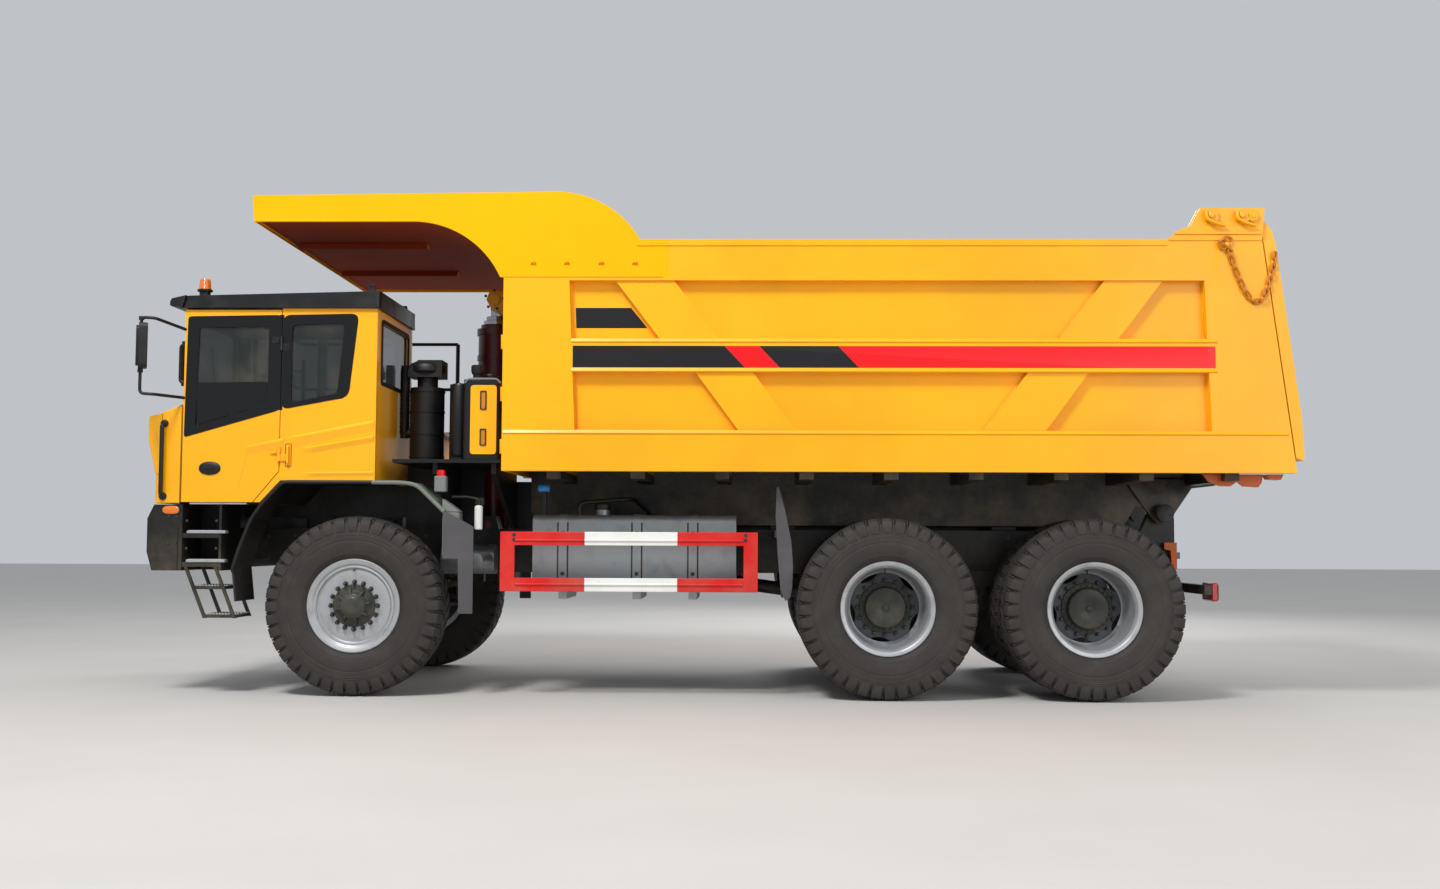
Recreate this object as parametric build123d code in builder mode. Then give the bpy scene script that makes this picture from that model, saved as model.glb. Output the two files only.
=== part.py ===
"""Mining dump truck with a 6x4 chassis, an offset cab, a front telescopic hoist and a rock body.

Millimetres. +X points to the front of the truck, +Y to its left side and +Z up.
The origin lies on the ground, below the middle of the truck's length and width.
"""
import os
from math import cos, hypot, radians, sin

from build123d import *

os.makedirs("parts", exist_ok=True)

# Overall reach, from the mirror heads to the lip below the tailgate
FRONT_REACH = 4830
REAR_REACH = 4830

# Wheels and axles
AXLE_FRONT_X = 3000
AXLE_SPACING = 4440            # front axle to the first rear axle
BOGIE_SPACING = 1690           # first to second rear axle
TYRE_RADIUS = 747.5            # 16.00-25 tyre, to the tips of its lugs
TYRE_WIDTH = 430
TYRE_BORE_RADIUS = 330
RIM_FLANGE_RADIUS = 392
RIM_BARREL_THICKNESS = 22
FRONT_TYRE_FACE_Y = 1660       # outer sidewall of a front tyre
REAR_TYRE_FACE_Y = 1775        # outer sidewall of an outer twin tyre
TWIN_SPACING = 480             # outer to inner tyre of a twin wheel
KINGPIN_Y = 1110
KINGPIN_RADIUS = 42
STEER_ARM_LENGTH = 330
RUNNING_GAP = 0.3              # between a pin or shaft and its bore
SWING_GAP = 8                  # between a moving piece and its neighbour

AXLE_Z = TYRE_RADIUS
AXLE_REAR1_X = AXLE_FRONT_X - AXLE_SPACING
AXLE_REAR2_X = AXLE_REAR1_X - BOGIE_SPACING
BOGIE_X = (AXLE_REAR1_X + AXLE_REAR2_X) / 2
FRONT_TYRE_Y = FRONT_TYRE_FACE_Y - TYRE_WIDTH / 2
REAR_TYRE_Y = REAR_TYRE_FACE_Y - TYRE_WIDTH / 2

# Chassis frame
RAIL_Y = 430                   # middle of a frame rail
RAIL_WIDTH = 110
RAIL_BOTTOM_Z = 1010
RAIL_TOP_Z = 1400
RAIL_FRONT_X = 4380
RAIL_REAR_X = -4090
RAIL_FRONT_DEPTH = 280
CROSS_TUBE_RADIUS = 85
SPRING_LEAF_THICKNESS = 22
SPRING_WIDTH = 100
SPRING_LEAVES = 6
FRONT_SPRING_HALF = 720
FRONT_SPRING_BOW = 60
SPRING_SEAT_HALF = 130         # flat middle of a stack, under its clamp
REAR_BEAM_RADIUS = 130
REAR_BEAM_HALF_Y = 800
FRONT_SPINDLE_RADIUS = 60
REAR_SPINDLE_RADIUS = 78
REAR_SPINDLE_END = 95          # short of the tyre's middle
DIFF_RADIUS = 300

# Dump body
BODY_HALF_WIDTH = 1800
BODY_BOTTOM_Z = 1870
BODY_RAIL_TOP_Z = 2190         # top of the bottom rail
BODY_TOP_Z = 3800
BODY_FRONT_X = 1746
BODY_SKIN = 30
RIB_DEPTH = 80                 # rails and posts stand out this far from the skin
FLOOR_THICKNESS = 60
STRIPE_BOTTOM_Z = 2690
STRIPE_TOP_Z = 2970
UPPER_BAND_BOTTOM_Z = 3455
FRONT_POST_REAR_TOP_X = 1200
FRONT_POST_REAR_BOTTOM_X = 1130
REAR_POST_FRONT_TOP_X = -4028
REAR_POST_FRONT_BOTTOM_X = -4095
TAIL_TOP_X = 313 - REAR_REACH  # rear edge of the side wall at its top
TAIL_BOTTOM_X = 104 - REAR_REACH  # and at the top of the bottom rail
BODY_SILL_Y = RAIL_Y
BODY_SILL_WIDTH = 150
BODY_SILL_BOTTOM_Z = 1440
DUMP_PIVOT_X = -4000
DUMP_PIVOT_Z = 1560
DUMP_PIN_RADIUS = 55

# Canopy over the cab
CANOPY_FRONT_X = 3860
CANOPY_TOP_Z = 4185
CANOPY_EDGE_BOTTOM_Z = 3950
CANOPY_BEND_FRONT_X = 2536     # where its lower edge starts to curve down
CANOPY_BEND_REAR_X = 1776
CANOPY_BEND_BOTTOM_Z = 3481
CANOPY_TAIL_X = 379
CANOPY_TOP_END_X = 1326
CANOPY_FOOT_X = 614
CANOPY_SHEET_Z = 4000
CANOPY_RIB_XS = (3320, 2740, 2160)

# Tailgate
GATE_PIVOT_X = -4440
GATE_PIVOT_Z = 3990
GATE_PIN_RADIUS = 30
GATE_THICKNESS = 95
EAR_TOP_Z = 4058
EAR_THICKNESS = 25

# Hoist
HOIST_X = 2110
HOIST_BASE_Z = 1430
HOIST_EYE_Z = 3560
HOIST_BARREL_RADIUS = 165
HOIST_STAGE_RADII = (138, 114, 90)
HOIST_TRUNNION_RADIUS = 50
HOIST_BEARER_INNER_Y = HOIST_BARREL_RADIUS + 25

# Cab
CAB_LEFT_Y = 1650
CAB_RIGHT_Y = 350
CAB_REAR_X = 2830
CAB_FRONT_X = 4465
CAB_BOTTOM_Z = 1607
CAB_EAVE_Z = 3240
CAB_ROOF_Z = 3385
CAB_WALL = 50
GLASS_THICKNESS = 8
GLASS_SEAT = 0.3
DOOR_REAR_X = 3640
DOOR_KNEE_Z = 1869
DOOR_FOOT_X = 3857
DOOR_GAP = 6
DOOR_HINGE_RADIUS = 14

# Front mask, bumper and deck
MASK_TOP_Z = 2430
MASK_FRONT_TOP_X = FRONT_REACH - 84
MASK_FRONT_BOTTOM_X = FRONT_REACH - 162
MASK_HALF_WIDTH = 1650
BUMPER_FRONT_X = FRONT_REACH - 95
BUMPER_TOP_Z = 1585
BUMPER_BOTTOM_Z = 1035
DECK_Z = 2360
DECK_THICKNESS = 30
FENDER_SHEET = 12


def block(x_low, x_high, y_low, y_high, z_low, z_high, mode=Mode.ADD):
    """An upright block between three pairs of limits."""
    with Locations(((x_low + x_high) / 2, (y_low + y_high) / 2, (z_low + z_high) / 2)):
        Box(x_high - x_low, y_high - y_low, z_high - z_low, mode=mode)


def side_plate(points, y_low, y_high, mode=Mode.ADD):
    """A plate cut to an outline of (x, z) points, between two places across the truck."""
    with BuildSketch(Plane.XZ.offset(-y_high)) as outline:
        with BuildLine():
            Polyline(*points, close=True)
        make_face()
    extrude(outline.sketch, amount=y_high - y_low, mode=mode)


def cross_plate(points, x_low, x_high, mode=Mode.ADD):
    """A plate cut to an outline of (y, z) points, between two places along the truck."""
    with BuildSketch(Plane.YZ.offset(x_low)) as outline:
        with BuildLine():
            Polyline(*points, close=True)
        make_face()
    extrude(outline.sketch, amount=x_high - x_low, mode=mode)


def flat_plate(points, z_low, z_high, mode=Mode.ADD):
    """A level plate cut to an outline of (x, y) points, between two heights."""
    with BuildSketch(Plane.XY.offset(z_low)) as outline:
        with BuildLine():
            Polyline(*points, close=True)
        make_face()
    extrude(outline.sketch, amount=z_high - z_low, mode=mode)


def rod_y(x, z, radius, y_low, y_high, mode=Mode.ADD):
    """A round bar or bore across the truck."""
    with Locations(Location((x, (y_low + y_high) / 2, z), (90, 0, 0))):
        Cylinder(radius, y_high - y_low, mode=mode)


def rod_x(y, z, radius, x_low, x_high, mode=Mode.ADD):
    """A round bar or bore along the truck."""
    with Locations(Location(((x_low + x_high) / 2, y, z), (0, 90, 0))):
        Cylinder(radius, x_high - x_low, mode=mode)


def rod_z(x, y, radius, z_low, z_high, mode=Mode.ADD):
    """An upright round bar or bore."""
    with Locations((x, y, (z_low + z_high) / 2)):
        Cylinder(radius, z_high - z_low, mode=mode)


def bar(start, end, radius):
    """A round bar between any two points."""
    run = Vector(*end) - Vector(*start)
    with BuildSketch(Plane(origin=start, z_dir=run)) as section:
        Circle(radius)
    extrude(section.sketch, amount=run.length)


def save(builder, name):
    """Labels a finished piece and writes it under its node's name."""
    builder.part.label = name
    export_step(builder.part, f"parts/{name}.step")


def leaf_stack(middle_x, base_z, half, bow):
    """Outline of a spring: its long leaf below, bowed by a parabola, and shorter leaves stepped above."""
    def curve(x):
        return bow * max(0, (abs(x) - SPRING_SEAT_HALF) / (half - SPRING_SEAT_HALF)) ** 2

    below = [half * step / 4 for step in range(-4, 5)]
    points = [(middle_x + x, base_z + curve(x)) for x in below]
    ends = [half * (1 - 0.11 * leaf) for leaf in range(SPRING_LEAVES)]
    right = []
    for leaf, end in enumerate(ends):
        top = base_z + (leaf + 1) * SPRING_LEAF_THICKNESS
        inner = ends[leaf + 1] if leaf + 1 < SPRING_LEAVES else SPRING_SEAT_HALF
        right += [(end, top + curve(end)), (inner, top + curve(inner))]
    points += [(middle_x + x, z) for x, z in right]
    points += [(middle_x - x, z) for x, z in reversed(right)]
    return points


def strip_outline(line, width):
    """Closed outline of a sheet that lies below or inside a line of (x, z) points."""
    inner_side = []
    for index, (x, z) in enumerate(line):
        before = line[max(index - 1, 0)]
        after = line[min(index + 1, len(line) - 1)]
        run = hypot(after[0] - before[0], after[1] - before[1])
        inner_side.append((x + width * (after[1] - before[1]) / run, z - width * (after[0] - before[0]) / run))
    return list(line) + inner_side[::-1]


def on_line(u, first, second):
    """Second coordinate of a straight line through two points, where the first coordinate is u."""
    return first[1] + (u - first[0]) * (second[1] - first[1]) / (second[0] - first[0])


# Frame: two rails joined by round cross tubes, with ears for the dump pin, bearers for the hoist,
# trunnion brackets for the bogie springs and a tow plate behind
CROSS_TUBE_XS = (4250, 450, -600, BOGIE_X, -3800)
RAIL_INNER_Y = RAIL_Y - RAIL_WIDTH / 2
RAIL_OUTER_Y = RAIL_Y + RAIL_WIDTH / 2
RAIL_TAIL_X = RAIL_REAR_X - 40
BOGIE_SEAT_Z = AXLE_Z + REAR_BEAM_RADIUS
BOGIE_SPRING_Y = (RAIL_Y + 80, RAIL_Y + 220)
PIN_END_Y = 640
TOW_PLATE_Z = (1150, 1210)
TOW_EYE_X = RAIL_TAIL_X - 80
TOW_PIN_RADIUS = 40
LAMP_BEAM_X = -4195
LAMP_BEAM_Z = (860, 940)
LAMP_BEAM_INNER_Y = 150        # the beam is open in the middle, over and under the tow pin
LAMP_BEAM_HALF_Y = 1250
REAR_LAMP_Y = (960, 1240)


def mirrored(side, inner, outer):
    """Limits across the truck for a piece on one side; side is 1 on the left and -1 on the right."""
    return sorted((side * inner, side * outer))


with BuildPart() as frame_rails:
    rail_outline = [
        (RAIL_FRONT_X, RAIL_TOP_Z - RAIL_FRONT_DEPTH), (RAIL_FRONT_X, RAIL_TOP_Z),
        (RAIL_REAR_X + 260, RAIL_TOP_Z), (DUMP_PIVOT_X + 95, DUMP_PIVOT_Z),
        (DUMP_PIVOT_X + 60, DUMP_PIVOT_Z + 85), (DUMP_PIVOT_X - 60, DUMP_PIVOT_Z + 85),
        (RAIL_TAIL_X, DUMP_PIVOT_Z - 40), (RAIL_TAIL_X, RAIL_BOTTOM_Z + 90), (RAIL_TAIL_X + 200, RAIL_BOTTOM_Z),
        (AXLE_FRONT_X - 1050, RAIL_BOTTOM_Z), (AXLE_FRONT_X - 850, RAIL_TOP_Z - RAIL_FRONT_DEPTH),
    ]
    for side in (-1, 1):
        side_plate(rail_outline, *mirrored(side, RAIL_INNER_Y, RAIL_OUTER_Y))
        side_plate(
            [
                (HOIST_X - 170, RAIL_TOP_Z - 190), (HOIST_X + 170, RAIL_TOP_Z - 190),
                (HOIST_X + 90, HOIST_BASE_Z + 90), (HOIST_X - 90, HOIST_BASE_Z + 90),
            ],
            *mirrored(side, HOIST_BEARER_INNER_Y, RAIL_Y),
        )
        side_plate(
            [
                (BOGIE_X - 130, BOGIE_SEAT_Z - 190), (BOGIE_X + 130, BOGIE_SEAT_Z - 190),
                (BOGIE_X + 330, RAIL_TOP_Z - 60), (BOGIE_X - 330, RAIL_TOP_Z - 60),
            ],
            *mirrored(side, RAIL_OUTER_Y - 1, BOGIE_SPRING_Y[0] - 1),
        )
        rod_y(BOGIE_X, BOGIE_SEAT_Z - 90, 85, *mirrored(side, RAIL_OUTER_Y - 1, BOGIE_SPRING_Y[1] + 20))
        block(BOGIE_X - 120, BOGIE_X + 120, *mirrored(side, BOGIE_SPRING_Y[0] - 1.5, BOGIE_SPRING_Y[1]),
              BOGIE_SEAT_Z - 60, BOGIE_SEAT_Z + 30)
        rod_y(HOIST_X, HOIST_BASE_Z, HOIST_TRUNNION_RADIUS + RUNNING_GAP,
              *mirrored(side, HOIST_BEARER_INNER_Y, RAIL_Y), mode=Mode.SUBTRACT)
    for x in CROSS_TUBE_XS:
        rod_y(x, RAIL_TOP_Z - RAIL_FRONT_DEPTH / 2, CROSS_TUBE_RADIUS, -RAIL_Y, RAIL_Y)
    flat_plate(
        [(RAIL_TAIL_X + 1, -RAIL_OUTER_Y), (TOW_EYE_X - 80, -90), (TOW_EYE_X - 80, 90), (RAIL_TAIL_X + 1, RAIL_OUTER_Y)],
        *TOW_PLATE_Z,
    )
    rod_z(TOW_EYE_X, 0, TOW_PIN_RADIUS, *TOW_PLATE_Z, mode=Mode.SUBTRACT)
    for side in (-1, 1):
        block(LAMP_BEAM_X - 30, LAMP_BEAM_X + 30, *mirrored(side, LAMP_BEAM_INNER_Y, LAMP_BEAM_HALF_Y), *LAMP_BEAM_Z)
        hanger_y = mirrored(side, RAIL_INNER_Y + 5, RAIL_OUTER_Y - 5)
        block(LAMP_BEAM_X, RAIL_TAIL_X + 40, *hanger_y, *LAMP_BEAM_Z)
        block(RAIL_TAIL_X, RAIL_TAIL_X + 40, *hanger_y, LAMP_BEAM_Z[0], RAIL_BOTTOM_Z + 110)
    rod_y(DUMP_PIVOT_X, DUMP_PIVOT_Z, DUMP_PIN_RADIUS + RUNNING_GAP, -RAIL_OUTER_Y, RAIL_OUTER_Y, mode=Mode.SUBTRACT)
    for side in (-1, 1):
        rod_y(DUMP_PIVOT_X, DUMP_PIVOT_Z, DUMP_PIN_RADIUS, *mirrored(side, RAIL_INNER_Y - 40, PIN_END_Y))
        rod_y(DUMP_PIVOT_X, DUMP_PIVOT_Z, 85, *mirrored(side, PIN_END_Y, PIN_END_Y + 15))
save(frame_rails, "frame_rails")

# Axles: a forged front beam with kingpin yokes and spring seats, and two rear tubes with round
# differential housings, spindles and noses for the propeller shafts
YOKE_HALF_HEIGHT = 150
YOKE_THICKNESS = 60
with BuildPart() as axles:
    block(AXLE_FRONT_X - 80, AXLE_FRONT_X + 80, -KINGPIN_Y + 130, KINGPIN_Y - 130, AXLE_Z - 100, AXLE_Z + 60)
    for side in (-1, 1):
        for z in (-YOKE_HALF_HEIGHT, YOKE_HALF_HEIGHT - YOKE_THICKNESS):
            low, high = sorted((side * (KINGPIN_Y - 200), side * (KINGPIN_Y + 70)))
            block(AXLE_FRONT_X - 75, AXLE_FRONT_X + 75, low, high, AXLE_Z + z, AXLE_Z + z + YOKE_THICKNESS)
        low, high = sorted((side * (KINGPIN_Y - 200), side * (KINGPIN_Y - 110)))
        block(AXLE_FRONT_X - 75, AXLE_FRONT_X + 75, low, high, AXLE_Z - YOKE_HALF_HEIGHT, AXLE_Z + YOKE_HALF_HEIGHT)
        rod_z(AXLE_FRONT_X, side * KINGPIN_Y, KINGPIN_RADIUS, AXLE_Z - YOKE_HALF_HEIGHT, AXLE_Z + YOKE_HALF_HEIGHT)
        low, high = sorted((side * (RAIL_Y - 70), side * (RAIL_Y + 70)))
        block(AXLE_FRONT_X - 110, AXLE_FRONT_X + 110, low, high, AXLE_Z + 60, AXLE_Z + 90)
    for x, nose_rear in ((AXLE_REAR1_X, 380), (AXLE_REAR2_X, 0)):
        rod_y(x, AXLE_Z, REAR_BEAM_RADIUS, -REAR_BEAM_HALF_Y, REAR_BEAM_HALF_Y)
        rod_y(x, AXLE_Z, REAR_SPINDLE_RADIUS, REAR_SPINDLE_END - REAR_TYRE_Y, REAR_TYRE_Y - REAR_SPINDLE_END)
        with Locations((x, 0, AXLE_Z)):
            Sphere(DIFF_RADIUS)
        rod_x(0, AXLE_Z + 60, 110, x, x + 430)
        if nose_rear:
            rod_x(0, AXLE_Z + 60, 80, x - nose_rear, x)
save(axles, "axles")

# Springs: a stack of leaves each side over the front axle, hung from two hangers, and an inverted
# stack each side that balances on the bogie trunnion
BOGIE_SPRING_HALF = BOGIE_SPACING / 2 + 60
BOGIE_SPRING_BOW = -30
with BuildPart() as leaf_springs:
    spring_base_z = AXLE_Z + 90.3
    spring_end_z = spring_base_z + FRONT_SPRING_BOW
    for side in (-1, 1):
        stack_y = mirrored(side, RAIL_Y - SPRING_WIDTH / 2, RAIL_Y + SPRING_WIDTH / 2)
        side_plate(leaf_stack(AXLE_FRONT_X, spring_base_z, FRONT_SPRING_HALF, FRONT_SPRING_BOW), *stack_y)
        for end in (-1, 1):
            x = AXLE_FRONT_X + end * (FRONT_SPRING_HALF - 30)
            block(x - 45, x + 45, *stack_y, spring_end_z, RAIL_TOP_Z - RAIL_FRONT_DEPTH - 0.3)
        side_plate(
            leaf_stack(BOGIE_X, BOGIE_SEAT_Z + 30.3, BOGIE_SPRING_HALF, BOGIE_SPRING_BOW),
            *mirrored(side, *BOGIE_SPRING_Y),
        )
save(leaf_springs, "leaf_springs")

# Steering knuckles, with their spindles, brake plates and arms for the tie rod
STEER_ARM_X = AXLE_FRONT_X - STEER_ARM_LENGTH
STEER_ARM_Y = KINGPIN_Y
STEER_ARM_Z = AXLE_Z - 20
TIE_PIN_RADIUS = 22
BOSS_HALF_HEIGHT = YOKE_HALF_HEIGHT - YOKE_THICKNESS - 0.5


def knuckle(side):
    """One knuckle about its kingpin; side is 1 on the left and -1 on the right."""
    def across(inner, outer):
        return sorted((side * inner, side * outer))

    boss_z = (AXLE_Z - BOSS_HALF_HEIGHT, AXLE_Z + BOSS_HALF_HEIGHT)
    rod_z(AXLE_FRONT_X, side * KINGPIN_Y, 85, *boss_z)
    rod_y(AXLE_FRONT_X, AXLE_Z, 80, *across(KINGPIN_Y, FRONT_TYRE_Y - 165))
    rod_y(AXLE_FRONT_X, AXLE_Z, 255, *across(FRONT_TYRE_Y - 180, FRONT_TYRE_Y - 160))
    rod_y(AXLE_FRONT_X, AXLE_Z, FRONT_SPINDLE_RADIUS, *across(KINGPIN_Y + 60, FRONT_TYRE_Y + 170))
    arm = [
        (AXLE_FRONT_X - 40, side * (KINGPIN_Y - 40)), (AXLE_FRONT_X - 40, side * (KINGPIN_Y + 40)),
        (STEER_ARM_X - 45, side * (STEER_ARM_Y + 40)), (STEER_ARM_X - 45, side * (STEER_ARM_Y - 40)),
    ]
    flat_plate(arm, STEER_ARM_Z - 25, STEER_ARM_Z + 25)
    rod_z(AXLE_FRONT_X, side * KINGPIN_Y, KINGPIN_RADIUS + RUNNING_GAP, *boss_z, mode=Mode.SUBTRACT)
    rod_z(STEER_ARM_X, side * STEER_ARM_Y, TIE_PIN_RADIUS + 1, STEER_ARM_Z - 25, STEER_ARM_Z + 25, Mode.SUBTRACT)


with BuildPart() as knuckle_left:
    knuckle(1)
save(knuckle_left, "knuckle_left")

with BuildPart() as knuckle_right:
    knuckle(-1)
save(knuckle_right, "knuckle_right")

# Tie rod: a bar below the steering arms, with a ball stud up into each arm
with BuildPart() as tie_rod:
    tie_z = STEER_ARM_Z - 60
    rod_y(STEER_ARM_X, tie_z, 28, -STEER_ARM_Y, STEER_ARM_Y)
    for side in (-1, 1):
        rod_z(STEER_ARM_X, side * STEER_ARM_Y, 40, tie_z - 32, tie_z + 32)
        rod_z(STEER_ARM_X, side * STEER_ARM_Y, TIE_PIN_RADIUS, tie_z, STEER_ARM_Z + 24)
save(tie_rod, "tie_rod")

# Tyres: one section, from the bead over the sidewall to the crown, with shoulder lugs cut apart
TYRE_SECTION = (   # (distance from the tyre's middle, radius)
    (150, TYRE_BORE_RADIUS), (152, 398), (190, 440), (215, 560), (205, 680), (185, 722), (120, 742),
)


def tyre(x, y):
    """One tyre on an axle at x, with its middle plane at y."""
    half = list(TYRE_SECTION)
    section = [(y + a, AXLE_Z + r) for a, r in half] + [(y - a, AXLE_Z + r) for a, r in reversed(half)]
    with BuildSketch(Plane.YZ.offset(x)) as outline:
        with BuildLine():
            Polyline(*section[:7])
            ThreePointArc(section[6], (y, AXLE_Z + TYRE_RADIUS), section[7])
            Polyline(*section[7:], section[0])
        make_face()
    revolve(outline.sketch, axis=Axis((x, 0, AXLE_Z), (0, 1, 0)))


def turned(points, x, y, side):
    """A ring or hub turned about an axle, from (outward distance, radius) points."""
    section = [(y + side * a, AXLE_Z + r) for a, r in points]
    with BuildSketch(Plane.YZ.offset(x)) as outline:
        with BuildLine():
            Polyline(*section, close=True)
        make_face()
    revolve(outline.sketch, axis=Axis((x, 0, AXLE_Z), (0, 1, 0)))


BARREL_OUTER = TYRE_BORE_RADIUS - 0.3
BARREL_INNER = BARREL_OUTER - RIM_BARREL_THICKNESS
FLANGE_IN = 152                # flange faces, from the middle of the tyre
FLANGE_OUT = 172
FRONT_HUB_RADIUS = 160
REAR_HUB_RADIUS = 205
FRONT_RIM_SECTION = (
    (-FLANGE_OUT, RIM_FLANGE_RADIUS), (-FLANGE_IN, RIM_FLANGE_RADIUS), (-FLANGE_IN, BARREL_OUTER),
    (FLANGE_IN, BARREL_OUTER), (FLANGE_IN, RIM_FLANGE_RADIUS), (FLANGE_OUT, RIM_FLANGE_RADIUS),
    (FLANGE_OUT, 324), (158, 306), (132, 296), (126, 210), (126, FRONT_HUB_RADIUS), (98, FRONT_HUB_RADIUS),
    (98, 286), (80, BARREL_INNER), (-FLANGE_OUT, BARREL_INNER),
)
FRONT_HUB_SECTION = (
    (-145, 110), (-145, 268), (-60, 268), (-60, FRONT_HUB_RADIUS - 0.3), (126.3, FRONT_HUB_RADIUS - 0.3),
    (126.3, 178), (152, 178), (196, 142), (205, 92), (232, 86), (240, 70), (240, 0), (180, 0),
    (180, FRONT_SPINDLE_RADIUS + RUNNING_GAP), (-90, FRONT_SPINDLE_RADIUS + RUNNING_GAP), (-90, 110),
)
REAR_RIM_SECTION = (
    (FLANGE_OUT, RIM_FLANGE_RADIUS), (FLANGE_OUT, 322), (150, BARREL_INNER), (-120, BARREL_INNER),
    (-170, 290), (-170, REAR_HUB_RADIUS), (-200, REAR_HUB_RADIUS), (-200, BARREL_INNER),
    (-TWIN_SPACING - FLANGE_OUT, BARREL_INNER), (-TWIN_SPACING - FLANGE_OUT, RIM_FLANGE_RADIUS),
    (-TWIN_SPACING - FLANGE_IN, RIM_FLANGE_RADIUS), (-TWIN_SPACING - FLANGE_IN, BARREL_OUTER),
    (-TWIN_SPACING + FLANGE_IN, BARREL_OUTER), (-TWIN_SPACING + FLANGE_IN, RIM_FLANGE_RADIUS),
    (-TWIN_SPACING + FLANGE_OUT, RIM_FLANGE_RADIUS), (-TWIN_SPACING + FLANGE_OUT, BARREL_OUTER),
    (-FLANGE_OUT, BARREL_OUTER), (-FLANGE_OUT, RIM_FLANGE_RADIUS), (-FLANGE_IN, RIM_FLANGE_RADIUS),
    (-FLANGE_IN, BARREL_OUTER), (FLANGE_IN, BARREL_OUTER), (FLANGE_IN, RIM_FLANGE_RADIUS),
)
REAR_HUB_SECTION = (
    (-560, 150), (-560, 272), (-330, 272), (-330, REAR_HUB_RADIUS - 0.3), (-169.7, REAR_HUB_RADIUS - 0.3),
    (-169.7, 238), (-140, 238), (-130, 180), (-66, 172), (-50, 150), (-50, 0), (-85, 0),
    (-85, REAR_SPINDLE_RADIUS + RUNNING_GAP), (-400, REAR_SPINDLE_RADIUS + RUNNING_GAP), (-400, 150),
)
SIDES = (("left", 1), ("right", -1))

for side_name, side in SIDES:
    with BuildPart() as front_tyre:
        tyre(AXLE_FRONT_X, side * FRONT_TYRE_Y)
    save(front_tyre, f"tyre_front_{side_name}")

    with BuildPart() as front_wheel:
        turned(FRONT_RIM_SECTION, AXLE_FRONT_X, side * FRONT_TYRE_Y, side)
        turned(FRONT_HUB_SECTION, AXLE_FRONT_X, side * FRONT_TYRE_Y, side)
    save(front_wheel, f"wheel_front_{side_name}")

for axle_name, axle_x in (("forward", AXLE_REAR1_X), ("aft", AXLE_REAR2_X)):
    for side_name, side in SIDES:
        with BuildPart() as rear_tyres:
            tyre(axle_x, side * REAR_TYRE_Y)
            tyre(axle_x, side * (REAR_TYRE_Y - TWIN_SPACING))
        save(rear_tyres, f"tyres_{axle_name}_{side_name}")

        with BuildPart() as rear_wheel:
            turned(REAR_RIM_SECTION, axle_x, side * REAR_TYRE_Y, side)
            turned(REAR_HUB_SECTION, axle_x, side * REAR_TYRE_Y, side)
        save(rear_wheel, f"wheel_{axle_name}_{side_name}")

# Power unit: one plain block for the engine and gearbox, and shafts to the rear axles
ENGINE_FRONT_X = 4140
ENGINE_REAR_X = 2900
ENGINE_HALF_WIDTH = 315
ENGINE_BOTTOM_Z = 1160
ENGINE_TOP_Z = 2180
GEARBOX_REAR_X = 2330
GEARBOX_Z = 1240
GEARBOX_RADIUS = 220
MOUNT_SHELF = 45               # engine feet reach this far over the rails
with BuildPart() as engine_block:
    block(ENGINE_REAR_X, ENGINE_FRONT_X, -ENGINE_HALF_WIDTH, ENGINE_HALF_WIDTH, ENGINE_BOTTOM_Z, ENGINE_TOP_Z)
    rod_x(0, GEARBOX_Z, GEARBOX_RADIUS, GEARBOX_REAR_X, ENGINE_REAR_X + 200)
    foot_y = RAIL_Y - RAIL_WIDTH / 2 + MOUNT_SHELF
    for x in (ENGINE_REAR_X + 120, ENGINE_FRONT_X - 320):
        block(x - 60, x + 60, -foot_y, foot_y, RAIL_TOP_Z + 0.3, RAIL_TOP_Z + 80)
save(engine_block, "engine_block")

SHAFT_RADIUS = 62
with BuildPart() as propeller_shafts:
    rod_x(0, GEARBOX_Z, SHAFT_RADIUS, GEARBOX_REAR_X - 70, GEARBOX_REAR_X - 0.3)
    rod_x(0, AXLE_Z + 60, SHAFT_RADIUS, AXLE_REAR1_X + 430.3, AXLE_REAR1_X + 500)
    bar((GEARBOX_REAR_X - 50, 0, GEARBOX_Z), (AXLE_REAR1_X + 480, 0, AXLE_Z + 60), SHAFT_RADIUS)
    rod_x(0, AXLE_Z + 60, SHAFT_RADIUS, AXLE_REAR2_X + 430.3, AXLE_REAR1_X - 380.3)
save(propeller_shafts, "propeller_shafts")

# Cab floor: one bent plate, raised over the wheel arch
ARCH_TOP_Z = 1790
ARCH_FRONT_X = 3630
FOOTWELL_X = 3800
DOOR_INNER_Y = CAB_LEFT_Y - CAB_WALL - DOOR_GAP
with BuildPart() as cab_floor:
    side_plate(
        [
            (CAB_REAR_X, ARCH_TOP_Z), (ARCH_FRONT_X, ARCH_TOP_Z), (FOOTWELL_X, CAB_BOTTOM_Z),
            (CAB_FRONT_X, CAB_BOTTOM_Z), (CAB_FRONT_X, CAB_BOTTOM_Z + CAB_WALL),
            (FOOTWELL_X + 27, CAB_BOTTOM_Z + CAB_WALL), (ARCH_FRONT_X + 27, ARCH_TOP_Z + CAB_WALL),
            (CAB_REAR_X, ARCH_TOP_Z + CAB_WALL),
        ],
        CAB_RIGHT_Y, DOOR_INNER_Y,
    )
save(cab_floor, "cab_floor")

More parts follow.
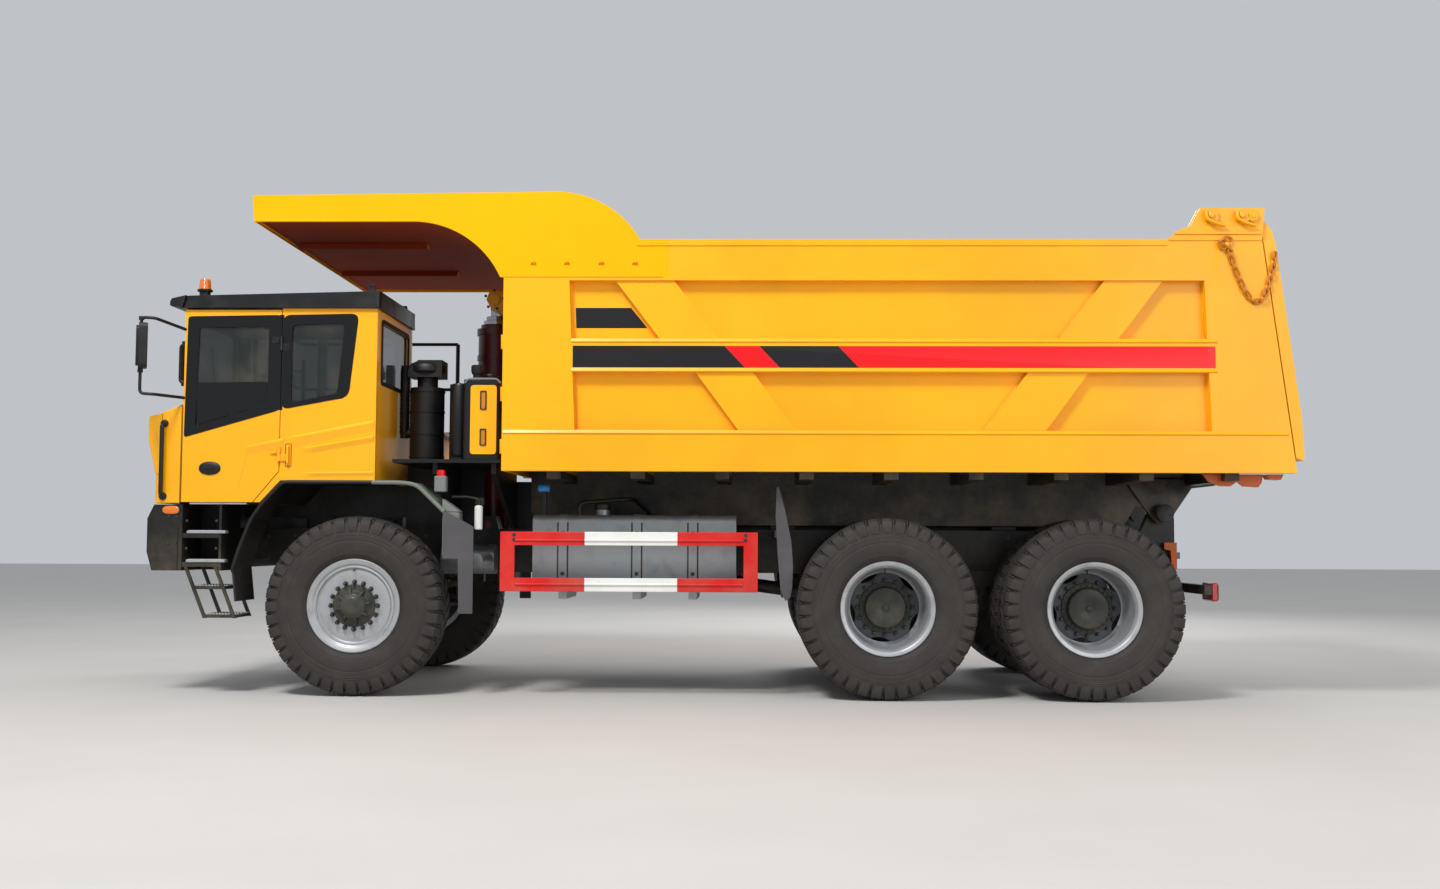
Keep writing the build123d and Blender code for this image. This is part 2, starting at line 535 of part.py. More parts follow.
DOOR_TOP_Z = CAB_EAVE_Z - 12
DOOR_FRONT_X = CAB_FRONT_X - SWING_GAP
QUARTER_FRONT_X = DOOR_REAR_X - DOOR_GAP
QUARTER_WINDOW = [(3600, 3172), (3065, 3188), (3110, 2480), (3600, 2400)]
DOOR_WINDOW = [(4425, 3158), (3690, 3172), (3690, 2392), (4432, 2168)]
HINGE_AXIS_X = DOOR_REAR_X - DOOR_GAP / 2
HINGE_AXIS_Y = CAB_LEFT_Y + DOOR_HINGE_RADIUS
HINGE_ZS = (2010, 2940)
HINGE_KNUCKLE = 60
HINGE_PIN_RADIUS = 7


def pane(points, y_low, y_high):
    """A pane of glass that fills a window of (x, z) points up to its sealant."""
    with BuildSketch(Plane.XZ.offset(-y_high)) as outline:
        with BuildLine():
            Polyline(*points, close=True)
        make_face()
        offset(amount=-GLASS_SEAT, kind=Kind.INTERSECTION)
    extrude(outline.sketch, amount=y_high - y_low)


def cross_pane(points, x_low, x_high):
    """A pane of glass that fills a window of (y, z) points up to its sealant."""
    with BuildSketch(Plane.YZ.offset(x_low)) as outline:
        with BuildLine():
            Polyline(*points, close=True)
        make_face()
        offset(amount=-GLASS_SEAT, kind=Kind.INTERSECTION)
    extrude(outline.sketch, amount=x_high - x_low)


# Left side of the cab behind the door, down to the wheel arch
with BuildPart() as cab_left_panel:
    side_plate(
        [
            (CAB_REAR_X, CAB_EAVE_Z), (CAB_REAR_X, ARCH_TOP_Z), (ARCH_FRONT_X - 6, ARCH_TOP_Z),
            (FOOTWELL_X - 8, CAB_BOTTOM_Z), (DOOR_FOOT_X - 8, CAB_BOTTOM_Z), (QUARTER_FRONT_X, DOOR_KNEE_Z - 3),
            (QUARTER_FRONT_X, CAB_EAVE_Z),
        ],
        CAB_LEFT_Y - CAB_WALL, CAB_LEFT_Y,
    )
    side_plate(QUARTER_WINDOW, CAB_LEFT_Y - CAB_WALL, CAB_LEFT_Y, mode=Mode.SUBTRACT)
    for z in HINGE_ZS:
        rod_z(HINGE_AXIS_X, HINGE_AXIS_Y, DOOR_HINGE_RADIUS, z - HINGE_KNUCKLE, z - 0.5)
        rod_z(HINGE_AXIS_X, HINGE_AXIS_Y, HINGE_PIN_RADIUS, z - HINGE_KNUCKLE, z + HINGE_KNUCKLE)
        block(HINGE_AXIS_X - 70, HINGE_AXIS_X, CAB_LEFT_Y, CAB_LEFT_Y + 10, z - HINGE_KNUCKLE, z - 0.5)
save(cab_left_panel, "cab_left_panel")

# Door, hinged at its rear edge
with BuildPart() as cab_door:
    side_plate(
        [
            (DOOR_FRONT_X, CAB_BOTTOM_Z), (DOOR_FRONT_X, DOOR_TOP_Z), (DOOR_REAR_X, DOOR_TOP_Z),
            (DOOR_REAR_X, DOOR_KNEE_Z), (DOOR_FOOT_X, CAB_BOTTOM_Z),
        ],
        CAB_LEFT_Y - CAB_WALL, CAB_LEFT_Y,
    )
    side_plate(DOOR_WINDOW, CAB_LEFT_Y - CAB_WALL, CAB_LEFT_Y, mode=Mode.SUBTRACT)
    for z in HINGE_ZS:
        rod_z(HINGE_AXIS_X, HINGE_AXIS_Y, DOOR_HINGE_RADIUS, z + 0.5, z + HINGE_KNUCKLE)
        block(HINGE_AXIS_X, HINGE_AXIS_X + 70, CAB_LEFT_Y, CAB_LEFT_Y + 10, z + 0.5, z + HINGE_KNUCKLE)
        rod_z(HINGE_AXIS_X, HINGE_AXIS_Y, HINGE_PIN_RADIUS + RUNNING_GAP, z, z + HINGE_KNUCKLE, mode=Mode.SUBTRACT)
save(cab_door, "cab_door")

GLASS_OUTER_Y = CAB_LEFT_Y - 12
with BuildPart() as door_glass:
    pane(DOOR_WINDOW, GLASS_OUTER_Y - GLASS_THICKNESS, GLASS_OUTER_Y)
save(door_glass, "door_glass")

# Right, rear and front walls of the cab
RIGHT_WINDOW = [(4340, 3150), (2980, 3150), (2980, 2470), (4340, 2320)]
REAR_WINDOW = [(530, 2640), (1480, 2640), (1480, 3140), (530, 3140)]
WINDSCREEN = [(425, 2210), (1535, 2210), (1510, 3150), (450, 3150)]
PANEL_BASE_Z = ARCH_TOP_Z + CAB_WALL
with BuildPart() as cab_right_panel:
    side_plate(
        [
            (CAB_REAR_X, PANEL_BASE_Z), (ARCH_FRONT_X + 27, PANEL_BASE_Z),
            (FOOTWELL_X + 27, CAB_BOTTOM_Z + CAB_WALL), (CAB_FRONT_X - CAB_WALL, CAB_BOTTOM_Z + CAB_WALL),
            (CAB_FRONT_X - CAB_WALL, CAB_EAVE_Z), (CAB_REAR_X, CAB_EAVE_Z),
        ],
        CAB_RIGHT_Y, CAB_RIGHT_Y + CAB_WALL,
    )
    side_plate(RIGHT_WINDOW, CAB_RIGHT_Y, CAB_RIGHT_Y + CAB_WALL, mode=Mode.SUBTRACT)
save(cab_right_panel, "cab_right_panel")

with BuildPart() as cab_rear_panel:
    rear_limits = (CAB_REAR_X, CAB_REAR_X + CAB_WALL)
    block(*rear_limits, CAB_RIGHT_Y + CAB_WALL, CAB_LEFT_Y - CAB_WALL, PANEL_BASE_Z, CAB_EAVE_Z)
    cross_plate(REAR_WINDOW, *rear_limits, mode=Mode.SUBTRACT)
save(cab_rear_panel, "cab_rear_panel")

with BuildPart() as cab_front_panel:
    front_limits = (CAB_FRONT_X - CAB_WALL, CAB_FRONT_X)
    block(*front_limits, CAB_RIGHT_Y, DOOR_INNER_Y, CAB_BOTTOM_Z + CAB_WALL, CAB_EAVE_Z)
    cross_plate(WINDSCREEN, *front_limits, mode=Mode.SUBTRACT)
save(cab_front_panel, "cab_front_panel")

with BuildPart() as cab_glass:
    pane(QUARTER_WINDOW, GLASS_OUTER_Y - GLASS_THICKNESS, GLASS_OUTER_Y)
    pane(RIGHT_WINDOW, CAB_RIGHT_Y + 12, CAB_RIGHT_Y + 12 + GLASS_THICKNESS)
    cross_pane(REAR_WINDOW, CAB_REAR_X + 12, CAB_REAR_X + 12 + GLASS_THICKNESS)
    cross_pane(WINDSCREEN, CAB_FRONT_X - 12 - GLASS_THICKNESS, CAB_FRONT_X - 12)
save(cab_glass, "cab_glass")

# Roof cap with a visor lip and two lifting eyes
ROOF_OVERHANG = 25
LIFT_EYE_RADIUS = 16
LIFT_EYE_THICKNESS = 20
LIFT_EYE_X = CAB_REAR_X + 70
LIFT_EYE_Z = CAB_ROOF_Z + 40
LIFT_EYE_YS = (CAB_RIGHT_Y + 60, CAB_LEFT_Y - 60)
ROOF_FRONT_Z = 3345
with BuildPart() as cab_roof:
    side_plate(
        [
            (CAB_REAR_X - ROOF_OVERHANG, CAB_EAVE_Z), (CAB_REAR_X - ROOF_OVERHANG, CAB_ROOF_Z),
            (CAB_FRONT_X - 40, ROOF_FRONT_Z), (CAB_FRONT_X + 110, ROOF_FRONT_Z - 45),
            (CAB_FRONT_X + 110, CAB_EAVE_Z + 22), (CAB_FRONT_X + 20, CAB_EAVE_Z),
        ],
        CAB_RIGHT_Y - ROOF_OVERHANG, CAB_LEFT_Y + ROOF_OVERHANG,
    )
    fillet(cab_roof.edges().filter_by(Axis.Z), 45)
    for y in LIFT_EYE_YS:
        half = LIFT_EYE_THICKNESS / 2
        side_plate(
            [
                (LIFT_EYE_X - 45, CAB_ROOF_Z - 10), (LIFT_EYE_X - 28, LIFT_EYE_Z + 30),
                (LIFT_EYE_X + 28, LIFT_EYE_Z + 30), (LIFT_EYE_X + 45, CAB_ROOF_Z - 10),
            ],
            y - half, y + half,
        )
        rod_y(LIFT_EYE_X, LIFT_EYE_Z, LIFT_EYE_RADIUS, y - half, y + half, mode=Mode.SUBTRACT)
save(cab_roof, "cab_roof")

# Seat, dashboard and steering wheel, seen through the glass
SEAT_X = 3280
SEAT_Y = 1020
SEAT_HALF_WIDTH = 255
SEAT_CUSHION_Z = PANEL_BASE_Z + 330
with BuildPart() as driver_seat:
    seat_side = [
        (SEAT_X - 260, SEAT_CUSHION_Z), (SEAT_X + 280, SEAT_CUSHION_Z), (SEAT_X + 290, SEAT_CUSHION_Z + 120),
        (SEAT_X - 120, SEAT_CUSHION_Z + 100), (SEAT_X - 210, SEAT_CUSHION_Z + 760),
        (SEAT_X - 310, SEAT_CUSHION_Z + 760),
    ]
    side_plate(seat_side, SEAT_Y - SEAT_HALF_WIDTH, SEAT_Y + SEAT_HALF_WIDTH)
save(driver_seat, "driver_seat")

DASH_REAR_X = 4110
WHEEL_RIM_RADIUS = 225
COLUMN_TILT = 35               # of the column from upright, towards the driver
COLUMN_LENGTH = 190
COLUMN_FOOT = Vector(DASH_REAR_X + 12, SEAT_Y, 2095)
with BuildPart() as cab_fittings:
    block(SEAT_X - 200, SEAT_X + 230, SEAT_Y - 170, SEAT_Y + 170, PANEL_BASE_Z + 0.3, SEAT_CUSHION_Z - 0.3)
    side_plate(
        [
            (CAB_FRONT_X - CAB_WALL - 0.3, CAB_BOTTOM_Z + CAB_WALL + 0.3), (CAB_FRONT_X - CAB_WALL - 0.3, 2190),
            (DASH_REAR_X + 120, 2210), (DASH_REAR_X, 2080), (DASH_REAR_X + 60, 1960), (DASH_REAR_X + 180, 1900),
            (DASH_REAR_X + 180, CAB_BOTTOM_Z + CAB_WALL + 0.3),
        ],
        CAB_RIGHT_Y + CAB_WALL + 0.3, DOOR_INNER_Y - 20,
    )
    column_axis = Vector(-sin(radians(COLUMN_TILT)), 0, cos(radians(COLUMN_TILT)))
    wheel_middle = COLUMN_FOOT + column_axis * COLUMN_LENGTH
    with BuildSketch(Plane(origin=COLUMN_FOOT, z_dir=column_axis)) as column:
        Circle(26)
    extrude(column.sketch, amount=COLUMN_LENGTH)
    with Locations(Plane(origin=wheel_middle, z_dir=column_axis)):
        Torus(WHEEL_RIM_RADIUS, 15)
        with PolarLocations(WHEEL_RIM_RADIUS / 2, 3):
            Box(WHEEL_RIM_RADIUS, 34, 14)
save(cab_fittings, "cab_fittings")

# Front mask: a bent shell across the truck, open behind, with a mouth for the radiator
MASK_SHEET = 25
MASK_BREAST_Z = 2130
MASK_WAIST_Z = 1820
MASK_BOTTOM_Z = 1595
GRILLE_Y = (-1120, 120)
GRILLE_Z = (1700, 2270)
MASK_BACK_X = CAB_FRONT_X + 0.3
MASK_FOLD_X = CAB_FRONT_X + 55
MASK_BROW_X = MASK_FRONT_TOP_X - 84
GRILLE_REAR_X = MASK_FRONT_BOTTOM_X - 58
with BuildPart() as front_mask:
    mask_outline = [
        (MASK_BACK_X, MASK_BOTTOM_Z), (MASK_BACK_X, MASK_TOP_Z), (MASK_FOLD_X, 2404), (MASK_BROW_X, 2345),
        (MASK_FRONT_TOP_X, 2325), (MASK_FRONT_TOP_X, MASK_BREAST_Z), (MASK_FRONT_BOTTOM_X + 8, MASK_WAIST_Z),
        (MASK_FRONT_BOTTOM_X + 8, MASK_BOTTOM_Z),
    ]
    side_plate(mask_outline, -MASK_HALF_WIDTH, MASK_HALF_WIDTH)
    inner = [
        (MASK_BACK_X, MASK_BOTTOM_Z), (MASK_BACK_X, MASK_TOP_Z - MASK_SHEET), (MASK_FOLD_X - 5, 2404 - MASK_SHEET),
        (MASK_BROW_X - 8, 2345 - MASK_SHEET), (MASK_FRONT_TOP_X - MASK_SHEET, 2325 - MASK_SHEET),
        (MASK_FRONT_TOP_X - MASK_SHEET, MASK_BREAST_Z), (MASK_FRONT_BOTTOM_X + 8 - MASK_SHEET, MASK_WAIST_Z),
        (MASK_FRONT_BOTTOM_X + 8 - MASK_SHEET, MASK_BOTTOM_Z),
    ]
    side_plate(inner, MASK_SHEET - MASK_HALF_WIDTH, MASK_HALF_WIDTH - MASK_SHEET, mode=Mode.SUBTRACT)
    block(GRILLE_REAR_X - 10, FRONT_REACH, *GRILLE_Y, *GRILLE_Z, mode=Mode.SUBTRACT)
save(front_mask, "front_mask")

DECK_LEFT_Y = CAB_RIGHT_Y - DOOR_GAP
HOOD_RIGHT_Y = -640
SLAT_COUNT = 9
SLAT_THICKNESS = 14
with BuildPart() as front_grille:
    slat_pitch = (GRILLE_Z[1] - GRILLE_Z[0]) / SLAT_COUNT
    for number in range(SLAT_COUNT):
        z = GRILLE_Z[0] + (number + 0.5) * slat_pitch
        front_x = MASK_FRONT_TOP_X if z > MASK_BREAST_Z else on_line(
            z, (MASK_WAIST_Z, MASK_FRONT_BOTTOM_X + 8), (MASK_BREAST_Z, MASK_FRONT_TOP_X))
        front_x = max(front_x, MASK_FRONT_BOTTOM_X + 8) - 12
        block(GRILLE_REAR_X, front_x, GRILLE_Y[0] + 0.3, GRILLE_Y[1] - 0.3, z - SLAT_THICKNESS / 2, z + SLAT_THICKNESS / 2)
    for y in (GRILLE_Y[0] + 15, (GRILLE_Y[0] + GRILLE_Y[1]) / 2, GRILLE_Y[1] - 15):
        block(GRILLE_REAR_X, GRILLE_REAR_X + 30, y - 14.7, y + 14.7, GRILLE_Z[0] + 0.3, GRILLE_Z[1] - 0.3)
save(front_grille, "front_grille")

RADIATOR_X = (CAB_FRONT_X - 115, CAB_FRONT_X + 125)

# Bumper: a heavy folded beam with lamp pockets and two tow-pin plates
BEAM_REAR_X = CAB_FRONT_X - 25
LAMP_YS = (-1380, 1380)
LAMP_HALF = (190, 75)          # half width and half height of a lamp pocket
LAMP_Z = 1330
FRONT_TOW_YS = (-430, 430)
FRONT_TOW_THICKNESS = 45
FRONT_TOW_RADIUS = 35
FRONT_TOW_X = BUMPER_FRONT_X + 40
FRONT_TOW_Z = 1190
with BuildPart() as bumper:
    side_plate(
        [
            (BEAM_REAR_X, BUMPER_BOTTOM_Z), (BUMPER_FRONT_X - 45, BUMPER_BOTTOM_Z), (BUMPER_FRONT_X, 1190), (BUMPER_FRONT_X, 1470),
            (BUMPER_FRONT_X - 55, BUMPER_TOP_Z), (BEAM_REAR_X, BUMPER_TOP_Z),
        ],
        -MASK_HALF_WIDTH, MASK_HALF_WIDTH,
    )
    for y in LAMP_YS:
        block(BUMPER_FRONT_X - 60, BUMPER_FRONT_X + 5, y - LAMP_HALF[0], y + LAMP_HALF[0],
              LAMP_Z - LAMP_HALF[1], LAMP_Z + LAMP_HALF[1], mode=Mode.SUBTRACT)
    for y in FRONT_TOW_YS:
        half = FRONT_TOW_THICKNESS / 2
        side_plate(
            [
                (BUMPER_FRONT_X - 10, 1090), (BUMPER_FRONT_X - 10, 1290), (FRONT_TOW_X + 25, 1250),
                (FRONT_TOW_X + 47, 1190), (FRONT_TOW_X + 25, 1130),
            ],
            y - half, y + half,
        )
        rod_y(FRONT_TOW_X, FRONT_TOW_Z, FRONT_TOW_RADIUS, y - half, y + half, mode=Mode.SUBTRACT)
    for side in (-1, 1):
        low, high = sorted((side * 380, side * 480))
        block(RAIL_FRONT_X + 0.3, BEAM_REAR_X, low, high, 1130, 1390)
save(bumper, "bumper")

# Lamps: two round headlamps in each pocket of the bumper, and the beacon on the cab roof
BEACON_X = 4390
BEACON_Y = 1400
BEACON_BASE_Z = on_line(BEACON_X, (CAB_REAR_X - ROOF_OVERHANG, CAB_ROOF_Z), (CAB_FRONT_X - 40, ROOF_FRONT_Z)) + 1.9
with BuildPart() as lamps:
    for side in (-1, 1):
        block(LAMP_BEAM_X - 90, LAMP_BEAM_X - 30.3, *mirrored(side, *REAR_LAMP_Y), 800, 960)
    for y in LAMP_YS:
        for offset_y in (-92, 92):
            rod_x(y + offset_y, LAMP_Z, 68, BUMPER_FRONT_X - 59.7, BUMPER_FRONT_X - 12)
    rod_z(BEACON_X, BEACON_Y, 62, BEACON_BASE_Z, BEACON_BASE_Z + 28)
    with BuildSketch(Plane.XY.offset(BEACON_BASE_Z + 28)) as beacon_foot:
        with Locations((BEACON_X, BEACON_Y)):
            Circle(54)
    extrude(beacon_foot.sketch, amount=100, taper=5)
save(lamps, "lamps")

# Steps: two treads a side in a boxed well behind the bumper beam, and a hanging ladder on the left
STEP_TOP_ZS = (1348, 1107)
TREAD_THICKNESS = 40
STEP_INNER_Y = 1180
STEP_REAR_X = 4112
WELL_TOP_Z = CAB_BOTTOM_Z - SWING_GAP
LADDER_YS = (1250, 1630)
LADDER_TOP_Z = STEP_TOP_ZS[1] - TREAD_THICKNESS
RUNG_ZS = (892, 655)
LADDER_LEAN = 0.40             # run along the truck for each unit of height
with BuildPart() as steps:
    for side in (-1, 1):
        well_y = mirrored(side, STEP_INNER_Y, 1640)
        for z in STEP_TOP_ZS:
            block(STEP_REAR_X, BEAM_REAR_X - 0.3, *well_y, z - TREAD_THICKNESS, z)
        block(STEP_REAR_X, BEAM_REAR_X - 0.3, *mirrored(side, STEP_INNER_Y, STEP_INNER_Y + 20),
              BUMPER_BOTTOM_Z, WELL_TOP_Z)
        block(STEP_REAR_X, STEP_REAR_X + 20, *well_y, BUMPER_BOTTOM_Z, WELL_TOP_Z)
    for x_top in (STEP_REAR_X + 34, BEAM_REAR_X - 45):
        foot_z = RUNG_ZS[-1] - 15
        foot_x = x_top - LADDER_LEAN * (LADDER_TOP_Z + 1 - foot_z)
        outline = [
            (x_top, LADDER_TOP_Z + 1), (x_top + 28, LADDER_TOP_Z + 1), (foot_x + 28, foot_z), (foot_x, foot_z),
        ]
        for y in LADDER_YS:
            side_plate(outline, y - 10, y + 10)
    for z in RUNG_ZS:
        shift = LADDER_LEAN * (LADDER_TOP_Z - z)
        block(STEP_REAR_X + 34 - shift, BEAM_REAR_X - 20 - shift, *LADDER_YS, z - 12, z + 12)
save(steps, "steps")

# Engine hood and walkway deck on the right of the cab, with a cabinet below and rails above
DECK_RIGHT_Y = -MASK_HALF_WIDTH
DECK_REAR_X = 2720
HOOD_SHEET = 20
HOOD_FRONT_X = RADIATOR_X[0] - 0.3
HOOD_BOTTOM_Z = 1500
with BuildPart() as engine_hood:
    block(CAB_REAR_X, HOOD_FRONT_X, HOOD_RIGHT_Y, DECK_LEFT_Y, HOOD_BOTTOM_Z, DECK_Z - DECK_THICKNESS - 0.3)
    block(CAB_REAR_X, HOOD_FRONT_X, HOOD_RIGHT_Y + HOOD_SHEET, DECK_LEFT_Y - HOOD_SHEET, HOOD_BOTTOM_Z,
          DECK_Z - DECK_THICKNESS - HOOD_SHEET, mode=Mode.SUBTRACT)
save(engine_hood, "engine_hood")

with BuildPart() as deck:
    block(DECK_REAR_X, CAB_FRONT_X, DECK_RIGHT_Y, DECK_LEFT_Y, DECK_Z - DECK_THICKNESS, DECK_Z)
    block(DECK_REAR_X, CAB_FRONT_X, DECK_RIGHT_Y, DECK_RIGHT_Y + 20, DECK_Z, DECK_Z + 70)
    side_plate(
        [
            (2860, ARCH_TOP_Z), (3640, ARCH_TOP_Z), (3806, CAB_BOTTOM_Z), (CAB_FRONT_X, CAB_BOTTOM_Z),
            (CAB_FRONT_X, DECK_Z - DECK_THICKNESS), (2860, DECK_Z - DECK_THICKNESS),
        ],
        DECK_RIGHT_Y, HOOD_RIGHT_Y - 0.3,
    )
save(deck, "deck")

POST_RADIUS = 21
RAIL_RADIUS = 17
DECK_POST_XS = (2790, 3360, 3930, CAB_FRONT_X - 35)
DECK_POST_Y = DECK_RIGHT_Y + 45
DECK_RAIL_ZS = (DECK_Z + 520, DECK_Z + 1000)
MIRROR_POST_Z = 3190
GRAB_BAR_X = CAB_FRONT_X + 146
PILLAR_BAR_X = CAB_FRONT_X + 35
with BuildPart() as hand_rails:
    for x in DECK_POST_XS:
        top = MIRROR_POST_Z if x == DECK_POST_XS[-1] else DECK_RAIL_ZS[-1]
        rod_z(x, DECK_POST_Y, POST_RADIUS, DECK_Z + 0.3, top)
    rod_z(DECK_POST_XS[-1], -60, POST_RADIUS, DECK_Z + 0.3, DECK_RAIL_ZS[-1])
    for z in DECK_RAIL_ZS:
        rod_x(DECK_POST_Y, z, RAIL_RADIUS, DECK_POST_XS[0], DECK_POST_XS[-1])
        rod_y(DECK_POST_XS[-1], z, RAIL_RADIUS, DECK_POST_Y, -60)
    rod_z(GRAB_BAR_X, CAB_LEFT_Y + 40, 14, 1640, 2280)
    for z in (1660, 2260):
        rod_y(GRAB_BAR_X, z, 12, CAB_LEFT_Y + 0.3, CAB_LEFT_Y + 40)
    rod_z(PILLAR_BAR_X, CAB_LEFT_Y - 80, 12, 2590, 2970)
    for z in (2610, 2950):
        rod_x(CAB_LEFT_Y - 80, z, 10, CAB_FRONT_X + 0.3, PILLAR_BAR_X)
save(hand_rails, "hand_rails")

# Fenders: a bent sheet over each front tyre, with a rubber flap at each end
FENDER_TOP_Z = ARCH_TOP_Z - 0.3
FENDER_LINE = (                # upper side of the sheet, from the rear down to the front
    (2246, 1549), (2477, 1772), (2600, FENDER_TOP_Z), (3618, FENDER_TOP_Z), (3790, 1604), (3880, 1470),
    (3975, 1220), (4022, 1060),
)
FENDER_INNER_Y = 1160

FLAP_THICKNESS = 14
FENDER_ARM_X = (2245, 2305)
with BuildPart() as fenders:
    for side in (-1, 1):
        side_plate(strip_outline(FENDER_LINE, FENDER_SHEET), *mirrored(side, FENDER_INNER_Y, CAB_LEFT_Y))
        block(*FENDER_ARM_X, *mirrored(side, RAIL_INNER_Y, FENDER_INNER_Y + 60), RAIL_TOP_Z + 0.3, RAIL_TOP_Z + 50)
        block(*FENDER_ARM_X, *mirrored(side, FENDER_INNER_Y, FENDER_INNER_Y + 60), RAIL_TOP_Z + 0.3, 1556)
save(fenders, "fenders")

REAR_FLAP_X = -585
with BuildPart() as mudflaps:
    for side in (-1, 1):
        low, high = sorted((side * FENDER_INNER_Y, side * (CAB_LEFT_Y - 20)))
        side_plate(
            [
                (2244.7, 1549), (2244.7 - FLAP_THICKNESS, 1549), (2086, 1180), (2086, 815),
                (2086 + FLAP_THICKNESS, 815), (2086 + FLAP_THICKNESS, 1177),
            ],
            low, high,
        )
        side_plate([(4010, 1056), (4010 + FLAP_THICKNESS, 1056), (3994, 780), (3980, 780)], low, high)
        low, high = sorted((side * 880, side * 1600))
        block(REAR_FLAP_X, REAR_FLAP_X + FLAP_THICKNESS, low, high, 830, 1640)
        low, high = sorted((side * (RAIL_Y + RAIL_WIDTH / 2 + 0.3), side * 1600))
        block(REAR_FLAP_X + FLAP_THICKNESS + 0.3, REAR_FLAP_X + FLAP_THICKNESS + 60, low, high, 1330, 1390)
save(mudflaps, "mudflaps")

# Mirrors: a tall head each side on a bent tube frame
MIRROR_X = (FRONT_REACH - 115, FRONT_REACH)
MIRROR_Z = (2700, 3075)
MIRROR_HALF_SPAN = 2030
MIRROR_ARM_ZS = (3140, 2480)
with BuildPart() as mirrors:
    for side, root_x, root_y in ((1, CAB_FRONT_X + 12, 1560), (-1, DECK_POST_XS[-1], DECK_POST_Y)):
        head_y = side * (MIRROR_HALF_SPAN - 100)
        low, high = sorted((side * (MIRROR_HALF_SPAN - 200), side * MIRROR_HALF_SPAN))
        stem_x = (MIRROR_X[0] + MIRROR_X[1]) / 2
        block(*MIRROR_X, low, high, *MIRROR_Z)
        rod_z(stem_x, head_y, 14, MIRROR_ARM_ZS[1], MIRROR_ARM_ZS[0])
        for z in MIRROR_ARM_ZS:
            foot_x = CAB_FRONT_X if side > 0 else DECK_POST_XS[-1] + POST_RADIUS
            block(foot_x + 0.3, root_x + 50, *mirrored(side, abs(root_y) - 22, abs(root_y) + 22), z - 22, z + 22)
            bar((root_x + 30, side * abs(root_y), z), (stem_x, head_y, z), 14)
    fillet(mirrors.edges().filter_by(Axis.Z).filter_by_position(Axis.Z, 2800, 3000), 30)
save(mirrors, "mirrors")

# Shelf behind the cab, carried by the left rail, with the hydraulic tank, cooler and air cleaner on it
SHELF_Z = 1975
SHELF_THICKNESS = 30
SHELF_X = (1795, 2700)
SHELF_LEFT_Y = 1590
SHELF_RIGHT_Y = 230
with BuildPart() as rear_shelf:
    block(*SHELF_X, SHELF_RIGHT_Y + 160, SHELF_LEFT_Y, SHELF_Z - SHELF_THICKNESS, SHELF_Z)
    for x in (SHELF_X[0] + 40, 2330):
        cross_plate(
            [
                (RAIL_Y - RAIL_WIDTH / 2, RAIL_TOP_Z + 0.3), (RAIL_Y + RAIL_WIDTH / 2, RAIL_TOP_Z + 0.3),
                (SHELF_LEFT_Y - 60, SHELF_Z - SHELF_THICKNESS - 90), (SHELF_LEFT_Y - 60, SHELF_Z - SHELF_THICKNESS),
                (SHELF_RIGHT_Y + 165, SHELF_Z - SHELF_THICKNESS),
            ],
            x, x + 40,
        )
save(rear_shelf, "rear_shelf")

TANK_X = (1795, 2110)
TANK_Y = (1030, 1590)
TANK_TOP_Z = 2650
with BuildPart() as hydraulic_tank:
    block(*TANK_X, *TANK_Y, SHELF_Z + 0.3, TANK_TOP_Z)
    fillet(hydraulic_tank.edges().filter_by(Axis.Z), 35)
    rod_z(2010, 1460, 42, TANK_TOP_Z - 5, TANK_TOP_Z + 110)
    rod_z(1930, 1300, 60, TANK_TOP_Z - 5, TANK_TOP_Z + 60)
save(hydraulic_tank, "hydraulic_tank")

CLEANER_X = 2560
CLEANER_Y = 900
CLEANER_RADIUS = 150
with BuildPart() as air_cleaner:
    rod_z(CLEANER_X, CLEANER_Y, CLEANER_RADIUS, SHELF_Z + 0.3, 2640)
    rod_z(CLEANER_X, CLEANER_Y, 90, 2600, 2760)
    side_plate(
        [
            (CLEANER_X - 150, 2730), (CLEANER_X + 150, 2730), (CLEANER_X + 150, 2800), (CLEANER_X + 60, 2880),
            (CLEANER_X - 150, 2880),
        ],
        CLEANER_Y - 130, CLEANER_Y + 130,
    )
    rod_z(CLEANER_X + 215, CLEANER_Y - 60, 38, 2200, 2850)
    rod_x(CLEANER_Y - 60, 2240, 36, CLEANER_X, CLEANER_X + 215)
save(air_cleaner, "air_cleaner")

with BuildPart() as coolers:
    block(2190, 2330, 560, 1080, SHELF_Z + 0.3, 2660)
    fillet(coolers.edges().filter_by(Axis.Z), 30)
    block(*RADIATOR_X, HOOD_RIGHT_Y + 0.3, DECK_LEFT_Y, BUMPER_TOP_Z + 0.3, GRILLE_Z[1])
    block(ENGINE_FRONT_X + 0.3, RADIATOR_X[0] + 1, -430, 230, 1640, 2180)
save(coolers, "coolers")

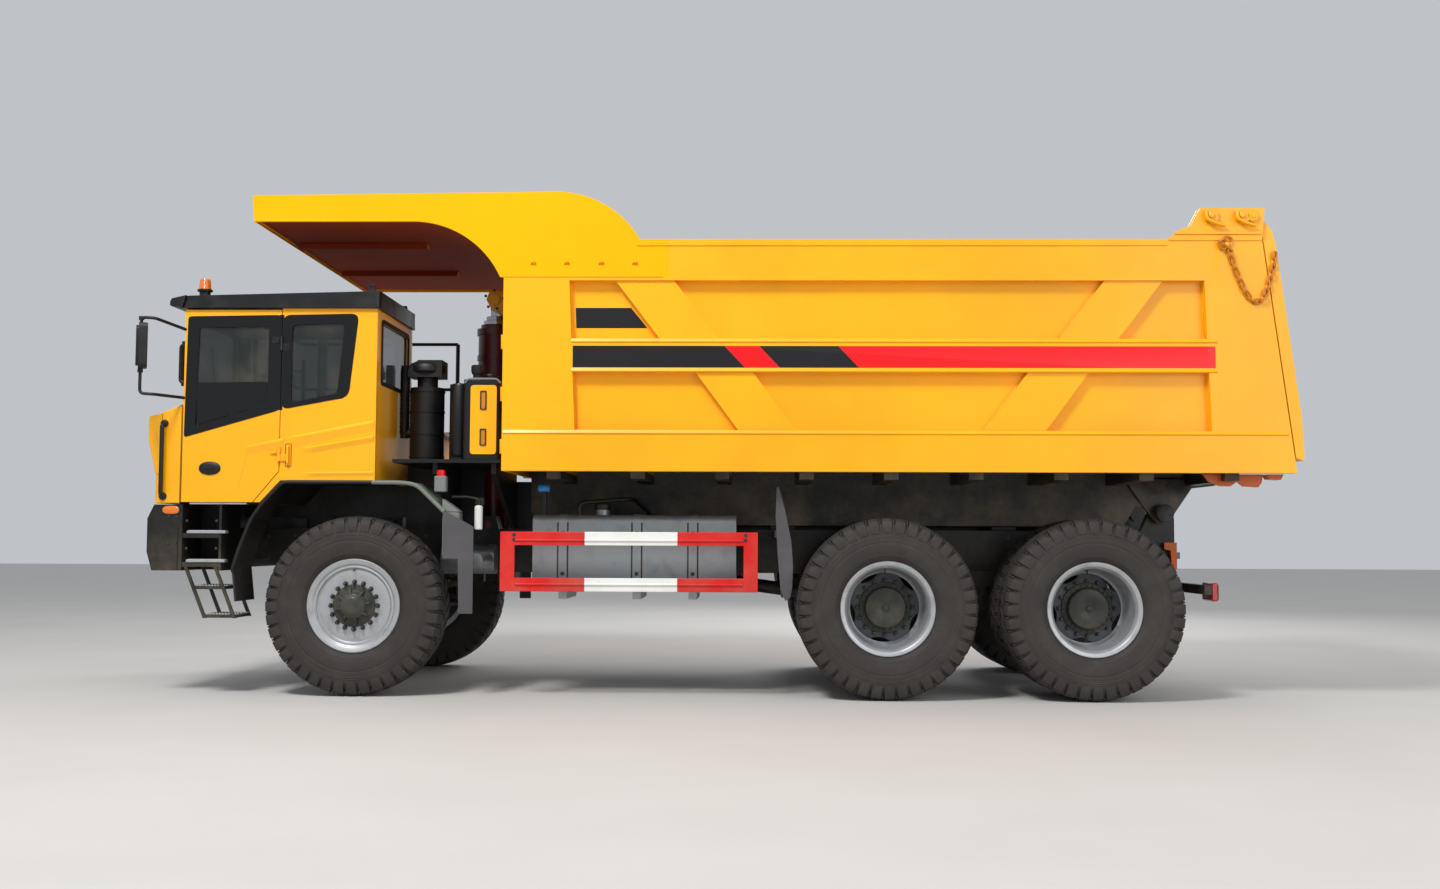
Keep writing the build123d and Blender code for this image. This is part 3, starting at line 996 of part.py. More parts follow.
# Fuel tank on the left, its straps, and the battery box on the right
FUEL_X = (-190, 1530)
FUEL_Y = (800, 1450)
FUEL_Z = (868, 1515)
STRAP_XS = (1274, 648, 175)
STRAP_WIDTH = 70
with BuildPart() as fuel_tank:
    block(*FUEL_X, *FUEL_Y, *FUEL_Z)
    fillet(fuel_tank.edges().filter_by(Axis.X), 70)
    rod_z(960, 1250, 60, FUEL_Z[1] - 5, FUEL_Z[1] + 70)
    for x in STRAP_XS:
        half = STRAP_WIDTH / 2
        bracket = [
            (RAIL_Y + RAIL_WIDTH / 2 + 0.3, 1020), (FUEL_Y[0] - 60, FUEL_Z[0] - 62), (FUEL_Y[1] - 20, FUEL_Z[0] - 62),
            (FUEL_Y[1] - 20, FUEL_Z[0] - 0.3), (FUEL_Y[0] - 0.3, FUEL_Z[0] - 0.3), (FUEL_Y[0] - 0.3, 1390),
            (RAIL_Y + RAIL_WIDTH / 2 + 0.3, 1390),
        ]
        cross_plate(bracket, x - half, x + half)
        with BuildSketch(Plane.YZ.offset(x - half)) as band:
            with Locations(((FUEL_Y[0] + FUEL_Y[1]) / 2, (FUEL_Z[0] + FUEL_Z[1]) / 2)):
                RectangleRounded(FUEL_Y[1] - FUEL_Y[0] + 12, FUEL_Z[1] - FUEL_Z[0] + 12, 76)
                RectangleRounded(FUEL_Y[1] - FUEL_Y[0] + 0.6, FUEL_Z[1] - FUEL_Z[0] + 0.6, 70.3, mode=Mode.SUBTRACT)
        extrude(band.sketch, amount=STRAP_WIDTH)
save(fuel_tank, "fuel_tank")

BATTERY_X = (-150, 1400)
with BuildPart() as right_side_tanks:
    block(*BATTERY_X, -1450, -(RAIL_Y + RAIL_WIDTH / 2 + 0.3), 900, 1390)
    chamfer(right_side_tanks.edges().filter_by(Axis.X).sort_by(Axis.Y)[0:2], 30)
    for z in (1090, 1320):
        rod_x(-760, z, 100, 1730, 2225)
    block(1900, 1960, -700, -(RAIL_OUTER_Y + 0.3), 1080, 1330)
save(right_side_tanks, "right_side_tanks")

# Side guards: two posts and two rails a side, hung from arms on the frame
GUARD_X = (-372, 1765)
GUARD_Z = (876, 1370)
GUARD_RAIL_DEPTH = 112
GUARD_POST_WIDTH = 118
GUARD_Y = (1640, 1690)
GUARD_ARM_XS = (1650, -270)
with BuildPart() as side_guards:
    for side in (-1, 1):
        low, high = sorted((side * GUARD_Y[0], side * GUARD_Y[1]))
        with BuildSketch(Plane.XZ.offset(-high)) as guard_face:
            with Locations(((GUARD_X[0] + GUARD_X[1]) / 2, (GUARD_Z[0] + GUARD_Z[1]) / 2)):
                Rectangle(GUARD_X[1] - GUARD_X[0], GUARD_Z[1] - GUARD_Z[0])
                Rectangle(GUARD_X[1] - GUARD_X[0] - 2 * GUARD_POST_WIDTH,
                          GUARD_Z[1] - GUARD_Z[0] - 2 * GUARD_RAIL_DEPTH, mode=Mode.SUBTRACT)
        extrude(guard_face.sketch, amount=high - low)
        for x in GUARD_ARM_XS:
            arm = sorted((side * (RAIL_Y + RAIL_WIDTH / 2 + 0.3), side * GUARD_Y[0]))
            block(x - 35, x + 35, *arm, 1290, 1360)
save(side_guards, "side_guards")

# Exhaust: a muffler on the right of the engine with a tail pipe under the shelf
with BuildPart() as exhaust:
    rod_x(780, 1130, 130, 1950, 2420)
    rod_y(2010, 1130, 55, 900, 1420)
    block(1985, 2035, RAIL_Y + RAIL_WIDTH / 2 + 0.3, 700, 1100, 1160)
save(exhaust, "exhaust")

# Dump body: floor on two sills and cross bearers, with lugs round the pivot pin
FLOOR_TOP_Z = BODY_BOTTOM_Z + 120
SKIN_OUTER_Y = BODY_HALF_WIDTH - RIB_DEPTH
SKIN_INNER_Y = SKIN_OUTER_Y - BODY_SKIN
FLOOR_REAR_X = -4740
LUG_INNER_Y = RAIL_Y + RAIL_WIDTH / 2 + SWING_GAP
LUG_OUTER_Y = LUG_INNER_Y + 60
HOIST_WELL_HALF_Y = 215              # recess in the front wall, which the tilting hoist swings into
HOIST_WELL_REAR_X = 1460
HOIST_WELL_TOP_Z = 2780
with BuildPart() as body_floor:
    block(FLOOR_REAR_X, BODY_FRONT_X - BODY_SKIN - 0.3, -SKIN_INNER_Y + 0.3, SKIN_INNER_Y - 0.3,
          FLOOR_TOP_Z - FLOOR_THICKNESS, FLOOR_TOP_Z)
    for side in (-1, 1):
        sill = sorted((side * (BODY_SILL_Y - BODY_SILL_WIDTH / 2), side * (BODY_SILL_Y + BODY_SILL_WIDTH / 2)))
        side_plate(
            [
                (BODY_FRONT_X - 60, BODY_SILL_BOTTOM_Z + 120), (BODY_FRONT_X - 200, BODY_SILL_BOTTOM_Z),
                (DUMP_PIVOT_X + 330, BODY_SILL_BOTTOM_Z), (DUMP_PIVOT_X + 150, BODY_BOTTOM_Z - 130),
                (FLOOR_REAR_X + 260, BODY_BOTTOM_Z - 60), (FLOOR_REAR_X + 60, BODY_BOTTOM_Z),
                (FLOOR_REAR_X + 60, FLOOR_TOP_Z - FLOOR_THICKNESS), (BODY_FRONT_X - 60, FLOOR_TOP_Z - FLOOR_THICKNESS),
            ],
            *sill,
        )
        lug = sorted((side * LUG_INNER_Y, side * LUG_OUTER_Y))
        side_plate(
            [
                (DUMP_PIVOT_X + 330, BODY_BOTTOM_Z), (DUMP_PIVOT_X + 90, DUMP_PIVOT_Z - 40),
                (DUMP_PIVOT_X + 40, DUMP_PIVOT_Z - 90), (DUMP_PIVOT_X - 40, DUMP_PIVOT_Z - 90),
                (DUMP_PIVOT_X - 90, DUMP_PIVOT_Z - 40), (DUMP_PIVOT_X - 330, BODY_BOTTOM_Z),
            ],
            *lug,
        )
        rod_y(DUMP_PIVOT_X, DUMP_PIVOT_Z, DUMP_PIN_RADIUS + RUNNING_GAP, *lug, mode=Mode.SUBTRACT)
    for number in range(9):
        x = BODY_FRONT_X - 420 - number * 700
        block(x - 60, x + 60, -SKIN_INNER_Y + 0.3, SKIN_INNER_Y - 0.3, BODY_BOTTOM_Z - 60, FLOOR_TOP_Z - FLOOR_THICKNESS)
    block(HOIST_WELL_REAR_X, BODY_FRONT_X, -HOIST_WELL_HALF_Y, HOIST_WELL_HALF_Y, BODY_SILL_BOTTOM_Z, FLOOR_TOP_Z, mode=Mode.SUBTRACT)
save(body_floor, "body_floor")

# Side walls: a skin with rails, posts and slanted braces standing out from it
TAIL_LOW = (TAIL_BOTTOM_X, BODY_RAIL_TOP_Z)
TAIL_HIGH = (TAIL_TOP_X, BODY_TOP_Z)
BRACES = (                     # (lower left x, upper left x, width along the wall, lower z, upper z)
    (-42, 328, 488, STRIPE_TOP_Z, UPPER_BAND_BOTTOM_Z),
    (-3334, -3703, 480, STRIPE_TOP_Z, UPPER_BAND_BOTTOM_Z),
    (-698, -329, 476, BODY_RAIL_TOP_Z, STRIPE_BOTTOM_Z),
    (-2718, -3088, 500, BODY_RAIL_TOP_Z, STRIPE_BOTTOM_Z),
)
EAR_LINE = (                   # raised top edge of the wall at its tail, from front to rear
    (-3739, BODY_TOP_Z), (-3860, 3885), (-3929, 3900), (-4014, EAR_TOP_Z), (-4545, EAR_TOP_Z),
)

GATE_CHAIN_LINE = (            # chain that stops the tailgate, as it hangs outside the wall at rest
    (-4220, 3754), (-4275, 3560), (-4350, 3370), (-4440, 3268), (-4510, 3290), (-4570, 3440), (-4618, 3680),
)
GATE_CHAIN_WIDTH = 16
GATE_CHAIN_GAP = 6             # from the wall and the side of the tailgate
SHACKLE_XS = (-4097, -4350)
SHACKLE_HALF = (38, 30)        # half length and half height of a shackle pad
SHACKLE_DEPTH = 26


def side_wall(side):
    """Skin and frame of one side wall of the dump body."""
    def layer(inner, outer):
        return sorted((side * inner, side * outer))

    skin = layer(SKIN_INNER_Y, SKIN_OUTER_Y)
    rib = layer(SKIN_OUTER_Y - 1, BODY_HALF_WIDTH)
    wall_tail_low = on_line(BODY_BOTTOM_Z, TAIL_LOW[::-1], TAIL_HIGH[::-1])
    side_plate(
        [
            (BODY_FRONT_X, BODY_BOTTOM_Z), (BODY_FRONT_X, CANOPY_BEND_BOTTOM_Z), (CANOPY_TAIL_X, CANOPY_BEND_BOTTOM_Z),
            (CANOPY_TAIL_X, BODY_TOP_Z), *EAR_LINE, (TAIL_TOP_X, BODY_TOP_Z), TAIL_LOW,
            (wall_tail_low, BODY_BOTTOM_Z),
        ],
        *skin,
    )
    bottom_rail = [
        (BODY_FRONT_X, BODY_BOTTOM_Z), (BODY_FRONT_X, BODY_RAIL_TOP_Z), TAIL_LOW, (wall_tail_low, BODY_BOTTOM_Z),
    ]
    middle_rail = [
        (BODY_FRONT_X - 50, STRIPE_BOTTOM_Z), (BODY_FRONT_X - 50, STRIPE_TOP_Z),
        (on_line(STRIPE_TOP_Z, TAIL_LOW[::-1], TAIL_HIGH[::-1]) + 50, STRIPE_TOP_Z),
        (on_line(STRIPE_BOTTOM_Z, TAIL_LOW[::-1], TAIL_HIGH[::-1]) + 50, STRIPE_BOTTOM_Z),
    ]
    top_band = [
        (BODY_FRONT_X, UPPER_BAND_BOTTOM_Z), (BODY_FRONT_X, CANOPY_BEND_BOTTOM_Z),
        (CANOPY_TAIL_X, CANOPY_BEND_BOTTOM_Z), (CANOPY_TAIL_X, BODY_TOP_Z), TAIL_HIGH,
        (on_line(UPPER_BAND_BOTTOM_Z, TAIL_LOW[::-1], TAIL_HIGH[::-1]), UPPER_BAND_BOTTOM_Z),
    ]
    front_post = [
        (BODY_FRONT_X, BODY_BOTTOM_Z), (BODY_FRONT_X, CANOPY_BEND_BOTTOM_Z),
        (FRONT_POST_REAR_TOP_X, CANOPY_BEND_BOTTOM_Z), (FRONT_POST_REAR_BOTTOM_X, BODY_BOTTOM_Z),
    ]
    rear_post = [
        (REAR_POST_FRONT_TOP_X, BODY_TOP_Z), (REAR_POST_FRONT_BOTTOM_X, BODY_BOTTOM_Z),
        (wall_tail_low, BODY_BOTTOM_Z), TAIL_HIGH,
    ]
    for outline in (bottom_rail, middle_rail, top_band, front_post, rear_post):
        side_plate(outline, *rib)
    for lower_x, upper_x, width, lower_z, upper_z in BRACES:
        lean = [(lower_x, lower_z), (lower_x + width, lower_z), (upper_x + width, upper_z), (upper_x, upper_z)]
        side_plate(lean, *layer(SKIN_OUTER_Y - 1, BODY_HALF_WIDTH - 18))
    ear = [*EAR_LINE, (TAIL_TOP_X, BODY_TOP_Z)]
    side_plate(ear, *layer(BODY_HALF_WIDTH - EAR_THICKNESS, BODY_HALF_WIDTH))
    chain_y = (BODY_HALF_WIDTH + GATE_CHAIN_GAP, BODY_HALF_WIDTH + GATE_CHAIN_GAP + 10)
    side_plate(strip_outline(GATE_CHAIN_LINE, GATE_CHAIN_WIDTH), *layer(*chain_y))
    anchor_x, anchor_z = GATE_CHAIN_LINE[0]
    block(anchor_x - 30, anchor_x + 30, *layer(BODY_HALF_WIDTH - 1, chain_y[1]), anchor_z - 25, anchor_z + 15)
    for x in SHACKLE_XS:
        block(x - SHACKLE_HALF[0], x + SHACKLE_HALF[0], *layer(BODY_HALF_WIDTH - 1, BODY_HALF_WIDTH + SHACKLE_DEPTH),
              GATE_PIVOT_Z - SHACKLE_HALF[1], GATE_PIVOT_Z + SHACKLE_HALF[1])
    pin_y = layer(SKIN_INNER_Y - 10, BODY_HALF_WIDTH + 12)
    rod_y(GATE_PIVOT_X, GATE_PIVOT_Z, GATE_PIN_RADIUS, *pin_y)


with BuildPart() as body_sides:
    side_wall(1)
    side_wall(-1)
save(body_sides, "body_sides")

# Front wall with the fork for the hoist, and the canopy that bends forward from it
CANOPY_SIDE_INNER_Y = BODY_HALF_WIDTH - 30
FORK_INNER_Y = 102
FORK_OUTER_Y = 138
FRONT_RIB_DEPTH = 40
HOIST_PIN_RADIUS = 38
with BuildPart() as body_front_wall:
    block(BODY_FRONT_X - BODY_SKIN, BODY_FRONT_X, -SKIN_INNER_Y + 0.3, SKIN_INNER_Y - 0.3,
          BODY_BOTTOM_Z, CANOPY_BEND_BOTTOM_Z - 0.3)
    for z in (2080, 2520, 2960):
        block(BODY_FRONT_X, BODY_FRONT_X + FRONT_RIB_DEPTH, -SKIN_INNER_Y + 40, -330, z - 60, z + 60)
        block(BODY_FRONT_X, BODY_FRONT_X + FRONT_RIB_DEPTH, 330, SKIN_INNER_Y - 40, z - 60, z + 60)
    for side in (-1, 1):
        block(BODY_FRONT_X, BODY_FRONT_X + FRONT_RIB_DEPTH, *sorted((side * 230, side * 330)), BODY_BOTTOM_Z, CANOPY_BEND_BOTTOM_Z - 0.3)
        cheek = sorted((side * FORK_INNER_Y, side * FORK_OUTER_Y))
        side_plate(
            [
                (BODY_FRONT_X - 1, HOIST_EYE_Z - 300), (HOIST_X + 30, HOIST_EYE_Z - 85),
                (HOIST_X + 75, HOIST_EYE_Z), (HOIST_X + 50, HOIST_EYE_Z + 70), (HOIST_X - 40, HOIST_EYE_Z + 75),
                (BODY_FRONT_X - 1, CANOPY_BEND_BOTTOM_Z - 0.3),
            ],
            *cheek,
        )
        rod_y(HOIST_X, HOIST_EYE_Z, 55, *mirrored(side, FORK_INNER_Y, FORK_OUTER_Y + 22))
    block(BODY_FRONT_X - BODY_SKIN - 1, BODY_FRONT_X + 1, -HOIST_WELL_HALF_Y, HOIST_WELL_HALF_Y,
          BODY_BOTTOM_Z, HOIST_WELL_TOP_Z, mode=Mode.SUBTRACT)
    well_side = [
        (BODY_FRONT_X, HOIST_WELL_TOP_Z + BODY_SKIN), (BODY_FRONT_X, BODY_BOTTOM_Z), (HOIST_WELL_REAR_X + 0.3, BODY_BOTTOM_Z),
        (BODY_FRONT_X - BODY_SKIN, HOIST_WELL_TOP_Z + BODY_SKIN),
    ]
    for side in (-1, 1):
        side_plate(well_side, *mirrored(side, HOIST_WELL_HALF_Y - 20.3, HOIST_WELL_HALF_Y - 0.3))
    side_plate(
        [
            (BODY_FRONT_X - BODY_SKIN, HOIST_WELL_TOP_Z + BODY_SKIN), (BODY_FRONT_X, HOIST_WELL_TOP_Z + BODY_SKIN),
            (HOIST_WELL_REAR_X + 30, BODY_BOTTOM_Z), (HOIST_WELL_REAR_X + 0.3, BODY_BOTTOM_Z),
        ],
        -HOIST_WELL_HALF_Y + 0.3, HOIST_WELL_HALF_Y - 0.3,
    )
save(body_front_wall, "body_front_wall")

# Canopy: two side plates with curved ends, a roof sheet that bends down to the front wall, and ribs
with BuildPart() as canopy:
    for side in (-1, 1):
        low, high = sorted((side * CANOPY_SIDE_INNER_Y, side * BODY_HALF_WIDTH))
        with BuildSketch(Plane.XZ.offset(-high)) as canopy_side:
            with BuildLine():
                Polyline(
                    (CANOPY_BEND_REAR_X, CANOPY_BEND_BOTTOM_Z + 0.3), (CANOPY_TAIL_X + 0.3, CANOPY_BEND_BOTTOM_Z + 0.3),
                    (CANOPY_TAIL_X + 0.3, BODY_TOP_Z), (CANOPY_FOOT_X, BODY_TOP_Z),
                )
                ThreePointArc(
                    (CANOPY_FOOT_X, BODY_TOP_Z), (CANOPY_FOOT_X + 230, 4050), (CANOPY_TOP_END_X, CANOPY_TOP_Z + 15))
                Polyline(
                    (CANOPY_TOP_END_X, CANOPY_TOP_Z + 15), (CANOPY_FRONT_X, CANOPY_TOP_Z - 15),
                    (CANOPY_FRONT_X - 14, CANOPY_EDGE_BOTTOM_Z), (CANOPY_BEND_FRONT_X, CANOPY_EDGE_BOTTOM_Z),
                )
                ThreePointArc(
                    (CANOPY_BEND_FRONT_X, CANOPY_EDGE_BOTTOM_Z), (CANOPY_BEND_REAR_X + 310, 3830),
                    (CANOPY_BEND_REAR_X, CANOPY_BEND_BOTTOM_Z + 0.3))
            make_face()
        extrude(canopy_side.sketch, amount=high - low)
    with BuildSketch(Plane.XZ.offset(-CANOPY_SIDE_INNER_Y - 1)) as roof_sheet:
        with BuildLine():
            Polyline((CANOPY_FRONT_X - 20, CANOPY_SHEET_Z), (CANOPY_BEND_FRONT_X - 20, CANOPY_SHEET_Z))
            ThreePointArc(
                (CANOPY_BEND_FRONT_X - 20, CANOPY_SHEET_Z), (CANOPY_BEND_REAR_X + 270, 3868),
                (CANOPY_BEND_REAR_X - 60, CANOPY_BEND_BOTTOM_Z + 0.3))
            Polyline(
                (CANOPY_BEND_REAR_X - 60, CANOPY_BEND_BOTTOM_Z + 0.3), (CANOPY_BEND_REAR_X - 30, CANOPY_BEND_BOTTOM_Z + 0.3))
            ThreePointArc(
                (CANOPY_BEND_REAR_X - 30, CANOPY_BEND_BOTTOM_Z + 0.3), (CANOPY_BEND_REAR_X + 292, 3846),
                (CANOPY_BEND_FRONT_X - 20, CANOPY_SHEET_Z - 30))
            Polyline(
                (CANOPY_BEND_FRONT_X - 20, CANOPY_SHEET_Z - 30), (CANOPY_FRONT_X - 20, CANOPY_SHEET_Z - 30),
                (CANOPY_FRONT_X - 20, CANOPY_SHEET_Z))
        make_face()
    extrude(roof_sheet.sketch, amount=2 * CANOPY_SIDE_INNER_Y + 2)
    side_plate(
        [
            (CANOPY_FRONT_X - 14, CANOPY_EDGE_BOTTOM_Z), (CANOPY_FRONT_X, CANOPY_TOP_Z - 15),
            (CANOPY_FRONT_X - 40, CANOPY_TOP_Z - 15), (CANOPY_FRONT_X - 40, CANOPY_EDGE_BOTTOM_Z),
        ],
        -CANOPY_SIDE_INNER_Y - 1, CANOPY_SIDE_INNER_Y + 1,
    )
    for x in CANOPY_RIB_XS:
        block(x - 50, x + 50, -CANOPY_SIDE_INNER_Y - 1, CANOPY_SIDE_INNER_Y + 1, CANOPY_SHEET_Z - 1, CANOPY_TOP_Z - 60)
    for y in (-700, 700):
        side_plate([(2620, CANOPY_SHEET_Z - 29), (2620, CANOPY_SHEET_Z - 75), (3780, CANOPY_SHEET_Z - 75),
                    (3780, CANOPY_SHEET_Z - 29)], y - 45, y + 45)
save(canopy, "canopy")

# Tailgate: a slanted panel behind the body, hung from two arms on pins high in the side walls
GATE_BOTTOM_Z = 1995
GATE_TOP_Z = BODY_TOP_Z - 10
GATE_GAP = 10
GATE_LIP_X = -REAR_REACH
ARM_INNER_Y = SKIN_OUTER_Y + 2
ARM_OUTER_Y = BODY_HALF_WIDTH - EAR_THICKNESS - SWING_GAP


def gate_face_x(z):
    """X of the tailgate's inner face at a height, clear of the walls' rear edges."""
    return on_line(z, TAIL_LOW[::-1], TAIL_HIGH[::-1]) - GATE_GAP


with BuildPart() as tailgate:
    side_plate(
        [
            (gate_face_x(GATE_BOTTOM_Z), GATE_BOTTOM_Z), (gate_face_x(GATE_TOP_Z), GATE_TOP_Z),
            (gate_face_x(GATE_TOP_Z) - GATE_THICKNESS, GATE_TOP_Z), (gate_face_x(2350) - GATE_THICKNESS, 2350),
            (GATE_LIP_X, 2010), (GATE_LIP_X + 12, GATE_BOTTOM_Z - 25),
        ],
        -BODY_HALF_WIDTH, BODY_HALF_WIDTH,
    )
    for y in (-1300, -650, 0, 650, 1300):
        side_plate(
            [
                (gate_face_x(3700) - GATE_THICKNESS + 1, 3700), (gate_face_x(2420) - GATE_THICKNESS + 1, 2420),
                (gate_face_x(2480) - GATE_THICKNESS - 45, 2480), (gate_face_x(3640) - GATE_THICKNESS - 45, 3640),
            ],
            y - 55, y + 55,
        )
    for side in (-1, 1):
        arm = sorted((side * ARM_INNER_Y, side * ARM_OUTER_Y))
        side_plate(
            [
                (gate_face_x(3700) - 10, 3700), (gate_face_x(3860) - 6, 3860), (GATE_PIVOT_X + 55, GATE_PIVOT_Z - 30),
                (GATE_PIVOT_X + 55, GATE_PIVOT_Z + 30), (GATE_PIVOT_X + 30, GATE_PIVOT_Z + 55),
                (GATE_PIVOT_X - 40, GATE_PIVOT_Z + 55), (gate_face_x(3860) - GATE_THICKNESS, 3870),
                (gate_face_x(3700) - GATE_THICKNESS, 3700),
            ],
            *arm,
        )
        rod_y(GATE_PIVOT_X, GATE_PIVOT_Z, GATE_PIN_RADIUS + RUNNING_GAP, *arm, mode=Mode.SUBTRACT)
save(tailgate, "tailgate")

# Hoist: a barrel on trunnions in the frame, three stages, and an eye at the top of the last
BARREL_BOTTOM_Z = HOIST_BASE_Z - 60
BARREL_TOP_Z = 3290
with BuildPart() as hoist_barrel:
    rod_z(HOIST_X, 0, HOIST_BARREL_RADIUS, BARREL_BOTTOM_Z, BARREL_TOP_Z)
    rod_z(HOIST_X, 0, HOIST_BARREL_RADIUS + 14, BARREL_TOP_Z - 60, BARREL_TOP_Z)
    for side in (-1, 1):
        rod_y(HOIST_X, HOIST_BASE_Z, HOIST_TRUNNION_RADIUS, *mirrored(side, 145, RAIL_Y))
    rod_z(HOIST_X, 0, HOIST_STAGE_RADII[0] + 1, BARREL_BOTTOM_Z + 60, BARREL_TOP_Z, mode=Mode.SUBTRACT)
save(hoist_barrel, "hoist_barrel")

STAGE_NAMES = ("hoist_stage_outer", "hoist_stage_middle", "hoist_stage_inner")
STAGE_BASE_Z = BARREL_BOTTOM_Z + 62
for number, (name, radius) in enumerate(zip(STAGE_NAMES, HOIST_STAGE_RADII)):
    top = BARREL_TOP_Z + 40 * (number + 1)
    base = STAGE_BASE_Z + 22 * number
    with BuildPart() as stage:
        rod_z(HOIST_X, 0, radius, base, top)
        if number + 1 < len(HOIST_STAGE_RADII):
            bore = HOIST_STAGE_RADII[number + 1] + 1
            rod_z(HOIST_X, 0, bore, base + 20, top, mode=Mode.SUBTRACT)
        else:
            rod_y(HOIST_X, HOIST_EYE_Z, 62, -55, 55)
            block(HOIST_X - 45, HOIST_X + 45, -55, 55, top - 1, HOIST_EYE_Z)
            rod_y(HOIST_X, HOIST_EYE_Z, HOIST_PIN_RADIUS, -FORK_INNER_Y + SWING_GAP, FORK_INNER_Y - SWING_GAP)
    save(stage, name)
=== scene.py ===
"""Looks of a wide-body mining dump truck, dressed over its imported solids.

Each sub-assembly is a class with its sizes as fields; its methods build meshes with numpy and give
every piece and every carried-over solid a procedural finish. Lengths are metres, +X is the front,
+Y the truck's left, +Z up, and the ground is at zero.
"""
from dataclasses import dataclass, field
from enum import Enum
import logging
import math

import bmesh
import bpy
import numpy as np
from mathutils import Matrix, Vector


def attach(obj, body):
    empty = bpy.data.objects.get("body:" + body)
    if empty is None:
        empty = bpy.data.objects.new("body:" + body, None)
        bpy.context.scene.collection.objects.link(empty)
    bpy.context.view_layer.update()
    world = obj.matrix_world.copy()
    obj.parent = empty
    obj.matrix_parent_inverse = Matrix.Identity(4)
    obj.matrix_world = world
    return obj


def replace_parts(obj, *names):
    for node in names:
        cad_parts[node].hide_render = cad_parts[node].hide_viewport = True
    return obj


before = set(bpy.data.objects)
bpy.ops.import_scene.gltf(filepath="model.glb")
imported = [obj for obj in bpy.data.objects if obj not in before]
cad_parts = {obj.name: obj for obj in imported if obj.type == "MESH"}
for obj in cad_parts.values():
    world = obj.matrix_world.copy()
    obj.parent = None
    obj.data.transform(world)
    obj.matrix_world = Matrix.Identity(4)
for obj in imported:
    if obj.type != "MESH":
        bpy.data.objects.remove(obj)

LOG = logging.getLogger("dump_truck")
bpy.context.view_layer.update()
Array = np.ndarray
Pair = tuple[float, float]
Point = tuple[float, float, float]
Socket = bpy.types.NodeSocket
Material = bpy.types.Material


# Shapes

@dataclass
class Shape:
    """Vertices and faces that are joined and copied before they become a mesh.

    points is (n, 3); faces holds one (m, k) whole-number array for each face size k.
    """

    points: Array = field(default_factory=lambda: np.zeros((0, 3)))
    faces: list[Array] = field(default_factory=list)

    def add(self, other: "Shape") -> "Shape":
        """Joins another shape to this one.

        Args:
            other: the shape that is added as it stands.

        Returns:
            This shape, so that calls can be chained.
        """
        start = len(self.points)
        self.points = np.vstack([self.points, other.points])
        self.faces.extend(block + start for block in other.faces)
        return self

    def moved(self, shift: Point) -> "Shape":
        """A copy of the shape shifted by a vector."""
        return Shape(self.points + np.asarray(shift, float), list(self.faces))

    def placed(self, rotation: Array, shift: Array) -> "Shape":
        """A copy turned by a 3x3 matrix about the origin and then shifted."""
        return Shape(self.points @ np.asarray(rotation, float).T + np.asarray(shift, float), list(self.faces))

    def mirrored(self, signs: Point = (1.0, -1.0, 1.0)) -> "Shape":
        """A mirror image, by default on the truck's other side, with each face turned round."""
        return Shape(self.points * signs, [block[:, ::-1] for block in self.faces])

    def repeated(self, rotations: Array, shifts: Array) -> "Shape":
        """Copies of the shape, one for each rotation and shift.

        Each copy's vertices are rotation times vertex plus shift, worked out for all copies at once.

        Args:
            rotations: (count, 3, 3) matrices.
            shifts: (count, 3) vectors.

        Returns:
            One shape that holds every copy.
        """
        count, size = len(shifts), len(self.points)
        points = np.einsum("cij,nj->cni", rotations, self.points) + shifts[:, None, :]
        starts = np.arange(count)[:, None, None] * size
        faces = [(block[None] + starts).reshape(-1, block.shape[1]) for block in self.faces]
        return Shape(points.reshape(-1, 3), faces)

    def copied(self, places: Array) -> "Shape":
        """Copies of the shape that are only shifted, one to each place."""
        return self.repeated(np.repeat(np.eye(3)[None], len(places), axis=0), places)


def joined(*shapes: Shape) -> Shape:
    """Several shapes as one new shape."""
    whole = Shape()
    for shape in shapes:
        whole.add(shape)
    return whole


def both_sides(shape: Shape) -> Shape:
    """A left-hand shape and its mirror image together."""
    return joined(shape, shape.mirrored())


def along_y(angles: Array) -> Array:
    """Rotation matrices about +Y for an array of angles in radians."""
    cos, sin, zero, one = np.cos(angles), np.sin(angles), np.zeros_like(angles), np.ones_like(angles)
    return np.stack([cos, zero, sin, zero, one, zero, -sin, zero, cos], axis=-1).reshape(-1, 3, 3)


def places_at(x: Array | float, y: Array | float, z: Array | float) -> Array:
    """An (n, 3) array of places from numbers and arrays, each number held for all places."""
    return np.stack(np.broadcast_arrays(x, y, z), -1)


def grid_faces(rows: int, columns: int, close_rows: bool = False, close_columns: bool = False) -> Array:
    """Four-sided faces over a grid of points numbered row by row.

    Args:
        rows: number of points in the first direction.
        columns: number of points in the second direction.
        close_rows: joins the last row to the first.
        close_columns: joins the last column to the first.

    Returns:
        An (m, 4) array of point numbers.
    """
    r = np.arange(rows if close_rows else rows - 1)
    c = np.arange(columns if close_columns else columns - 1)
    r0, c0 = np.meshgrid(r, c, indexing="ij")
    r1, c1 = (r0 + 1) % rows, (c0 + 1) % columns
    return np.stack(
        [r0 * columns + c0, r1 * columns + c0, r1 * columns + c1, r0 * columns + c1], -1).reshape(-1, 4)


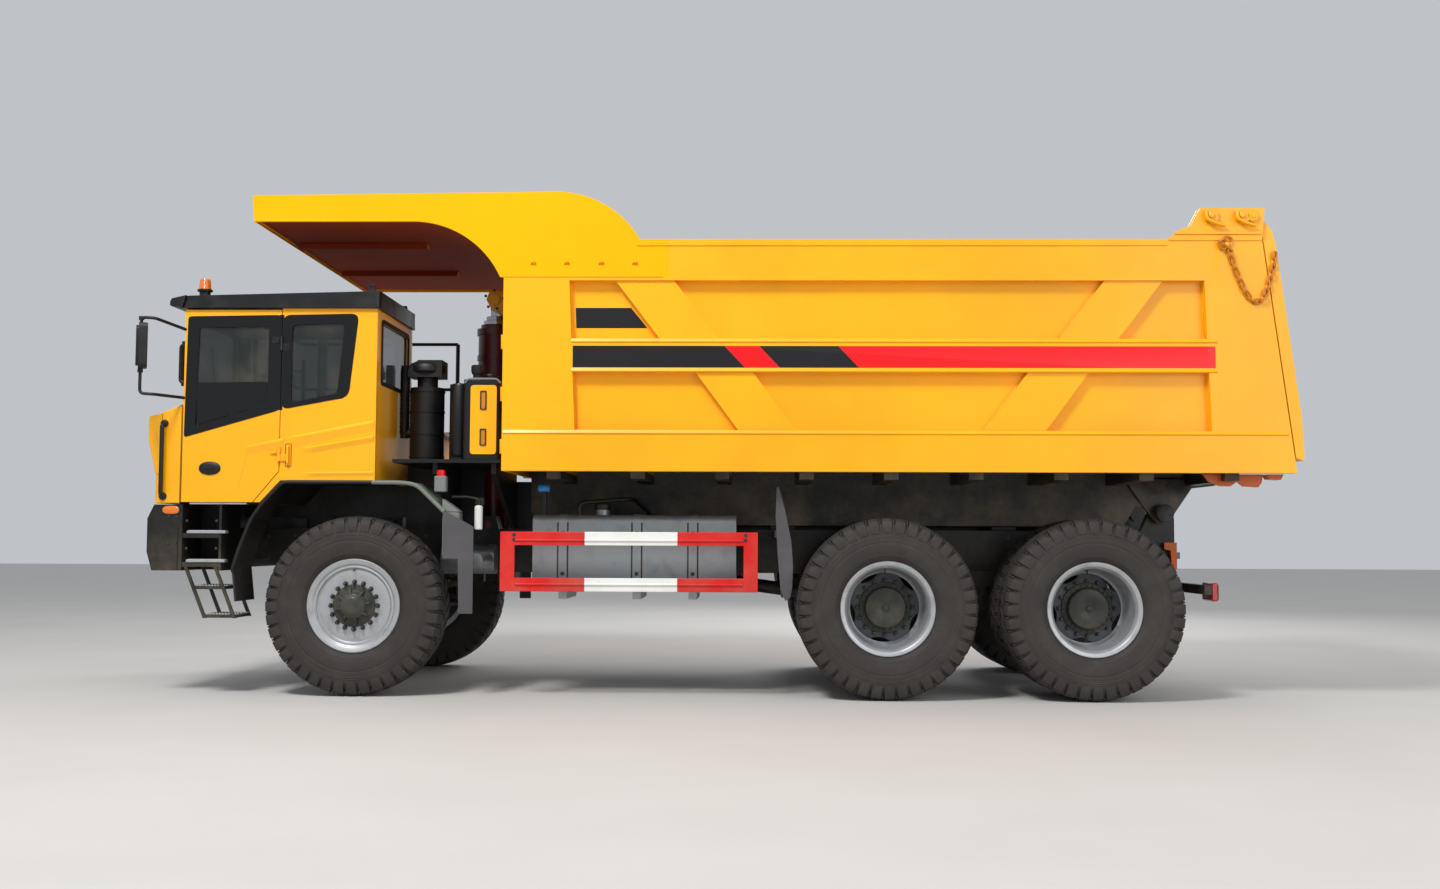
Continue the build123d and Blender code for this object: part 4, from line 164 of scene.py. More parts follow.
def box(x: Pair, y: Pair, z: Pair, bevel: float = 0.004) -> Shape:
    """A block with chamfered upright and level edges.

    Each corner of the block becomes three points, each drawn in by the bevel along two of the three
    axes, and the faces join them: six flats, twelve edge strips and eight corner triangles.

    Args:
        x: low and high limit along the truck.
        y: low and high limit across it.
        z: low and high limit in height.
        bevel: width of the chamfer.

    Returns:
        A closed shape.
    """
    low, high = np.array([x[0], y[0], z[0]]), np.array([x[1], y[1], z[1]])
    middle, half = (low + high) / 2, (high - low) / 2
    b = min(bevel, half.min() * 0.45)
    signs = np.array([[i, j, k] for i in (-1, 1) for j in (-1, 1) for k in (-1, 1)], float)
    drawn = np.array([[1, 0, 0], [0, 1, 0], [0, 0, 1]], float)
    points = (signs[:, None, :] * (half - b * (1 - drawn))[None]).reshape(-1, 3) + middle
    number = {tuple(s): n for n, s in enumerate(signs.astype(int).tolist())}
    quads, triangles = [], []
    for axis in range(3):
        a, c = (axis + 1) % 3, (axis + 2) % 3
        for s in (-1, 1):
            ring = []
            for sa, sc in ((-1, -1), (1, -1), (1, 1), (-1, 1)):
                key = [0, 0, 0]
                key[axis], key[a], key[c] = s, sa, sc
                ring.append(number[tuple(key)] * 3 + axis)
            quads.append(ring if s > 0 else ring[::-1])
        for sa in (-1, 1):
            for sc in (-1, 1):
                ends = []
                for s in (-1, 1):
                    key = [0, 0, 0]
                    key[axis], key[a], key[c] = s, sa, sc
                    ends.append(number[tuple(key)])
                strip = [ends[0] * 3 + a, ends[1] * 3 + a, ends[1] * 3 + c, ends[0] * 3 + c]
                quads.append(strip if sa * sc < 0 else strip[::-1])
    for key, n in number.items():
        corner = [n * 3, n * 3 + 1, n * 3 + 2]
        triangles.append(corner if key[0] * key[1] * key[2] > 0 else corner[::-1])
    return Shape(points, [np.array(quads), np.array(triangles)])


def double_area(outline: Array) -> float:
    """Twice the area inside an outline, above zero when it runs anticlockwise."""
    after = np.roll(outline, -1, 0)
    return np.sum(outline[:, 0] * after[:, 1] - after[:, 0] * outline[:, 1])


def plate(outline: Array, axis: int, low: float, high: float) -> Shape:
    """A flat plate: a closed outline carried along one axis, with both ends filled.

    Args:
        outline: (n, 2) points in the other two axes, in X, Y, Z order.
        axis: 0, 1 or 2, the axis across the plate.
        low: where the plate starts along that axis.
        high: where it ends.

    Returns:
        A closed shape whose faces point outwards.
    """
    outline = np.asarray(outline, float)
    if (double_area(outline) < 0) != (axis == 1):
        outline = outline[::-1]
    count = len(outline)
    others = [a for a in range(3) if a != axis]
    points = np.zeros((2 * count, 3))
    points[:, others] = np.vstack([outline, outline])
    points[:count, axis], points[count:, axis] = low, high
    ring = np.arange(count)
    nxt = (ring + 1) % count
    sides = np.stack([ring, nxt, nxt + count, ring + count], -1)
    ends = np.stack([ring[::-1], ring + count])
    return Shape(points, [sides, ends])


def turned(profile: Array, centre: Point, segments: int = 48, axis: int = 1) -> Shape:
    """A turned form: a profile of (place along the axis, radius) swept round the axis.

    Point (i, k) is centre + axis * place_i + radius_i * (cos t_k, sin t_k) with t_k going once round.
    A profile that ends where it starts gives a ring; any other is closed on the axis at both ends.

    Args:
        profile: (n, 2) places and radii, from the low end of the axis to the high end.
        centre: a point on the axis.
        segments: number of steps round.
        axis: 0, 1 or 2, the axis of turning.

    Returns:
        A shape whose faces point away from the axis.
    """
    profile = np.asarray(profile, float)
    if not np.array_equal(profile[0], profile[-1]):
        foot, tip = profile[:1] * (1.0, 0.0), profile[-1:] * (1.0, 0.0)
        profile = np.vstack([foot[profile[:1, 1] > 0], profile, tip[profile[-1:, 1] > 0]])
    t = np.linspace(0, 2 * np.pi, segments, endpoint=False)
    a, c = (axis + 1) % 3, (axis + 2) % 3
    points = np.zeros((len(profile), segments, 3))
    points[:, :, axis] = profile[:, :1]
    points[:, :, a] = profile[:, 1:] * np.cos(t)
    points[:, :, c] = profile[:, 1:] * np.sin(t)
    faces = grid_faces(len(profile), segments, close_columns=True)[:, ::-1]
    return Shape(points.reshape(-1, 3) + np.asarray(centre, float), [faces])


def posts(middle: Pair, circle: float, angles: list[float], half: float, z: Pair, bevel: float) -> Shape:
    """Square upright posts on a circle about an upright axis."""
    places = [(middle[0] + circle * math.cos(a), middle[1] + circle * math.sin(a)) for a in angles]
    return joined(*(box((x - half, x + half), (y - half, y + half), z, bevel) for x, y in places))


def hoop(low: float, high: float, inner: float, outer: float) -> list[Pair]:
    """The section of a square-edged ring, for turning."""
    return [(low, inner), (low, outer), (high, outer), (high, inner), (low, inner)]


def tube(path: Array, radius: float, segments: int = 12, closed_path: bool = False) -> Shape:
    """A round tube along a path, with rounded-off ends.

    At each point of the path a circle stands across the path's direction; its first axis is carried
    from point to point by taking away its part along the new direction, so the tube doesn't twist.

    Args:
        path: (n, 3) points.
        radius: of the tube.
        segments: number of steps round it.
        closed_path: joins the last point to the first.

    Returns:
        A closed shape.
    """
    path = np.asarray(path, float)
    ahead = np.roll(path, -1, 0) - np.roll(path, 1, 0)
    if not closed_path:
        ahead[0], ahead[-1] = path[1] - path[0], path[-1] - path[-2]
    ahead /= np.linalg.norm(ahead, axis=1, keepdims=True)
    side = np.cross(ahead[0], (0.0, 0.0, 1.0))
    if np.linalg.norm(side) < 1e-3:
        side = np.cross(ahead[0], (0.0, 1.0, 0.0))
    sides = []
    for direction in ahead:
        side = side - direction * float(side @ direction)
        side = side / np.linalg.norm(side)
        sides.append(side)
    sides = np.array(sides)
    ups = np.cross(ahead, sides)
    t = np.linspace(0, 2 * np.pi, segments, endpoint=False)
    if closed_path:
        radii, centres, first, second = np.full(len(path), radius), path, sides, ups
    else:
        cap = radius * 0.25
        centres = np.vstack([path[0] - ahead[0] * cap, path[0] - ahead[0] * cap, path,
                             path[-1] + ahead[-1] * cap, path[-1] + ahead[-1] * cap])
        radii = np.concatenate([[0.0, radius * 0.8], np.full(len(path), radius), [radius * 0.8, 0.0]])
        first = np.vstack([sides[:1], sides[:1], sides, sides[-1:], sides[-1:]])
        second = np.vstack([ups[:1], ups[:1], ups, ups[-1:], ups[-1:]])
    ring = first[:, None] * np.cos(t)[None, :, None] + second[:, None] * np.sin(t)[None, :, None]
    points = centres[:, None] + ring * radii[:, None, None]
    faces = grid_faces(len(centres), segments, close_rows=closed_path, close_columns=True)[:, ::-1]
    return Shape(points.reshape(-1, 3), [faces])


def rounded_path(corners: list[Point], radius: float, steps: int = 6) -> Array:
    """A path through corners with each corner rounded.

    Each inner corner is replaced by a quadratic curve that starts and ends one radius from it.

    Args:
        corners: the path's ends and corners in order.
        radius: distance from a corner at which its curve starts.
        steps: points on each curve.

    Returns:
        (n, 3) points.
    """
    pts = np.asarray(corners, float)
    out = [pts[:1]]
    t = np.linspace(0, 1, steps)[:, None]
    for before, corner, after in zip(pts[:-2], pts[1:-1], pts[2:]):
        back, on = before - corner, after - corner
        reach = min(radius, np.linalg.norm(back) * 0.48, np.linalg.norm(on) * 0.48)
        start = corner + back / np.linalg.norm(back) * reach
        end = corner + on / np.linalg.norm(on) * reach
        out.append((1 - t) ** 2 * start + 2 * t * (1 - t) * corner + t ** 2 * end)
    out.append(pts[-1:])
    return np.vstack(out)


def pipe(corners: list[Point], bend: float, radius: float, segments: int = 12, steps: int = 6) -> Shape:
    """A round tube through corners, each rounded from one bend away."""
    return tube(rounded_path(corners, bend, steps), radius, segments)


def bolt_head(radius: float, height: float) -> Shape:
    """A six-sided bolt head with a domed end and a washer, standing on +Y at the origin."""
    t6 = np.arange(6) * np.pi / 3
    rings = [(0.0, radius * 1.35), (height * 0.16, radius * 1.35), (height * 0.16, radius),
             (height * 0.86, radius), (height, radius * 0.82)]
    points = np.concatenate([
        np.stack([r * np.cos(t6), np.full(6, y), r * np.sin(t6)], -1) for y, r in rings
    ] + [[[0.0, height, 0.0], [0.0, 0.0, 0.0]]])
    faces = grid_faces(len(rings), 6, close_columns=True)
    top = (len(rings) - 1) * 6
    fan = np.stack([np.full(6, top + 6), top + (np.arange(6) + 1) % 6, top + np.arange(6)], -1)
    foot = np.stack([np.full(6, top + 7), (np.arange(6) + 1) % 6, np.arange(6)], -1)
    return Shape(points, [faces, fan[:, ::-1], foot])


def facing(direction: Point) -> Array:
    """A rotation matrix that turns +Y to a direction."""
    quaternion = Vector((0.0, 1.0, 0.0)).rotation_difference(Vector(direction))
    return np.array(quaternion.to_matrix())


def bolts(places: Array, direction: Point, radius: float, height: float) -> Shape:
    """Bolt heads at places, all standing in one direction."""
    places = np.asarray(places, float).reshape(-1, 3)
    turn = np.repeat(facing(direction)[None], len(places), axis=0)
    return bolt_head(radius, height).repeated(turn, places)


def rounded_outline(points: list[Pair], radius: float, steps: int = 6) -> Array:
    """A closed outline with its corners rounded.

    Corner c becomes the curve (1-t)^2 a + 2t(1-t) c + t^2 b, where a and b lie on its two edges at
    the radius, or at 0.45 of a short edge. All corners are worked out at once.

    Args:
        points: corners in order.
        radius: distance from a corner at which its curve starts.
        steps: points on each curve.

    Returns:
        (n * steps, 2) points.
    """
    corners = np.asarray(points, float)
    back, on = np.roll(corners, 1, 0) - corners, np.roll(corners, -1, 0) - corners
    back_run, on_run = np.linalg.norm(back, axis=1), np.linalg.norm(on, axis=1)
    reach = np.minimum(radius, 0.45 * np.minimum(back_run, on_run))
    start = corners + back * (reach / back_run)[:, None]
    end = corners + on * (reach / on_run)[:, None]
    t = np.linspace(0, 1, steps)[None, :, None]
    curve = (1 - t) ** 2 * start[:, None] + 2 * t * (1 - t) * corners[:, None] + t ** 2 * end[:, None]
    return curve.reshape(-1, 2)


def rectangle(left: float, right: float, low: float, high: float) -> list[Pair]:
    """The corners of an upright rectangle, in order."""
    return [(left, low), (right, low), (right, high), (left, high)]


def rounded_rectangle(left: float, right: float, low: float, high: float, radius: float,
                      steps: int = 6) -> Array:
    """An upright rectangle with its corners rounded."""
    return rounded_outline(rectangle(left, right, low, high), radius, steps)


def collar(outer: Array, inner: Array, axis: int, low: float, high: float) -> Shape:
    """A flat frame between two outlines that have the same number of points.

    Args:
        outer: (n, 2) outer outline in the two axes across.
        inner: (n, 2) inner outline, its points beside the outer ones.
        axis: the axis across the frame's plane.
        low: where it starts along that axis.
        high: where it ends.

    Returns:
        A closed ring.
    """
    count = len(outer)
    others = [a for a in range(3) if a != axis]
    rings = np.zeros((4, count, 3))
    for number, (outline, place) in enumerate(((outer, low), (outer, high), (inner, high), (inner, low))):
        rings[number][:, others] = outline
        rings[number][:, axis] = place
    faces = grid_faces(4, count, True, True)
    if (double_area(outer) > 0) == (axis == 1):
        faces = faces[:, ::-1]
    return Shape(rings.reshape(-1, 3), [faces[:, ::-1]])


def dome(centre: Point, half: Point, power: float = 2.0, rows: int = 18, columns: int = 32) -> Shape:
    """A rounded lump: a superellipsoid about a centre.

    A point is centre + half * (f(cos v) f(cos u), f(cos v) f(sin u), f(sin v)) with
    f(s) = sign(s) |s|^(2/power), so that power 2 is an ellipsoid and higher powers are boxier.

    Args:
        centre: its middle.
        half: half sizes along X, Y and Z.
        power: squareness.
        rows: steps from pole to pole.
        columns: steps round.

    Returns:
        A closed shape.
    """
    v = np.linspace(-np.pi / 2, np.pi / 2, rows)[:, None]
    u = np.linspace(0, 2 * np.pi, columns, endpoint=False)[None]
    ring, height, along, across = (
        np.sign(s) * np.abs(s) ** (2 / power) for s in (np.cos(v), np.sin(v), np.cos(u), np.sin(u)))
    unit = np.stack([ring * along, ring * across, height * np.ones_like(u)], -1)
    points = np.asarray(centre, float) + unit.reshape(-1, 3) * np.asarray(half, float)
    return Shape(points, [grid_faces(rows, columns, close_columns=True)])


def chain(path: Array, link: float, wire: float, flat: float = 0.0) -> Shape:
    """A chain of oval links along a path, each turned a quarter against the last.

    Links stand at even distances along the path. A link is a tube round an oval whose long axis
    follows the path.

    Args:
        path: (n, 3) points.
        link: distance from link to link.
        wire: radius of the links' wire.
        flat: turn of the whole chain about its own line, in radians.

    Returns:
        All links as one shape.
    """
    path = np.asarray(path, float)
    way = np.concatenate([[0], np.cumsum(np.linalg.norm(np.diff(path, axis=0), axis=1))])
    count = max(2, int(way[-1] / link))
    stops = (np.arange(count) + 0.5) * way[-1] / count
    places = np.stack([np.interp(stops, way, path[:, a]) for a in range(3)], -1)
    ahead = np.stack([np.interp(stops + 0.01, way, path[:, a]) - np.interp(stops - 0.01, way, path[:, a])
                      for a in range(3)], -1)
    ahead /= np.linalg.norm(ahead, axis=1, keepdims=True)
    side = np.cross(ahead, (0.0, 1.0, 0.0))
    side /= np.linalg.norm(side, axis=1, keepdims=True)
    up = np.cross(ahead, side)
    turn = (np.arange(count) % 2) * np.pi / 2 + flat
    across = side * np.cos(turn)[:, None] + up * np.sin(turn)[:, None]
    t = np.linspace(0, 2 * np.pi, 18, endpoint=False)
    oval = np.stack([(link * 0.5 + wire * 1.3) * np.cos(t) - 0.12 * link * np.cos(3 * t),
                     wire * 2.3 * np.sin(t), 0 * t], -1)
    one = tube(oval, wire, 8, True)
    turns = np.stack([ahead, across, np.cross(ahead, across)], -1)
    return one.repeated(turns, places)


# Finishes

Colour = tuple[int, int, int]


def light(colour: Colour) -> tuple[float, float, float, float]:
    """A screen colour of three numbers up to 255 as linear light with full alpha.

    With v from 0 to 1, the light is ((v + 0.055) / 1.055)^2.4, or v / 12.92 where v is 0.04045 or less.

    Args:
        colour: red, green and blue.

    Returns:
        Linear red, green and blue, and 1.
    """
    shares = [v / 255 for v in colour]
    return *(((v + 0.055) / 1.055) ** 2.4 if v > 0.04045 else v / 12.92 for v in shares), 1.0


def shaded(colour: tuple[float, ...], factor: float) -> tuple[float, ...]:
    """A linear colour made darker by a factor, with full alpha."""
    return tuple(v * factor for v in colour[:3]) + (1.0,)


class Hue(Enum):
    """Colours of the truck, as they look on a screen."""

    YELLOW = (253, 176, 0)
    STRIPE_DARK = (18, 16, 20)
    STRIPE_RED = (228, 0, 12)
    BLACK = (5, 5, 6)
    FRAME = (9, 9, 10)
    SILVER = (176, 178, 180)
    HUB = (36, 42, 38)
    # The steel disc's dark grey, darker still as painted shade in the deep dish.
    DISH = (92, 95, 98)
    RUBBER = (41, 37, 35)
    RUBBER_DUST = (86, 76, 68)
    MAROON = (92, 14, 18)
    # Yellow paint in shade, as a red-brown: a painted shade colour for undersides.
    YELLOW_SHADED_BROWN = (138, 48, 14)
    GUARD_RED = (216, 0, 4)
    WHITE = (232, 232, 228)
    TANK = (150, 154, 156)
    FENDER = (106, 114, 104)
    DARK_GREY = (74, 72, 74)
    GLASS = (22, 32, 31)
    AMBER = (244, 126, 8)
    LENS_RED = (176, 10, 12)
    IRON = (74, 76, 76)
    SEAT = (38, 38, 42)
    PLATE = (120, 124, 124)
    DUST = (160, 144, 118)
    CANISTER = (214, 216, 212)
    BLUE = (44, 130, 186)
    CHAIN = (206, 124, 10)
    # Yellow paint in shade, as orange: a painted shade colour for brackets under the body and the frame.
    YELLOW_SHADED_ORANGE = (208, 96, 24)


class Painter:
    """Builds one material's node tree in short steps."""

    def __init__(self, name: str) -> None:
        """Starts an empty material.

        Args:
            name: the material's name.
        """
        self.material = bpy.data.materials.new(name)
        self.material.use_nodes = True
        self.tree = self.material.node_tree
        self.shader = self.tree.nodes["Principled BSDF"]
        self.place = self.tree.nodes.new("ShaderNodeTexCoord").outputs["Object"]

    def feed(self, target: Socket, value: object) -> None:
        """Links a socket to an input, or sets the input to a plain value."""
        if isinstance(value, Socket):
            self.tree.links.new(value, target)
        else:
            target.default_value = value

    def node(self, kind: str, inputs: dict[object, object] | None = None,
             **settings: object) -> bpy.types.Node:
        """A new node with its properties set and its inputs fed by name or number."""
        made = self.tree.nodes.new(kind)
        for key, value in settings.items():
            setattr(made, key, value)
        for key, value in (inputs or {}).items():
            self.feed(made.inputs[key], value)
        return made

    def math(self, operation: str, first: object, second: object = None, clamp: bool = False) -> Socket:
        """One arithmetic step on sockets or numbers.

        Args:
            operation: Blender's name of it.
            first: a socket or a number.
            second: a socket, a number or nothing.
            clamp: keeps the result between 0 and 1.

        Returns:
            The result's socket.
        """
        inputs = {0: first} if second is None else {0: first, 1: second}
        return self.node("ShaderNodeMath", inputs, operation=operation, use_clamp=clamp).outputs[0]

    def times(self, first: object, second: object, clamp: bool = False) -> Socket:
        """The product of two sockets or numbers."""
        return self.math("MULTIPLY", first, second, clamp)

    def rest(self, share: Socket) -> Socket:
        """What a share leaves of 1."""
        return self.math("SUBTRACT", 1.0, share)

    def noise(self, scale: float, detail: float = 4.0, stretch: Point = (1, 1, 1),
              roughness: float = 0.55) -> Socket:
        """Noise on object coordinates, as a number from 0 to 1."""
        spread = self.node("ShaderNodeMapping", {"Scale": stretch, "Vector": self.place})
        return self.node("ShaderNodeTexNoise", {"Vector": spread.outputs[0], "Scale": scale, "Detail": detail,
                                                "Roughness": roughness}).outputs["Fac"]

    def ramp(self, value: Socket, low: float, high: float) -> Socket:
        """A smooth rise from 0 at low to 1 at high."""
        return self.node("ShaderNodeMapRange", {"Value": value, "From Min": low, "From Max": high},
                         interpolation_type="SMOOTHSTEP", clamp=True).outputs["Result"]

    def mix(self, share: object, first: object, second: object) -> Socket:
        """A blend of two colours, each a socket or a colour, by a share from 0 to 1."""
        return self.node("ShaderNodeMix", {0: share, 6: first, 7: second}, data_type="RGBA").outputs[2]

    def axis(self, name: str) -> Socket:
        """One of the object coordinates, X, Y or Z."""
        return self.node("ShaderNodeSeparateXYZ", {0: self.place}).outputs[name]

    def between(self, value: Socket, low: float, high: float, soft: float = 0.0008) -> Socket:
        """1 where a value lies between two limits and 0 elsewhere, with a soft edge."""
        return self.times(self.ramp(value, low - soft, low + soft),
                          self.rest(self.ramp(value, high - soft, high + soft)))

    def relief(self, heights: list[tuple[Socket, float, float]]) -> None:
        """Bumps the surface by heights, each with its strength and its depth in metres."""
        inputs = {}
        for height, strength, depth in heights:
            inputs |= {"Height": height, "Strength": strength, "Distance": depth}
            inputs = {"Normal": self.node("ShaderNodeBump", inputs).outputs["Normal"]}
        self.feed(self.shader.inputs["Normal"], inputs["Normal"])

    def set(self, **values: object) -> None:
        """Feeds the shader's own inputs; an underscore stands for a space."""
        for key, value in values.items():
            self.feed(self.shader.inputs[key.replace("_", " ")], value)


@dataclass(frozen=True)
class Paint:
    """Sprayed paint with a faint orange-peel skin, road dust low down and small chips.

    Attributes:
        name: of the finish.
        hue: the paint's colour.
        roughness: of the clean paint.
        coat: strength of the clear coat.
        dust: how much dust lies on it at the ground, from 0 to 1.
        dust_top: height in metres at which the dust ends.
        peel: depth of the orange peel in metres.
        shine: strength of the mirror-like part of its light.
    """

    name: str
    hue: Hue
    roughness: float = 0.36
    coat: float = 0.12
    dust: float = 0.35
    dust_top: float = 2.4
    peel: float = 0.0004
    shine: float = 0.35

    def start(self) -> tuple[Painter, Socket]:
        """The paint's colour before its dust, for finishes that add to it.

        Returns:
            The painter and the colour socket.
        """
        painter = Painter(self.name)
        base = light(self.hue.value)
        cloud = painter.ramp(painter.noise(0.8, 3.0), 0.35, 0.7)
        return painter, painter.mix(cloud, base, shaded(base, 0.88))

    def finish(self, painter: Painter, colour: Socket) -> Material:
        """Adds dust, roughness and skin to a colour.

        Args:
            painter: the painter that holds the colour.
            colour: the colour socket.

        Returns:
            The material.
        """
        height = painter.ramp(painter.axis("Z"), 0.1, self.dust_top)
        cloud = painter.ramp(painter.noise(3.0, 6.0, roughness=0.65), 0.30, 0.78)
        low = painter.rest(height)
        dust = painter.times(painter.times(cloud, low), self.dust, clamp=True)
        fleck = painter.times(painter.ramp(painter.noise(46.0, 3.0), 0.70, 0.76), low)
        dusty = painter.mix(dust, colour, light(Hue.DUST.value))
        rough = painter.math("ADD", self.roughness, painter.times(dust, 0.5))
        streak = painter.times(painter.noise(5.0, 5.0, (1, 1, 0.25)), 0.10)
        painter.relief([(painter.noise(140.0, 2.0), 0.25, self.peel), (painter.noise(2.2, 2.0), 0.12, 0.004)])
        painter.set(Base_Color=painter.mix(painter.times(fleck, 0.5), dusty, light(Hue.IRON.value)),
                    Roughness=painter.math("ADD", rough, streak, clamp=True),
                    Coat_Weight=self.coat, Coat_Roughness=0.12, Specular_IOR_Level=self.shine)
        return painter.material

    def made(self) -> Material:
        """The finished material."""
        return self.finish(*self.start())


@dataclass(frozen=True)
class Band:
    """One painted band on an upright face.

    Attributes:
        x: its ends along the truck, at its middle height.
        z: its lower and upper edge.
        hue: its colour.
        y: limits of the distance from the truck's middle plane, which keep it off other faces.
        lean: how far each end moves forward for each metre of height.
    """

    x: Pair
    z: Pair
    hue: Hue
    y: Pair = (0.0, 9.0)
    lean: Pair = (0.0, 0.0)


@dataclass(frozen=True)
class BandedPaint(Paint):
    """Paint with flat painted bands on it.

    Attributes:
        bands: painted in order, later ones over earlier ones.
    """

    bands: tuple[Band, ...] = ()

    def inside(self, painter: Painter, band: Band) -> Socket:
        """1 inside a band and 0 outside.

        A point is inside where x - lean (z - middle) lies between the ends, z between the edges and
        |y| between its limits.

        Args:
            painter: the painter of the material.
            band: the band.

        Returns:
            The share's socket.
        """
        along, across, up = painter.axis("X"), painter.math("ABSOLUTE", painter.axis("Y")), painter.axis("Z")
        rise = painter.math("SUBTRACT", up, sum(band.z) / 2)
        past_low, past_high = (
            painter.ramp(painter.math("SUBTRACT", along, painter.times(rise, lean)), end - 0.001, end + 0.001)
            for end, lean in zip(band.x, band.lean))
        lengthwise = painter.math("SUBTRACT", past_low, past_high, clamp=True)
        return painter.times(
            lengthwise, painter.times(painter.between(up, *band.z), painter.between(across, *band.y)))

    def start(self) -> tuple[Painter, Socket]:
        """The paint's colour with its bands, before the dust."""
        painter, colour = super().start()
        for band in self.bands:
            colour = painter.mix(self.inside(painter, band), colour, light(band.hue.value))
        return painter, colour


@dataclass(frozen=True)
class UndersideShadePaint(BandedPaint):
    """Banded paint with painted shade: its inner faces that don't look up take a shade colour.

    Attributes:
        below: the painted shade colour of those faces.
        inner: they lie within this distance of the truck's middle plane,
        end: behind this place along the truck
        top: and below this height.
    """

    below: Hue = Hue.YELLOW_SHADED_BROWN
    inner: float = 1.785
    end: float = 9.0
    top: float = 9.0

    def made(self) -> Material:
        """The finished material."""
        painter, colour = self.start()
        normal = painter.node("ShaderNodeTexCoord").outputs["Normal"]
        facing_x, _, facing_z = painter.node("ShaderNodeSeparateXYZ", {0: normal}).outputs
        within = painter.between(painter.math("ABSOLUTE", painter.axis("Y")), -1.0, self.inner)
        behind = painter.times(
            painter.between(painter.axis("X"), -9.0, self.end), painter.ramp(facing_x, -0.4, -0.2))
        under = painter.times(behind, painter.between(painter.axis("Z"), -9.0, self.top))
        # Painted shade: faces that don't look up, within the limits, take the shade colour.
        down = painter.times(painter.rest(painter.ramp(facing_z, 0.1, 0.3)), painter.times(within, under))
        return self.finish(painter, painter.mix(down, colour, light(self.below.value)))


@dataclass(frozen=True)
class Rubber:
    """Tyre or flap rubber: dark, dull, with dust in its hollows and a fine grain.

    Attributes:
        name: of the finish.
        hue: colour of the clean rubber.
        dust: share of dust.
        grain: scale of the grain.
    """

    name: str
    hue: Hue = Hue.RUBBER
    dust: float = 0.35
    grain: float = 60.0

    def made(self) -> Material:
        """The finished material."""
        painter = Painter(self.name)
        cloud = painter.ramp(painter.noise(6.0, 7.0, roughness=0.65), 0.40, 0.75)
        fine = painter.ramp(painter.noise(self.grain, 4.0), 0.42, 0.66)
        both = painter.math("ADD", painter.times(cloud, 0.6), painter.times(fine, 0.4))
        share = painter.times(both, self.dust, clamp=True)
        painter.set(Base_Color=painter.mix(share, light(self.hue.value), light(Hue.RUBBER_DUST.value)),
                    Roughness=painter.math("ADD", 0.66, painter.times(fine, 0.22)))
        painter.relief(
            [(painter.noise(self.grain * 4, 3.0), 0.35, 0.0007), (painter.noise(9.0, 4.0), 0.2, 0.003)])
        return painter.material


class Grain(Enum):
    """How a metal's surface was worked: scale along X, Y and Z of its marks."""

    CAST = (1.0, 1.0, 1.0)
    BRUSHED_X = (0.05, 1.0, 1.0)
    BRUSHED_Z = (1.0, 1.0, 0.05)


@dataclass(frozen=True)
class Metal:
    """Bare or silver-painted metal with worked marks and stains.

    Attributes:
        name: of the finish.
        hue: its colour.
        metallic: from 0, paint, to 1, bare metal.
        roughness: of its clean surface.
        grain: how it was worked.
        marks: depth of the marks in metres.
    """

    name: str
    hue: Hue
    metallic: float = 0.8
    roughness: float = 0.38
    grain: Grain = Grain.CAST
    marks: float = 0.0006

    def made(self) -> Material:
        """The finished material."""
        painter = Painter(self.name)
        base = light(self.hue.value)
        stain = painter.ramp(painter.noise(7.0, 6.0, roughness=0.6), 0.45, 0.75)
        worked = painter.noise(130.0, 4.0, self.grain.value)
        painter.relief([(worked, 0.3, self.marks)])
        painter.set(Base_Color=painter.mix(painter.times(stain, 0.6), base, shaded(base, 0.6)),
                    Roughness=painter.math("ADD", self.roughness, painter.times(worked, 0.22)),
                    Metallic=self.metallic)
        return painter.material


@dataclass(frozen=True)
class Glazing:
    """Tinted flat glass with faint ripples and a film of dust.

    Attributes:
        name: of the finish.
        hue: its tint.
        alpha: how much it hides.
    """

    name: str
    hue: Hue = Hue.GLASS
    alpha: float = 0.60

    def made(self) -> Material:
        """The finished material."""
        painter = Painter(self.name)
        film = painter.ramp(painter.noise(2.5, 5.0), 0.4, 0.8)
        painter.relief([(painter.noise(1.5, 1.0), 0.08, 0.003)])
        painter.set(
            Base_Color=painter.mix(painter.times(film, 0.18), light(self.hue.value), light(Hue.DUST.value)),
            Roughness=painter.math("ADD", 0.03, painter.times(film, 0.08)), Alpha=self.alpha,
            Specular_IOR_Level=0.6, Coat_Weight=0.6, Coat_Roughness=0.03)
        return painter.material


@dataclass(frozen=True)
class Lens:
    """A ribbed lamp lens.

    Attributes:
        name: of the finish.
        hue: of the lens.
        ribs: ribs to a metre.
    """

    name: str
    hue: Hue
    ribs: float = 260.0

    def made(self) -> Material:
        """The finished material."""
        painter = Painter(self.name)
        base = light(self.hue.value)
        wave = painter.node("ShaderNodeTexWave", {"Vector": painter.place, "Scale": self.ribs / 6.28,
                                                  "Distortion": 0.0}, wave_type="BANDS", bands_direction="Z")
        painter.relief([(wave.outputs["Fac"], 0.4, 0.002)])
        painter.set(Base_Color=painter.mix(painter.noise(14.0, 3.0), base, shaded(base, 0.7)),
                    Roughness=0.14, Coat_Weight=0.8, Coat_Roughness=0.05, Specular_IOR_Level=0.6)
        return painter.material


